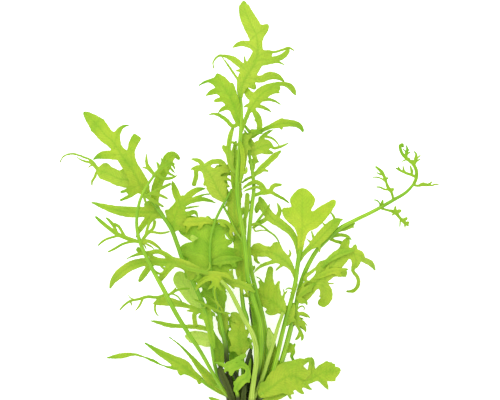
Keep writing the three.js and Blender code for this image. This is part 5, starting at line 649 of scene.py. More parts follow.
        "rib": [[37, 60.8, 26.6, 0.8], [40.6, 62.4, 27, 2.6], [44.8, 64.2, 27.2, 3], [49.4, 65, 26.8, 2.2],
        [54, 65.4, 25.8, 0.8]],
        "lobes": [[1.6, [[43.8, 66.2], [44.6, 67.6]], 1.6, 0], [2.6, [[49, 63], [51.4, 61.8]], 2.4, -1.4]]},
    "gap_flap": {"tone": "pale",
        "rib": [[15, 24, 18.6, 1], [15.3, 28, 19.6, 4.2], [15, 32, 20, 3.4], [14.4, 35.6, 20, 0.8]]},
    "gap_back": {"tone": "deep",
        "rib": [[-2.6, 5, 7.4, 1.6], [-3, 10, 8, 4.4], [-3.4, 16, 8.6, 5.6], [-3.2, 22, 9, 5],
        [-2.6, 27, 9, 1.2]]},
    "foot_leaf_right": {
        "rib": [[7.6, -0.5, 9.6, 1.6], [10.4, 1.4, 9.4, 3], [13.4, 2, 8.6, 3.6], [16.4, 1.4, 7.6, 1.8],
        [18.6, 0.6, 7, 0.5]],
        "lobes": [[1.6, [[12.6, 3.8], [14.4, 4]], 2, 0], [2.2, [[15.6, -0.8], [17, -1.6]], 1.6, -1]]},
    "foot_leaf_far": {"tone": "pale",
        "rib": [[16.4, -0.4, 6.4, 1], [19.6, 0.8, 6, 1.6], [22.6, 2.6, 5.4, 1.4], [25.2, 3.2, 4.8, 2.6],
        [27.2, 2.4, 4.2, 1]],
        "lobes": [[2.6, [[25, 1.2], [26, -0.6]], 1.6, -1]]},
}
oldStalks = {
    "left_sheath": [[-3.6, 0, 12, 2.8], [-6, 5, 14, 3], [-8.6, 10.6, 15.4, 3.2], [-10, 14.4, 15.8, 2.6],
        [-10.4, 17, 15.8, 0.6]],
    "left_black": [[-2.6, 0, 12.6, 2.2], [-4.6, 5, 14, 2.2], [-6.8, 10, 15.2, 2], [-8.6, 14.4, 16.4, 1.6],
        [-9.6, 16.6, 16.8, 0.5]],
    "centre_stub": [[-0.8, 0, 13, 3], [-1.6, 4, 14.4, 2.8], [-2.4, 7.6, 15.2, 2], [-2.8, 9.4, 15.4, 0.6]],
    "centre_old": [[0.4, 0, 10, 3], [0, 5, 11, 2.8], [-1.4, 10.4, 11.8, 2.4], [-3.6, 15, 12, 1.8],
        [-5.8, 18, 12, 0.6]],
    "right_old": [[2, 0, 11.2, 2.8], [2.6, 6, 12, 2.8], [3, 12, 12.8, 2.8], [3.8, 18, 13.4, 2.6],
        [5, 23, 13.8, 2], [5.6, 26.4, 13.8, 0.7]],
    "right_back": [[3.4, 0, 8, 3], [4.4, 7, 9, 2.8], [5.2, 14, 10, 2.6], [5.6, 20, 10.6, 2],
        [5.4, 24, 11, 0.6]],
    # Not stalks: dark strips along the shaded edge of the tall stem, painted shadow in the dead stalks' dark
    # finish
    "painted_stem_shadow": [[8.6, 0, 14, 1.8], [8.8, 6, 15, 1.8], [9.2, 13, 16, 1.6], [9.8, 20, 16.8, 1.3],
        [10, 26.4, 17.2, 0.5]],
    "painted_shadow_line": [[6.2, 37.5, 17, 0.3], [5.5, 41, 17.4, 0.8], [5.1, 44, 17.6, 0.9], [4.9, 47.5, 17.4, 0.3]],
}
thinStalks = {
    "high_runner": [[-8.6, 97.6, 26.3, 1], [-7, 94.6, 25, 1.1], [-4.6, 90, 24.2, 1], [-2.4, 85, 23.6, 1],
        [0.8, 80, 23.4, 0.9], [4.2, 75.4, 23.5, 0.8]],
    "column_runner": [[5.6, 99.5, 26, 0.9], [4.6, 98.4, 25.4, 0.9], [2.4, 95, 24, 0.9], [0.6, 92, 23, 0.8],
        [-0.6, 88.6, 22.6, 0.7], [-0.8, 84, 19.6, 0.6]],
    "middle_runner": [[4.2, 34, 18, 1], [3.9, 38, 18.8, 1.4], [3.4, 41.5, 20, 1.8], [2, 45, 21, 2],
        [1.2, 50, 22, 2], [0.8, 54, 24, 1.8], [0.3, 58, 28.6, 1.2]],
}


tiny = 1e-6  # mm, keeps a division from meeting zero
fewestPoints = 6  # on a line, however short


def runOf(points):
    # how far along its line each point is
    return np.concatenate([[0], np.cumsum(np.linalg.norm(np.diff(points, axis=0), axis=1))])


def smoothLine(points, step, start=None):
    # a curve through points of x, y, z and width, with a point every step; start turns its first stretch
    p = np.array(points, float)
    gaps = np.maximum(np.linalg.norm(np.diff(p[:, :3], axis=0), axis=1), tiny)
    at = np.concatenate([[0], np.cumsum(gaps)])
    rates = np.diff(p, axis=0) / gaps[:, None]
    slopes = np.vstack([rates[:1], rates[-1:]]) if len(p) == 2 else np.empty_like(p)
    if len(p) > 2:
        ahead, behind = gaps[1:, None], gaps[:-1, None]
        slopes[1:-1] = (rates[:-1] * ahead + rates[1:] * behind) / (ahead + behind)
        before, after = rates[:-1, 3], rates[1:, 3]
        level = before * after <= 0
        slopes[1:-1, 3] = np.where(level, 0, 2 * before * after / np.where(level, 1, before + after))
        slopes[0] = 1.5 * rates[0] - 0.5 * slopes[1]
        slopes[-1] = 1.5 * rates[-1] - 0.5 * slopes[-2]
        slopes[0, 3], slopes[-1, 3] = rates[0, 3], rates[-1, 3]
    if start is not None:
        slopes[0, :3] = start
    count = max(int(at[-1] / step) + 1, fewestPoints)
    s = np.linspace(0, at[-1], count)
    i = np.clip(np.searchsorted(at, s, side="right") - 1, 0, len(p) - 2)
    g = gaps[i][:, None]
    t = ((s - at[i]) / gaps[i])[:, None]
    curve = ((1 + 2 * t) * (1 - t) ** 2 * p[i] + t * (1 - t) ** 2 * g * slopes[i]
             + t * t * (3 - 2 * t) * p[i + 1] + t * t * (t - 1) * g * slopes[i + 1])
    curve[:, 3] = np.maximum(curve[:, 3], 0)
    along = runOf(curve[:, :2])
    way = np.gradient(curve[:, :2], axis=0)
    way /= np.maximum(np.linalg.norm(way, axis=1), tiny)[:, None]
    return {"curve": curve, "along": along, "way": way, "knots": np.interp(at, s, along)}


lobeForms = {  # pairs of how far along a lobe and the share of its full width there
    "point": [[0, 0.8], [0.25, 0.97], [0.45, 1], [0.65, 0.86], [0.85, 0.52], [1, 0]],
    "round": [[0, 0.75], [0.5, 1], [0.8, 0.86], [1, 0.42]],
    "square": [[0, 0.8], [0.5, 0.9], [1, 0.85]],
    "tail": [[0, 0.9], [0.35, 1], [0.6, 0.4], [1, 0.12]],
}
liftPower = 1.6  # how late along its length a lobe bends down or up
setOff = 0.6  # how much a lobe sets off along its rib
shortRun = 0.1  # mm, the shortest first stretch that its slope is taken over


def formOf(lobe):
    return lobe[4] if len(lobe) > 4 else "point"


def lobeLine(rib, ribPoints, lobe, step):
    at, path, width, rise = lobe[:4]
    form = formOf(lobe)
    s = np.interp(at, np.arange(len(ribPoints)), rib["knots"])
    root = [np.interp(s, rib["along"], rib["curve"][:, k]) for k in range(3)]
    ahead = np.array([np.interp(s, rib["along"], rib["way"][:, k]) for k in range(2)])
    flat = np.array([root[:2], *path])
    run = runOf(flat)
    share = run / run[-1]
    if isinstance(width, list):
        full = np.interp(share, share[: len(width)], width)
    else:
        full = width * np.interp(share, *np.array(lobeForms[form]).T)
    points = np.column_stack([flat, root[2] + rise * share ** liftPower, full])
    chord = (flat[1] - flat[0]) / max(np.linalg.norm(flat[1] - flat[0]), tiny)
    turn = chord + setOff * ahead * max(float(chord @ ahead), 0)
    start = np.append(turn / np.linalg.norm(turn), (points[1, 2] - points[0, 2]) / max(run[1], shortRun))
    line = smoothLine(points, step, start)
    if not isinstance(width, list):  # the form holds at every point, not only where the path bends
        place = line["along"] / line["along"][-1]
        line["curve"][:, 3] = width * np.interp(place, *np.array(lobeForms[form]).T)
    line["curve"][:, 2] = root[2] + rise * (line["along"] / line["along"][-1]) ** liftPower
    return line


blade = {
    "cell": 0.36,  # mm between the points of a broad blade's mesh
    "step": 0.4,  # mm between the points of its lines
    "fineCell": 0.21,  # the same two on a blade of fine segments
    "fineStep": 0.25,
    "fineWidth": 2.3,  # a blade no wider than this is one of fine segments
    "snap": 0.3,  # share of a cell within which a point moves onto the margin
    "thickness": 0.42,
    "edge": 0.14,  # thickness at the margin
    "roundOff": 0.55,  # how far in from the margin the blade reaches its thickness
    "narrowHalf": 1.3,  # half width under which a segment gets thicker, by up to narrowExtra a side
    "narrowExtra": 0.2,
    "greenHalf": 2.2,  # half width under which a segment gets greener
    "leastHalf": 0.4,  # half widths count as no less than this
    "fillet": 0.42,  # of a lobe's width, the rounding between it and the rib, within filletRange
    "filletRange": (0.3, 1.9),
    "lobeFillet": 0.3,  # the rounding between two lobes
    "blend": 1.1,  # mm over which the heights of rib and lobes run together
    "fineBlend": 0.5,
    "midrib": 0.5,  # height of the midrib below the blade, at the leaf's foot
    "midribTaper": 0.75,
    "lobeRib": 0.22,
    "ribAbove": 0.3,  # share of a rib's height that stands above the blade
    "ribHalf": 0.28,  # half width of a rib, and how much of its height adds to that
    "ribSpread": 0.5,
    "ribbedHalf": 1.6,  # half width at which a lobe has its full rib
    "fold": 0.13,  # how steeply the two halves of a blade stand up from its midrib
    "foldShare": (0.2, 1),  # least and most of that on one lobe
    "foldStart": 0.25,  # share of the length over which it sets in
    "foldSoft": 0.4,
    "tilt": 0.16,  # how steeply a lobe may lean aside, and a rib
    "ribTilt": 0.05,
    "tiltStart": (0.15, 0.6),
    "wave": 0.34,  # height of the waves along a margin
    "waveLength": 8.5,
    "waveHalf": 3,  # half width at which a margin waves fully
    "waveMost": 1.5,
    "waveOffset": 1.1,  # radians between the waves of the two margins
    "crenation": 0.11,
    "fineCrenation": 0.02,
    "crenationShare": 0.4,
    "crenationWaves": [[1.9, 1.3, 1, 1], [-1.2, 2.6, 2, 1], [4.3, 3.1, 0, 0.6]],  # x, y, seed, height
    "stiffWidth": 6.0,  # a blade wider than this lies flatter, the more so the wider it is
    "wideEnd": 0.12,  # a lobe whose last half width is more than this ends in an arch
    "endReach": 2.5,  # of that half width, how far back the arch works
    "endRound": 0.7,
    "arch": 0.5,  # of that half width, how far the corners of an end fall back
    "squareArch": 0.12,
    "reach": 4,  # mm past a lobe within which it counts
    "farAway": 99.0,
    "veinsCalm": 1.5,  # mm from another lobe at which side veins show fully
    "ribTip": 0.8,  # how much of a tip's green the rib's own tip has
    "clearance": 0.02,  # mm above the surface that the plant lies on
    "fullTurn": 6.3,  # radians, for the draws
    "batch": 3000,  # places worked out at a time
}


def smoothMin(a, b, k):
    h = np.clip(0.5 + 0.5 * (b - a) / k, 0, 1)
    return b * (1 - h) + a * h - k * h * (1 - h)


def ease(x, low, high):
    t = np.clip((x - low) / (high - low), 0, 1)
    return t * t * (3 - 2 * t)


def nearLine(line, places, step):
    # how far past the line's margin each place is, and where along and aside of the line
    curve, way = line["curve"], line["way"]
    half = curve[:, 3] / 2
    best = np.empty(len(places), int)
    for first in range(0, len(places), blade["batch"]):
        part = places[first:first + blade["batch"]]
        reach = np.hypot(part[:, :1] - curve[:, 0], part[:, 1:] - curve[:, 1]) - half
        best[first:first + blade["batch"]] = reach.argmin(1)
    gap = places - curve[best, :2]
    ahead = (gap * way[best]).sum(1)
    aside = way[best, 0] * gap[:, 1] - way[best, 1] * gap[:, 0]
    along = np.clip(line["along"][best] + np.clip(ahead, -step, step), 0, line["along"][-1])
    width = np.interp(along, line["along"], half)
    past = np.hypot(aside, np.maximum(np.abs(ahead) - step, 0)) - width
    past = np.where(best == 0, np.hypot(aside, np.minimum(ahead, 0)) - width, past)
    last = half[-1]
    if last > blade["wideEnd"]:  # a wide end closes in a low arch across the line
        end = places - curve[-1, :2]
        off = way[-1, 0] * end[:, 1] - way[-1, 1] * end[:, 0]
        closing = end @ way[-1] + line["arch"] * off ** 2 / last
        nearEnd = along > line["along"][-1] - blade["endReach"] * last
        past = np.where(nearEnd, -smoothMin(-past, -closing, blade["endRound"] * min(last, 1)), past)
    return past, along, aside, width


def surfaceAt(lines, places, look, step, edgeOnly=False):
    # a leaf's surface over flat places: distance past its margin, height, and what its finish reads
    n, m = len(places), len(lines)
    past = np.full((m, n), blade["farAway"])
    height, along, aside, width, tip = (np.zeros((m, n)) for _ in range(5))
    cord = np.zeros(n)
    for k, line in enumerate(lines):
        low = line["curve"][:, :2].min(0) - line["curve"][:, 3].max() - blade["reach"]
        high = line["curve"][:, :2].max(0) + line["curve"][:, 3].max() + blade["reach"]
        near = np.flatnonzero(((places > low) & (places < high)).all(1))
        if not len(near):
            continue
        d, s, a, w = nearLine(line, places[near], step)
        past[k, near] = d
        if edgeOnly:
            continue
        share = s / line["along"][-1]
        z = np.interp(s, line["along"], line["curve"][:, 2])
        side = a / np.maximum(w, blade["leastHalf"])
        broad = np.minimum(w / blade["waveHalf"], 1)
        soft = blade["foldSoft"]
        z = z + look["fold"][k] * (np.sqrt(a * a + soft ** 2) - soft) * ease(share, 0, blade["foldStart"])
        z = z + look["tilt"][k] * a * ease(share, *blade["tiltStart"])
        phase = look["phase"][k] + np.sign(a) * blade["waveOffset"]
        z = z + blade["wave"] * broad * np.minimum(side * side, blade["waveMost"]) * np.sin(
            2 * math.pi * s / blade["waveLength"] + phase)
        height[k, near] = z
        along[k, near], aside[k, near], width[k, near], tip[k, near] = s, a, w, share
        size = (blade["midrib"] * (1 - blade["midribTaper"] * share) if k == 0
                else blade["lobeRib"] * (1 - share) * min(w.max() / blade["ribbedHalf"], 1))
        ribHalf = blade["ribHalf"] + blade["ribSpread"] * size
        bump = size * np.exp(-(a / ribHalf) ** 2) * (d < blade["lobeFillet"])
        cord[near] = np.maximum(cord[near], bump)
    margin = past[0]
    if m > 1:
        joined = np.array([smoothMin(past[0], past[k], lines[k]["fillet"]) for k in range(1, m)])
        margin = joined[0]
        for one in joined[1:]:
            margin = smoothMin(margin, one, blade["lobeFillet"])
    x, y = places.T
    ripple = sum(high * np.sin(i * x + j * y + turns * look["seed"])
                 for i, j, turns, high in blade["crenationWaves"])
    margin = margin + look["crenation"] * ripple * blade["crenationShare"]
    if edgeOnly:
        return margin
    weight = np.exp(-(past - past.min(0)) / look["blend"])
    weight /= weight.sum(0)
    order = np.argsort(past, axis=0)
    first = order[0]
    pick = np.arange(n)
    calm = (past[order[1], pick] - past[first, pick]) if m > 1 else np.full(n, blade["farAway"])
    return {"past": margin, "height": (weight * height).sum(0), "along": along[first, pick],
            "aside": aside[first, pick], "width": (weight * width).sum(0), "cord": cord,
            "tip": (weight * tip).sum(0) * np.where(first == 0, blade["ribTip"], 1),
            "calm": np.clip(calm / blade["veinsCalm"], 0, 1)}


def lattice(low, high, cell):
    # places in rows of equal triangles, and the triangles
    rise = cell * math.sqrt(3) / 2
    columns, rows = int((high[0] - low[0]) / cell) + 4, int((high[1] - low[1]) / rise) + 4
    i, j = np.meshgrid(np.arange(columns), np.arange(rows))
    places = np.stack([low[0] + (i + 0.5 * (j % 2) - 1) * cell, low[1] + (j - 1) * rise], -1).reshape(-1, 2)
    a = (i + j * columns)[:-1, :-1]
    b, c, d = a + 1, a + columns, a + columns + 1
    even = (np.arange(rows - 1) % 2 == 0)[:, None] & np.ones_like(a, bool)
    upper = np.where(even[..., None], np.stack([b, d, c], -1), np.stack([a, d, c], -1))
    lower = np.where(even[..., None], np.stack([a, b, c], -1), np.stack([a, b, d], -1))
    return places, np.concatenate([lower.reshape(-1, 3), upper.reshape(-1, 3)])


def trimmed(places, triangles, past):
    # the triangles inside the margin, with the ones across it cut on it
    places, past = places.copy(), past.copy()
    triangles = triangles[(past[triangles] < 0).any(1)]
    edges = np.unique(np.sort(np.concatenate([triangles[:, [0, 1]], triangles[:, [1, 2]],
                                              triangles[:, [2, 0]]]), axis=1), axis=0)
    a, b = edges[past[edges[:, 0]] * past[edges[:, 1]] < 0].T
    t = past[a] / (past[a] - past[b])
    cross = places[a] + (places[b] - places[a]) * t[:, None]
    ends = np.concatenate([a, b])
    reach = np.concatenate([t, 1 - t])
    cross = np.concatenate([cross, cross])
    order = np.argsort(-reach)
    order = order[reach[order] < blade["snap"]]
    places[ends[order]] = cross[order]
    old = past.copy()
    past[ends[order]] = 0
    inside = (past[triangles] <= 0).all(1) & (old[triangles].mean(1) < 0)
    mixed = (past[triangles] < 0).any(1) & (past[triangles] > 0).any(1)
    faces = [tuple(f) for f in triangles[inside]]
    made, extra = {}, []
    for face in triangles[mixed].tolist():
        corners = []
        for u, v in zip(face, face[1:] + face[:1]):
            if past[u] <= 0:
                corners.append(u)
            if past[u] * past[v] < 0:
                key = (u, v) if u < v else (v, u)
                if key not in made:
                    made[key] = len(places) + len(extra)
                    share = past[u] / (past[u] - past[v])
                    extra.append(places[u] + (places[v] - places[u]) * share)
                corners.append(made[key])
        faces += [(corners[0], corners[k], corners[k + 1]) for k in range(1, len(corners) - 1)]
    if extra:
        places = np.concatenate([places, np.array(extra)])
    return largestPart(places, np.array(faces))


def largestPart(places, faces):
    # drops every patch of faces but the one with the most
    parent = np.arange(len(places))
    while True:  # each point takes the lowest label among its face's corners
        low = parent[faces].min(1)
        new = parent.copy()
        np.minimum.at(new, faces.ravel(), np.repeat(low, 3))
        new = new[new]
        if (new == parent).all():
            break
        parent = new
    labels, counts = np.unique(parent[faces[:, 0]], return_counts=True)
    faces = faces[parent[faces[:, 0]] == labels[counts.argmax()]]
    used, index = np.unique(faces, return_inverse=True)
    return places[used], index.reshape(-1, 3)


def pointNormals(points, faces):
    normals = np.zeros_like(points)
    across = np.cross(points[faces[:, 1]] - points[faces[:, 0]], points[faces[:, 2]] - points[faces[:, 0]])
    for k in range(3):
        np.add.at(normals, faces[:, k], across)
    return normals / np.maximum(np.linalg.norm(normals, axis=1), 1e-12)[:, None]


def bladeShell(rib, lobes, seed):
    # a leaf blade as a closed shell: its points in mm, its faces and what its finish reads
    random = np.random.default_rng(seed)
    widest = max(p[3] for p in rib)
    fine = widest <= blade["fineWidth"]
    cell = blade["fineCell"] if fine else blade["cell"]
    step = blade["fineStep"] if fine else blade["step"]
    ribLine = smoothLine(rib, step)
    lines = [ribLine] + [lobeLine(ribLine, rib, lobe, step) for lobe in lobes]
    for line, form in zip(lines, ["round"] + [formOf(lobe) for lobe in lobes]):
        line["arch"] = blade["squareArch"] if form == "square" else blade["arch"]
        line["fillet"] = float(np.clip(blade["fillet"] * line["curve"][:, 3].max(), *blade["filletRange"]))
    flat = min(1, blade["stiffWidth"] / widest)
    look = {
        "fold": random.uniform(*blade["foldShare"], len(lines)) * blade["fold"] * flat,
        "tilt": random.uniform(-1, 1, len(lines)) * np.where(
            np.arange(len(lines)) == 0, blade["ribTilt"], blade["tilt"] * flat),
        "phase": random.uniform(0, blade["fullTurn"], len(lines)),
        "seed": random.uniform(0, blade["fullTurn"]),
        "blend": blade["fineBlend"] if fine else blade["blend"] / flat,
        "crenation": blade["fineCrenation"] if fine else blade["crenation"],
    }
    every = np.concatenate([line["curve"][:, :2] for line in lines])
    reach = max(line["curve"][:, 3].max() for line in lines) / 2 + 1
    places, triangles = lattice(every.min(0) - reach, every.max(0) + reach, cell)
    places, faces = trimmed(places, triangles, surfaceAt(lines, places, look, step, edgeOnly=True))
    found = surfaceAt(lines, places, look, step)
    middle = np.column_stack([places, found["height"]])
    directed = np.concatenate([faces[:, [0, 1]], faces[:, [1, 2]], faces[:, [2, 0]]])
    count = len(places)
    keys = directed[:, 0] * count + directed[:, 1]
    edge = directed[~np.isin(keys, directed[:, 1] * count + directed[:, 0])]
    depth = np.maximum(-found["past"], 0)
    depth[edge.ravel()] = 0
    rounding = np.sqrt(1 - (1 - np.clip(depth / blade["roundOff"], 0, 1)) ** 2)
    narrow = np.clip(1 - found["width"] / blade["narrowHalf"], 0, 1)
    full = blade["thickness"] / 2 + blade["narrowExtra"] * narrow
    half = blade["edge"] / 2 + (full - blade["edge"] / 2) * rounding
    normals = pointNormals(middle, faces)
    top = middle + normals * (half + blade["ribAbove"] * found["cord"] * rounding)[:, None]
    under = middle - normals * (half + found["cord"] * rounding)[:, None]
    under[:, 2] -= np.minimum(under[:, 2] - blade["clearance"], 0)
    top[:, 2] = np.maximum(top[:, 2], under[:, 2] + blade["edge"])
    wall = np.concatenate([np.column_stack([edge[:, 1], edge[:, 0], edge[:, 0] + count]),
                           np.column_stack([edge[:, 1], edge[:, 0] + count, edge[:, 1] + count])])
    hue = float(random.uniform(0, 1))
    leafMap = np.column_stack([found["along"], found["aside"], depth])
    leafTone = np.column_stack([found["tip"], found["calm"], np.clip(found["cord"] / blade["lobeRib"], 0, 1)])
    greener = np.clip(1 - found["width"] / blade["greenHalf"], 0, 1)
    shade = np.column_stack([greener, np.full(count, hue), np.ones(count)])
    return {
        "points": np.concatenate([top, under]),
        "faces": np.concatenate([faces, faces[:, ::-1] + count, wall]),
        "leafMap": np.tile(leafMap, (2, 1)),
        "leafTone": np.tile(leafTone, (2, 1)),
        "leafShade": np.concatenate([shade, shade * [1, 1, 0]]),
    }


def node(tree, kind, inputs=None, **settings):
    # adds a node; an input takes a value, a socket, or a node, whose first output it then reads
    made = tree.nodes.new(kind)
    for name, value in settings.items():
        setattr(made, name, value)
    for name, value in (inputs or {}).items():
        if isinstance(value, bpy.types.Node):
            value = value.outputs[0]
        if isinstance(value, bpy.types.NodeSocket):
            tree.links.new(value, made.inputs[name])
        else:
            made.inputs[name].default_value = value
    return made


def linear(hexColour):
    # an sRGB hex colour in linear light
    parts = [int(hexColour[k:k + 2], 16) / 255 for k in (0, 2, 4)]
    return [c / 12.92 if c <= 0.04045 else ((c + 0.055) / 1.055) ** 2.4 for c in parts] + [1]


def makeMesh(name, shells):
    # one mesh of closed shells in mm, each with its finish and what that reads
    mesh = bpy.data.meshes.new(name)
    points = np.concatenate([shell["points"] for shell in shells]) + toFrame
    starts = np.cumsum([0] + [len(shell["points"]) for shell in shells])
    faces = [tuple(int(v) + int(start) for v in face)
             for shell, start in zip(shells, starts) for face in shell["faces"]]
    mesh.from_pydata((points * mm).tolist(), [], faces)
    finishes = list(dict.fromkeys(shell["finish"] for shell in shells))
    for finish in finishes:
        mesh.materials.append(finish)
    slots = np.concatenate([np.full(len(s["faces"]), finishes.index(s["finish"])) for s in shells])
    mesh.polygons.foreach_set("material_index", slots.astype(np.int32))
    mesh.polygons.foreach_set("use_smooth", np.ones(len(slots), bool))
    for layer in ("leafMap", "leafTone", "leafShade", "stalkMap", "stalkRing"):
        if any(layer in shell for shell in shells):
            values = np.concatenate([
                shell.get(layer, np.zeros((len(shell["points"]), 3))) for shell in shells])
            attribute = mesh.attributes.new(layer, "FLOAT_VECTOR", "POINT")
            attribute.data.foreach_set("vector", values.astype(np.float32).ravel())
    mesh.update()
    return mesh


def addPiece(name, mesh, slot, *nodes):
    piece = bpy.data.objects.new(name, mesh)
    bpy.context.scene.collection.objects.link(piece)
    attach(piece, "root")
    if nodes:
        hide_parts(*nodes)
    return piece


knobsPerMetre = 900.0  # the unevenness of a root's skin


def stalkTree():
    # ridged tubes along lines; each point keeps its place on the ring and how high on a ridge it is
    tree = bpy.data.node_groups.new("Stalks along lines", "GeometryNodeTree")
    tree.interface.new_socket("Geometry", in_out="OUTPUT", socket_type="NodeSocketGeometry")
    for name, kind in (("Geometry", "Geometry"), ("Sides", "Int"), ("Ridges", "Int"),
                       ("Ridge height", "Float"), ("Unevenness", "Float"), ("Finish", "Material")):
        tree.interface.new_socket(name, in_out="INPUT", socket_type="NodeSocket" + kind)
    start = node(tree, "NodeGroupInput").outputs
    curve = node(tree, "GeometryNodeMeshToCurve", {"Mesh": start["Geometry"]})
    ring = node(tree, "GeometryNodeCurvePrimitiveCircle", {"Resolution": start["Sides"], "Radius": 1.0})
    where = node(tree, "GeometryNodeInputPosition")
    ring = node(tree, "GeometryNodeStoreNamedAttribute", {"Geometry": ring, "Name": "ring", "Value": where},
                data_type="FLOAT_VECTOR")
    place = node(tree, "GeometryNodeSplineParameter")
    turns = node(tree, "ShaderNodeMath", {0: start["Ridges"], 1: 2 * math.pi}, operation="MULTIPLY")
    angle = node(tree, "ShaderNodeMath", {0: turns, 1: place}, operation="MULTIPLY")
    ridge = node(tree, "ShaderNodeMath", {0: angle}, operation="COSINE")
    ring = node(tree, "GeometryNodeStoreNamedAttribute", {"Geometry": ring, "Name": "ridge", "Value": ridge},
                data_type="FLOAT")
    stand = node(tree, "ShaderNodeMath", {0: ridge, 1: start["Ridge height"]}, operation="MULTIPLY")
    shift = node(tree, "ShaderNodeVectorMath", {0: where, "Scale": stand}, operation="SCALE")
    ring = node(tree, "GeometryNodeSetPosition", {"Geometry": ring, "Offset": shift})
    width = node(tree, "GeometryNodeInputNamedAttribute", {"Name": "radius"}, data_type="FLOAT")
    tube = node(tree, "GeometryNodeCurveToMesh", {
        "Curve": curve, "Profile Curve": ring, "Scale": width, "Fill Caps": True})
    grain = node(tree, "ShaderNodeTexNoise", {"Scale": knobsPerMetre, "Detail": 1.0})
    even = node(tree, "ShaderNodeMath", {0: grain, 1: 0.5}, operation="SUBTRACT")
    rough = node(tree, "ShaderNodeMath", {0: even, 1: start["Unevenness"]}, operation="MULTIPLY")
    normal = node(tree, "GeometryNodeInputNormal")
    knobs = node(tree, "ShaderNodeVectorMath", {0: normal, "Scale": rough}, operation="SCALE")
    tube = node(tree, "GeometryNodeSetPosition", {"Geometry": tube, "Offset": knobs})
    real = node(tree, "GeometryNodeRealizeInstances", {"Geometry": tube})
    done = node(tree, "GeometryNodeSetMaterial", {"Geometry": real, "Material": start["Finish"]})
    node(tree, "NodeGroupOutput", {"Geometry": done})
    return tree


stalkNodes = stalkTree()
stalkForms = {  # points round a stalk, ridges on it, their height as a share of its radius, and mm of knobs
    "stem": (24, 7, 0.07, 0.0),
    "leaf": (16, 5, 0.06, 0.0),
    "old": (20, 6, 0.1, 0.0),
    "thin": (12, 4, 0.06, 0.0),
    "root": (8, 3, 0.08, 0.12),
    "side root": (5, 2, 0.05, 0.0),
}
brownUntil = 0.3  # share of a brown foot's length below which it is fully brown


def readLayer(mesh, name, kind="value"):
    values = np.empty(len(mesh.vertices) * (1 if kind == "value" else 3))
    mesh.attributes[name].data.foreach_get(kind, values)
    return values if kind == "value" else values.reshape(-1, 3)


def stalkShell(lines, finish, form, foot=0.0):
    # tubes along lines of x, y, z and diameter in mm, as one shell; foot is how far up they are brown
    carrier = bpy.data.meshes.new("lines")
    points = np.concatenate([line["curve"] for line in lines])
    starts = np.cumsum([0] + [len(line["curve"]) for line in lines])
    edges = [(i, i + 1) for a, b in zip(starts, starts[1:]) for i in range(a, b - 1)]
    carrier.from_pydata((points[:, :3] * mm).tolist(), edges, [])
    along = np.concatenate([runOf(line["curve"][:, :3]) for line in lines])
    for name, values in (("radius", points[:, 3] / 2 * mm), ("along", along)):
        carrier.attributes.new(name, "FLOAT", "POINT").data.foreach_set("value", values.astype(np.float32))
    holder = bpy.data.objects.new("lines", carrier)
    bpy.context.scene.collection.objects.link(holder)
    modifier = holder.modifiers.new("stalks", "NODES")
    modifier.node_group = stalkNodes
    sides, ridges, ridgeHeight, knobs = stalkForms[form]
    values = {"Sides": sides, "Ridges": ridges, "Ridge height": ridgeHeight, "Unevenness": knobs * mm,
              "Finish": finish}
    for item in stalkNodes.interface.items_tree:
        if item.in_out == "INPUT" and item.name in values:
            modifier[item.identifier] = values[item.name]
    graph = bpy.context.evaluated_depsgraph_get()
    mesh = bpy.data.meshes.new_from_object(holder.evaluated_get(graph), depsgraph=graph)
    places, ring = readLayer(mesh, "position", "vector"), readLayer(mesh, "ring", "vector")
    run, ridge = readLayer(mesh, "along"), readLayer(mesh, "ridge")
    faces = [tuple(p.vertices) for p in mesh.polygons]
    bpy.data.objects.remove(holder)
    bpy.data.meshes.remove(mesh)
    bpy.data.meshes.remove(carrier)
    brown = 1 - ease(run, brownUntil * foot, foot) if foot else np.zeros(len(run))
    return {"points": places / mm, "faces": faces, "finish": finish,
            "stalkMap": np.column_stack([run, ridge, brown]),
            "stalkRing": np.column_stack([ring[:, :2], run])}


def newMaterial(name):
    material = bpy.data.materials.new(name)
    material.use_nodes = True
    material.node_tree.nodes.clear()
    return material, material.node_tree


leafLook = {
    "grain": 0.9,  # mm, the blade's cells, drawn coarser than the real 0.2 mm so that they show
    "grainLight": (0.86, 1.14),  # the darkest and the lightest cells
    "mottle": 11.0,  # mm, broad patches of yellower and deeper green
    "mottleRange": (0.36, 0.66),  # of the noise, where a patch starts and where it is full
    "veinGap": 1.7,  # mm between side veins
    "veinWidth": 0.36,
    "veinLean": 1.25,  # how far forward a side vein runs for each mm out
    "veinBend": 1.1,  # mm that a side vein wanders
    "veinBendSize": 350.0,  # bends to a metre
    "veinMargin": 0.6,  # mm from the margin at which a side vein is full
    "deepBase": -0.12,  # share of deeper green everywhere
    "deepShares": (0.62, 0.22, 0.5),  # more of it in patches, at tips and in narrow parts
    "bright": 0.4,  # the most that one leaf is brighter than another
    "under": 0.55,  # how much of its own colour the underside shows
    "midrib": 0.34,  # how strongly ribs and side veins show
    "sideVein": 0.24,
    "sere": (1.0, 1.07),  # toward the tip, where brown starts and where it is full
    "sereGrain": 0.12,
    "sereLeaves": (0.72, 0.85),  # the leaves it is on, by their own number from 0 to 1
    "sereMost": 0.55,
    "bump": 0.12,  # mm
    "bumpStrength": 0.5,
    "bumpGrain": 0.5,
    "through": 0.36,  # share of the light that passes through the blade
    "throughTint": (0.8, 0.95, 0.8),  # what the blade does to that light's red, green and blue
    "roughness": 0.5,
    "index": 1.42,
    "shine": 0.22,
}


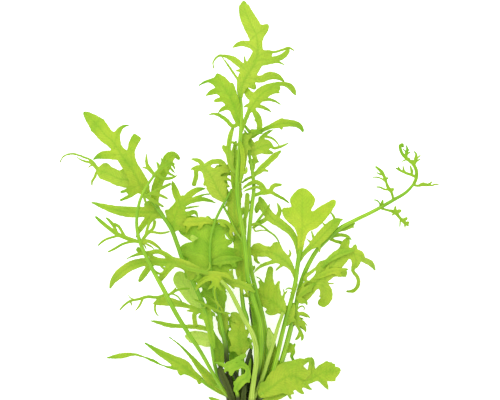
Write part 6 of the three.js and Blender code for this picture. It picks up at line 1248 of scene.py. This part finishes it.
def leafMaterial(name, look):
    material, tree = newMaterial(name)
    parts = []
    for layer in ("leafMap", "leafTone", "leafShade"):
        read = node(tree, "ShaderNodeAttribute", attribute_name=layer).outputs["Vector"]
        parts += node(tree, "ShaderNodeSeparateXYZ", {0: read}).outputs
    along, aside, depth, toTip, calm, cord, narrow, hue, side = parts
    space = node(tree, "ShaderNodeTexCoord").outputs["Object"]
    mottle = node(tree, "ShaderNodeTexNoise", {
        "Vector": space, "Scale": 1000 / leafLook["mottle"], "Detail": 3.0, "Roughness": 0.6})
    mottle = node(tree, "ShaderNodeMapRange", {
        "Value": mottle, "From Min": leafLook["mottleRange"][0], "From Max": leafLook["mottleRange"][1]})
    grain = node(tree, "ShaderNodeTexNoise", {
        "Vector": space, "Scale": 1000 / leafLook["grain"], "Detail": 2.0, "Roughness": 0.6})
    bend = node(tree, "ShaderNodeTexNoise", {
        "Vector": space, "Scale": leafLook["veinBendSize"], "Detail": 1.0})
    # side veins run forward and out from the midrib, and fade out before the margin and between lobes
    out = node(tree, "ShaderNodeMath", {0: aside}, operation="ABSOLUTE")
    run = node(tree, "ShaderNodeMath", {0: out, 1: -leafLook["veinLean"], 2: along},
               operation="MULTIPLY_ADD")
    run = node(tree, "ShaderNodeMath", {0: bend, 1: leafLook["veinBend"], 2: run},
               operation="MULTIPLY_ADD")
    gap = node(tree, "ShaderNodeMath", {0: run, 1: leafLook["veinGap"] / 2}, operation="PINGPONG")
    vein = node(tree, "ShaderNodeMapRange", {
        "Value": gap, "From Min": 0.0, "From Max": leafLook["veinWidth"], "To Min": 1.0, "To Max": 0.0})
    inner = node(tree, "ShaderNodeMapRange", {
        "Value": depth, "From Min": 0.0, "From Max": leafLook["veinMargin"]})
    vein = node(tree, "ShaderNodeMath", {0: vein, 1: inner}, operation="MULTIPLY")
    vein = node(tree, "ShaderNodeMath", {0: vein, 1: calm}, operation="MULTIPLY")
    deep = leafLook["deepBase"]
    for value, share in zip((mottle, toTip, narrow), leafLook["deepShares"]):
        deep = node(tree, "ShaderNodeMath", {0: value, 1: share, 2: deep}, operation="MULTIPLY_ADD",
                    use_clamp=value == narrow)
    bright = node(tree, "ShaderNodeMath", {0: hue, 1: leafLook["bright"]}, operation="MULTIPLY")
    below = node(tree, "ShaderNodeMath", {0: side, 1: -leafLook["under"], 2: leafLook["under"]},
                 operation="MULTIPLY_ADD")
    lines = node(tree, "ShaderNodeMath", {0: cord, 1: leafLook["midrib"]}, operation="MULTIPLY")
    lines = node(tree, "ShaderNodeMath", {0: vein, 1: leafLook["sideVein"], 2: lines},
                 operation="MULTIPLY_ADD", use_clamp=True)
    # the last of some tips has gone brown
    sere = node(tree, "ShaderNodeMath", {0: grain, 1: leafLook["sereGrain"], 2: toTip},
                operation="MULTIPLY_ADD")
    sere = node(tree, "ShaderNodeMapRange", {
        "Value": sere, "From Min": leafLook["sere"][0], "From Max": leafLook["sere"][1]})
    old = node(tree, "ShaderNodeMapRange", {
        "Value": hue, "From Min": leafLook["sereLeaves"][0], "From Max": leafLook["sereLeaves"][1],
        "To Max": leafLook["sereMost"]})
    sere = node(tree, "ShaderNodeMath", {0: sere, 1: old}, operation="MULTIPLY")
    colour = linear(look["blade"])
    layers = (deep, "deep"), (bright, "bright"), (below, "under"), (lines, "vein"), (sere, "sere")
    for share, over in layers:
        colour = node(tree, "ShaderNodeMix", {0: share, 6: colour, 7: linear(look[over])},
                      data_type="RGBA").outputs[2]
    light = node(tree, "ShaderNodeMapRange", {
        "Value": grain, "To Min": leafLook["grainLight"][0], "To Max": leafLook["grainLight"][1]})
    colour = node(tree, "ShaderNodeVectorMath", {0: colour, "Scale": light}, operation="SCALE")
    height = node(tree, "ShaderNodeMath", {0: grain, 1: leafLook["bumpGrain"], 2: vein},
                  operation="MULTIPLY_ADD")
    bump = node(tree, "ShaderNodeBump", {
        "Strength": leafLook["bumpStrength"], "Distance": leafLook["bump"] * mm, "Height": height})
    front = node(tree, "ShaderNodeBsdfPrincipled", {
        "Base Color": colour, "Roughness": leafLook["roughness"], "IOR": leafLook["index"],
        "Specular IOR Level": leafLook["shine"], "Normal": bump})
    passed = node(tree, "ShaderNodeVectorMath", {0: colour, 1: leafLook["throughTint"]},
                  operation="MULTIPLY")
    through = node(tree, "ShaderNodeBsdfTranslucent", {"Color": passed, "Normal": bump})
    both = node(tree, "ShaderNodeMixShader", {0: leafLook["through"], 1: front, 2: through})
    node(tree, "ShaderNodeOutputMaterial", {"Surface": both})
    return material


# All blades, grown under water: thin, soft and half translucent, so they glow where light comes through,
# with a green midrib, fine side veins and brown at a few tips.
# Fresh growth: the plant's own yellow-green, with deeper patches
freshBlade = leafMaterial("Fern blade, fresh yellow-green growth", {
    "blade": "b1c836", "deep": "7cb224", "bright": "bfd04c", "under": "bad266", "vein": "72ad20",
    "sere": "7d6a24"})
# Painted shade: the fresh blade in a cooler green, so that a leaf reads as lying deeper between the stems
paintedShadeBlade = leafMaterial("Fern blade, cooler green with painted shade", {
    "blade": "aacc38", "deep": "78b226", "bright": "b2d042", "under": "b4d260", "vein": "68a620",
    "sere": "6e5c22"})
# Ripe growth: yellower and lighter, with its veins paler than a fresh blade's
ripeBlade = leafMaterial("Fern blade, ripe and yellower growth", {
    "blade": "c0d03a", "deep": "94c028", "bright": "c8d44a", "under": "c8da70", "vein": "8cb62c",
    "sere": "7d6a24"})
# Young growth: a pale milky yellow-green with soft patches
paleBlade = leafMaterial("Fern blade, young pale growth", {
    "blade": "c6dc5e", "deep": "a8cd46", "bright": "d6e47c", "under": "d0e280", "vein": "9cc644",
    "sere": "8f7d3c"})
# Dead leaf base: a flat dry sheath, dark olive-brown and dull
deadBlade = leafMaterial("Fern sheath, dead and dark", {
    "blade": "56682a", "deep": "3a481e", "bright": "66722e", "under": "545e2a", "vein": "2a3214",
    "sere": "262a14"})

stalkLook = {
    "streak": 0.42,  # of a stalk's radius, the width of the streaks along it
    "streakLength": 7.0,  # mm
    "streakLight": (0.8, 1.2),  # the darkest and the lightest streaks
    "patchSize": 70.0,  # patches to a metre
    "patch": 0.6,  # how strongly they show
    "ridgeFull": 0.6,  # how high on a ridge its colour is full, from -1 in the groove to 1
    "footStreaks": 0.9,  # how raggedly the brown foot ends
    "footReach": 1.25,
    "footRange": (0.1, 0.9),
    "bump": 0.15,  # mm
    "bumpStrength": 0.5,
    "through": 0.18,  # share of the light that passes through the skin
    "roughness": 0.42,
    "index": 1.42,
    "shine": 0.3,
}


def stalkMaterial(name, look):
    material, tree = newMaterial(name)
    read = node(tree, "ShaderNodeAttribute", attribute_name="stalkMap").outputs["Vector"]
    _, ridge, brown = node(tree, "ShaderNodeSeparateXYZ", {0: read}).outputs
    ring = node(tree, "ShaderNodeAttribute", attribute_name="stalkRing").outputs["Vector"]
    across = 1 / stalkLook["streak"]
    stretch = node(tree, "ShaderNodeMapping", {
        "Vector": ring, "Scale": (across, across, 1 / stalkLook["streakLength"])})
    streaks = node(tree, "ShaderNodeTexNoise", {"Vector": stretch, "Scale": 1.0, "Detail": 3.0})
    space = node(tree, "ShaderNodeTexCoord").outputs["Object"]
    patches = node(tree, "ShaderNodeTexNoise", {
        "Vector": space, "Scale": stalkLook["patchSize"], "Detail": 3.0})
    patches = node(tree, "ShaderNodeMapRange", {"Value": patches, "From Min": 0.38, "From Max": 0.62})
    deeper = node(tree, "ShaderNodeMath", {0: patches, 1: stalkLook["patch"]}, operation="MULTIPLY")
    high = node(tree, "ShaderNodeMapRange", {
        "Value": ridge, "From Min": -1.0, "From Max": stalkLook["ridgeFull"]})
    ragged = stalkLook["footStreaks"]
    foot = node(tree, "ShaderNodeMath", {0: streaks, 1: ragged, 2: -ragged / 2},
                operation="MULTIPLY_ADD")
    foot = node(tree, "ShaderNodeMath", {0: brown, 1: stalkLook["footReach"], 2: foot},
                operation="MULTIPLY_ADD")
    foot = node(tree, "ShaderNodeMapRange", {
        "Value": foot, "From Min": stalkLook["footRange"][0], "From Max": stalkLook["footRange"][1]})
    colour = linear(look["groove"])
    for share, over in ((high, "ridge"), (deeper, "groove"), (foot, "foot")):
        colour = node(tree, "ShaderNodeMix", {0: share, 6: colour, 7: linear(look[over])},
                      data_type="RGBA").outputs[2]
    light = node(tree, "ShaderNodeMapRange", {
        "Value": streaks, "From Min": 0.25, "From Max": 0.75,
        "To Min": stalkLook["streakLight"][0], "To Max": stalkLook["streakLight"][1]})
    colour = node(tree, "ShaderNodeVectorMath", {0: colour, "Scale": light}, operation="SCALE")
    bump = node(tree, "ShaderNodeBump", {
        "Strength": stalkLook["bumpStrength"], "Distance": stalkLook["bump"] * mm, "Height": streaks})
    skin = node(tree, "ShaderNodeBsdfPrincipled", {
        "Base Color": colour, "Roughness": stalkLook["roughness"], "IOR": stalkLook["index"],
        "Specular IOR Level": stalkLook["shine"], "Normal": bump})
    glow = node(tree, "ShaderNodeBsdfTranslucent", {"Color": colour, "Normal": bump})
    both = node(tree, "ShaderNodeMixShader", {0: stalkLook["through"], 1: skin, 2: glow})
    node(tree, "ShaderNodeOutputMaterial", {"Surface": both})
    return material


# Green stalk: fleshy and waxy, ribbed and streaked lengthwise, with yellower ribs and a brown foot
greenStalk = stalkMaterial("Fern stalk, green ribbed skin", {
    "ridge": "a4ca34", "groove": "6ea822", "foot": "39401a"})
# Darker stalk: the same skin in a deeper green, painted shade on the stalks of the fronds at the middle
paintedShadeStalk = stalkMaterial("Fern stalk, green skin with painted shade", {
    "ridge": "98c432", "groove": "66a224", "foot": "39401a"})
# Young stalk: the same skin, milky and pale, with hardly any brown at its foot
paleStalk = stalkMaterial("Fern stalk, pale young skin", {
    "ridge": "b9cf5c", "groove": "93b83a", "foot": "7d9440"})
# Old leaf base: a dead stalk, fibrous and dull, dark olive-brown with black streaks
oldStalk = stalkMaterial("Fern stalk, dead and dark", {
    "ridge": "566a26", "groove": "34421a", "foot": "2a3216"})

barkLook = {
    "along": 0.3,  # how much the fibres are drawn out along the plant
    "colourAt": (0.34, 0.52, 0.7),  # of the noise, where each colour stands
    "patchSize": 260.0,  # patches to a metre
    "patchLight": (0.65, 1.25),
    "bump": 0.3,  # mm
    "bumpStrength": 0.8,
    "shine": 0.25,
}


def barkMaterial(name, colours, grainSize, roughness):
    material, tree = newMaterial(name)
    space = node(tree, "ShaderNodeTexCoord").outputs["Object"]
    stretch = node(tree, "ShaderNodeMapping", {"Vector": space, "Scale": (1.0, barkLook["along"], 1.0)})
    fibre = node(tree, "ShaderNodeTexNoise", {
        "Vector": stretch, "Scale": 1000 / grainSize, "Detail": 5.0, "Roughness": 0.65})
    patch = node(tree, "ShaderNodeTexNoise", {
        "Vector": space, "Scale": barkLook["patchSize"], "Detail": 3.0})
    ramp = node(tree, "ShaderNodeValToRGB", {0: fibre})
    stops = ramp.color_ramp.elements
    for number, (place, value) in enumerate(zip(barkLook["colourAt"], colours)):
        stop = stops[0] if number == 0 else stops.new(place)
        stop.position, stop.color = place, linear(value)
    stops.remove(stops[-1])
    shade = node(tree, "ShaderNodeMapRange", {
        "Value": patch, "From Min": 0.3, "From Max": 0.7,
        "To Min": barkLook["patchLight"][0], "To Max": barkLook["patchLight"][1]})
    colour = node(tree, "ShaderNodeVectorMath", {0: ramp, "Scale": shade}, operation="SCALE")
    bump = node(tree, "ShaderNodeBump", {
        "Strength": barkLook["bumpStrength"], "Distance": barkLook["bump"] * mm, "Height": fibre})
    skin = node(tree, "ShaderNodeBsdfPrincipled", {
        "Base Color": colour, "Roughness": roughness, "Specular IOR Level": barkLook["shine"],
        "Normal": bump})
    node(tree, "ShaderNodeOutputMaterial", {"Surface": skin})
    return material


# Fern rhizome: short and woody, scaly with old leaf bases, olive-brown and matt
crownBark = barkMaterial("Fern rhizome, scaly olive-brown skin", ("1f1d10", "383a1c", "5c5c30"), 1.2, 0.8)
# Fern root: thin and wiry, dark brown with paler fibres
rootSkin = barkMaterial("Fern root, dark wiry skin", ("21160d", "3c2a1a", "634a30"), 0.8, 0.72)


slotOfTone = {"fresh": "leaf", "warm": "leaf", "deep": "shaded_leaf", "pale": "pale_leaf"}
bladeOfTone = {
    "fresh": freshBlade, "warm": ripeBlade, "deep": paintedShadeBlade, "pale": paleBlade, "old": deadBlade}
seeds = {"leaf": 100, "inner": 300, "twig": 500, "shoot": 700}  # the first of each kind's own draws
stalkOfTone = {"stem": greenStalk, "dark": paintedShadeStalk, "pale": paleStalk}
stalks = {
    "step": 0.9,  # mm between the rings of a stalk
    "intoCrown": 3.5,  # how far a stalk's foot goes into the crown
    "sheath": 1.28,  # how much wider the foot is, where it clasps the crown
    "sheathSpan": (2, 9.0),  # mm from the foot between which it narrows
    "leafBrown": 8,  # mm of brown foot on a leaf's own stalk from the crown
}


def stalkLine(points, fromCrown):
    points = [list(p) for p in points]
    if fromCrown:
        points.insert(0, [points[0][0], points[0][1] - stalks["intoCrown"], *points[0][2:]])
    line = smoothLine(points, stalks["step"])
    if fromCrown:
        narrowing = 1 - ease(runOf(line["curve"][:, :3]), *stalks["sheathSpan"])
        line["curve"][:, 3] *= 1 + (stalks["sheath"] - 1) * narrowing
    return line


def dressedBlade(leaf, seed, tone="fresh"):
    tone = leaf.get("tone", tone)
    return {**bladeShell(leaf["rib"], leaf.get("lobes", []), seed), "finish": bladeOfTone[tone]}


for number, (name, stem) in enumerate(stems.items()):
    tone = stem.get("tone", "stem")
    shells = [stalkShell([stalkLine(stem["line"], True)], stalkOfTone[tone], "stem", stem["brown"])]
    shells += [dressedBlade(twig, seeds["twig"] + number) for twig in stem.get("twigs", [])]
    addPiece(name + "_skin", makeMesh(name, shells), "pale_leaf" if tone == "pale" else "stem", name)
print("stems made")

for number, (name, leaf) in enumerate(leaves.items()):
    shells = [dressedBlade(leaf, seeds["leaf"] + number)]
    if "stalk" in leaf:
        fromCrown = not leaf.get("onStem")
        finish = paleStalk if leaf.get("tone") == "pale" else greenStalk
        shells.append(stalkShell([stalkLine(leaf["stalk"], fromCrown)], finish, "leaf",
                                 stalks["leafBrown"] if fromCrown else 0))
    addPiece(name + "_blade", makeMesh(name, shells), slotOfTone[leaf.get("tone", "fresh")], name)
print("leaves made")

for number, (name, leaf) in enumerate(innerLeaves.items()):
    shell = dressedBlade(leaf, seeds["inner"] + number)
    addPiece(name + "_inner", makeMesh(name, [shell]), slotOfTone[leaf.get("tone", "fresh")])
for name, points in oldStalks.items():
    shell = stalkShell([stalkLine(points, points[0][1] == 0)], oldStalk, "old")
    addPiece(name + "_old", makeMesh(name, [shell]), "crown")
for name, points in thinStalks.items():
    shell = stalkShell([stalkLine(points, False)], greenStalk, "thin")
    addPiece(name + "_inner", makeMesh(name, [shell]), "stem")
print("inner leaves and old stalks made")


goldenAngle = 2.39996  # radians from one scale or strand to the next, which spreads them evenly
crown = {
    "rings": [[-16.6, 0.4], [-16.2, 3.4], [-14.8, 6.8], [-12.5, 8.7], [-9, 9.3], [-4.5, 9.3],
              [-1.5, 8.6], [0.3, 6.6], [1.3, 3.4], [1.6, 0.4]],  # y and radius
    "middle": [2, 9.3],  # x and z
    "sides": 96,
    "ringStep": 0.3,
    "scales": 46,  # old leaf bases
    "scalesFrom": -15,  # y of the first, and how far up the last is
    "scalesSpan": 15.5,
    "scaleHeight": 1.3,
    "scaleLeast": 0.6,  # the lowest scale's share of that
    "scaleHalf": 1.9 / 8,  # radians
    "scaleLength": 3.2,
    "scalePeak": 0.3,  # share of its length at which a scale stands highest
    "scaleLip": 0.95,  # share past which it drops to lipHeight
    "lipHeight": 0.2,
    "scaleTurn": 0.2,  # radians that a scale strays
    "sink": 0.9,  # how far the bark lies under the rings' radius
    "ripple": 0.16,
    "rippleWaves": (23, 3, 1.7),  # round the crown, their sway, and how fast it sways along
    "rippleBase": 0.4,
    "closing": 2.5,  # radius under which the ends close
    "least": 0.05,
    "clearance": 0.02,  # above the surface that the plant lies on
    "oldShoots": 3,  # the first of the shoots are dead
}


def crownShell():
    random = np.random.default_rng(7)
    line = smoothLine([[0, y, 0, r] for y, r in crown["rings"]], crown["ringStep"])["curve"]
    y, radius = line[:, 1], line[:, 3]
    angle = np.arange(crown["sides"]) / crown["sides"] * 2 * math.pi
    along, around = np.meshgrid(y, angle, indexing="ij")
    lift = np.zeros(along.shape)
    for k in range(crown["scales"]):  # each scale is a tongue that overlaps the next ones down
        at = crown["scalesFrom"] + crown["scalesSpan"] * (k + 0.5) / crown["scales"]
        turn = k * goldenAngle + random.uniform(-crown["scaleTurn"], crown["scaleTurn"])
        side = ((around - turn + math.pi) % (2 * math.pi) - math.pi) / crown["scaleHalf"]
        ahead = (along - at) / crown["scaleLength"]
        shape = np.clip(1 - side ** 2, 0, 1) ** 0.5 * np.clip(
            1 - np.abs(ahead - crown["scalePeak"]), 0, 1) * np.where(
            ahead > crown["scaleLip"], crown["lipHeight"], 1)
        lift = np.maximum(lift, shape * random.uniform(crown["scaleLeast"], 1) * crown["scaleHeight"])
    waves, sway, swayRate = crown["rippleWaves"]
    ripple = crown["ripple"] * np.sin(around * waves + sway * np.sin(along * swayRate)) * (
        crown["rippleBase"] + lift)
    reach = radius[:, None] - crown["sink"] + lift + ripple
    reach = (np.maximum(reach, crown["least"]) * ease(radius, 0, crown["closing"])[:, None]
             + crown["clearance"])
    x = crown["middle"][0] + reach * np.cos(angle)
    z = np.maximum(crown["middle"][1] + reach * np.sin(angle), crown["clearance"])
    points = np.stack([x, along, z], -1).reshape(-1, 3)
    rows, columns = x.shape
    faces = [(r * columns + (c + 1) % columns, r * columns + c, (r + 1) * columns + c,
              (r + 1) * columns + (c + 1) % columns) for r in range(rows - 1) for c in range(columns)]
    faces.append(tuple(range(columns)))
    faces.append(tuple((rows - 1) * columns + c for c in reversed(range(columns))))
    return {"points": points, "faces": faces, "finish": crownBark}


shells = [crownShell()]
for number, rib in enumerate(crownShoots):
    tone = "old" if number < crown["oldShoots"] else "fresh"
    shells.append(dressedBlade({"rib": rib}, seeds["shoot"] + number, tone))
addPiece("crown_rhizome", makeMesh("crown", shells), "crown", "crown")
print("crown made")

roots = {
    "count": 52,
    "diameter": [0.5, 1.15],
    "taper": 0.72,  # how much thinner a strand's end is
    "leastDiameter": 0.05,
    "length": [15, 31],
    "points": 15,  # on a strand
    "step": 0.7,  # mm between the rings of a strand
    "from": -15.2,  # y at which the middle strands start; the outer ones start up to fromRise later
    "fromRise": 1.5,
    "fromRadius": 6.2,
    "spread": (0.35, 0.3),  # how far the strands fan out, across and up
    "wander": 0.13,  # how much a strand turns from point to point
    "wanderWays": [1, 0.4, 1],
    "droop": 0.14,
    "lying": 0.3,  # mm between a strand and the surface, and how much it stirs there
    "lyingStir": 0.1,
    "lyingWay": 0.2,
    "laterals": 7,  # fine side roots on each strand
    "lateralDiameter": 0.28,
    "lateralLength": (1.5, 4),
    "lateralFrom": (4, 14),  # the points of a strand that they leave from
    "lateralPoints": 5,
    "lateralTaper": 0.15,
    "lateralWays": [1, 0.5, 0.8],
    "lateralDown": [0, -0.8, 0],
    "lateralWander": 0.25,
    "lateralStep": 0.6,
    "margins": {"side": 0.6, "end": 0.4, "lateral": 0.25},  # mm inside the CAD's box
}


def rootLines():
    random = np.random.default_rng(11)
    low, high = (np.array(corner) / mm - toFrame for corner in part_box("roots"))
    margins, last = roots["margins"], roots["points"] - 1
    strands = []
    for k in range(roots["count"]):
        turn = k * goldenAngle
        out = math.sqrt((k + 0.5) / roots["count"])
        radius = roots["fromRadius"] * out
        place = np.array([crown["middle"][0] + radius * math.cos(turn),
                          roots["from"] + roots["fromRise"] * out,
                          crown["middle"][1] + radius * math.sin(turn)])
        length = random.uniform(*roots["length"])
        thick = random.uniform(*roots["diameter"])
        across, up = roots["spread"]
        way = np.array([across * math.cos(turn) * out, -1, up * math.sin(turn) * out])
        phase = random.uniform(0, blade["fullTurn"], 3)[0]
        points = []
        for i in range(roots["points"]):
            t = i / last
            points.append([*place, thick * (1 - roots["taper"] * t) + roots["leastDiameter"]])
            way = way + random.normal(0, roots["wander"], 3) * roots["wanderWays"]
            way[2] -= roots["droop"]
            way /= np.linalg.norm(way)
            place = place + way * length / last
            ground = roots["lying"] + thick / 2
            if place[2] < ground:
                place[2] = ground + roots["lyingStir"] * abs(math.sin(3 * t + phase))
                way[2] = abs(way[2]) * roots["lyingWay"]
            place[0] = np.clip(place[0], low[0] + margins["side"], high[0] - margins["side"])
            place[1] = max(place[1], low[1] + margins["end"])
        strands.append(points)
    fine = []
    for points in strands:
        for _ in range(roots["laterals"]):
            place = np.array(points[random.integers(*roots["lateralFrom"])][:3])
            way = random.normal(0, 1, 3) * roots["lateralWays"] + roots["lateralDown"]
            way /= np.linalg.norm(way)
            length = random.uniform(*roots["lateralLength"])
            side = []
            for s in range(roots["lateralPoints"]):
                side.append([*np.clip(place, low + margins["lateral"], high - margins["lateral"]),
                             roots["lateralDiameter"] * (1 - roots["lateralTaper"] * s)])
                way = way + random.normal(0, roots["lateralWander"], 3)
                way /= np.linalg.norm(way)
                place = place + way * length / (roots["lateralPoints"] - 1)
            fine.append(side)
    return strands, fine


strands, fineRoots = rootLines()
shells = [stalkShell([smoothLine(points, roots["step"]) for points in strands], rootSkin, "root"),
          stalkShell([smoothLine(points, roots["lateralStep"]) for points in fineRoots], rootSkin,
                     "side root")]
addPiece("root_tuft", makeMesh("roots", shells), "root", "roots")
print("roots made")


studio = {
    "view": [3.0, 105.5],  # mm, what the picture's middle shows
    "viewWidth": 250.0,
    "viewHeight": 22.0,  # the height that the picture's scale holds at
    "distance": 2600.0,
    "sensor": 36.0,
    "clipEnd": 20,  # m
    "world": 0.98,
    "lights": {"key": ((-0.6, 0.8, 1.5), 22.0), "fill": ((1.0, -0.5, 1.4), 7.0)},  # place in m, and power
    "lightSize": 1.6,
    "lightAim": (0, 0.1, 0),
    "floorHalf": 3.0,  # m
    "cardShades": ("f9f9f9", "fcfcfc"),
    "cardSpecks": 900.0,  # to a metre
    "cardRoughness": 0.9,
    "cardShine": 0.1,
    "cardGlow": 0.48,  # keeps the board white between the leaves
}
scene = bpy.context.scene

# Studio board: a matt white card with faint specks, that takes a soft shadow and glows a little
floorFinish = bpy.data.materials.new("Studio board, matt white card")
floorFinish.use_nodes = True
tree = floorFinish.node_tree
card = tree.nodes["Principled BSDF"].inputs
for name, value in (("Roughness", studio["cardRoughness"]), ("Specular IOR Level", studio["cardShine"]),
                    ("Emission Color", (1, 1, 1, 1)), ("Emission Strength", studio["cardGlow"])):
    card[name].default_value = value
space = node(tree, "ShaderNodeTexCoord").outputs["Object"]
speck = node(tree, "ShaderNodeTexNoise", {"Vector": space, "Scale": studio["cardSpecks"], "Detail": 2.0})
dark, light = (linear(shade) for shade in studio["cardShades"])
tint = node(tree, "ShaderNodeMix", {0: speck, 6: dark, 7: light}, data_type="RGBA").outputs[2]
tree.links.new(tint, card["Base Color"])
half = studio["floorHalf"]
floorMesh = bpy.data.meshes.new("floor")
floorMesh.from_pydata([(-half, -half, 0), (half, -half, 0), (half, half, 0), (-half, half, 0)], [],
                      [(0, 1, 2, 3)])
floorMesh.materials.append(floorFinish)
floor = bpy.data.objects.new("floor", floorMesh)
scene.collection.objects.link(floor)

scene.world = bpy.data.worlds.new("soft room")
scene.world.use_nodes = True
sky = scene.world.node_tree.nodes["Background"].inputs
sky["Color"].default_value = (1, 1, 1, 1)
sky["Strength"].default_value = studio["world"]

for name, (place, power) in studio["lights"].items():
    data = bpy.data.lights.new(name, "AREA")
    data.energy, data.size = power, studio["lightSize"]
    lamp = bpy.data.objects.new(name, data)
    lamp.location = place
    aim = Vector(studio["lightAim"]) - Vector(place)
    lamp.rotation_euler = aim.to_track_quat("-Z", "Y").to_euler()
    lamp.visible_camera = False
    scene.collection.objects.link(lamp)

camera = bpy.data.objects.new("camera", bpy.data.cameras.new("camera"))
scene.collection.objects.link(camera)
camera.data.sensor_width = studio["sensor"]
camera.data.lens = studio["sensor"] * studio["distance"] / studio["viewWidth"]
camera.data.clip_end = studio["clipEnd"]
camera.location = [v * mm for v in (*studio["view"], studio["distance"] + studio["viewHeight"])]
bpy.context.scene.camera = camera
scene.view_settings.view_transform = "Standard"
print("studio set")
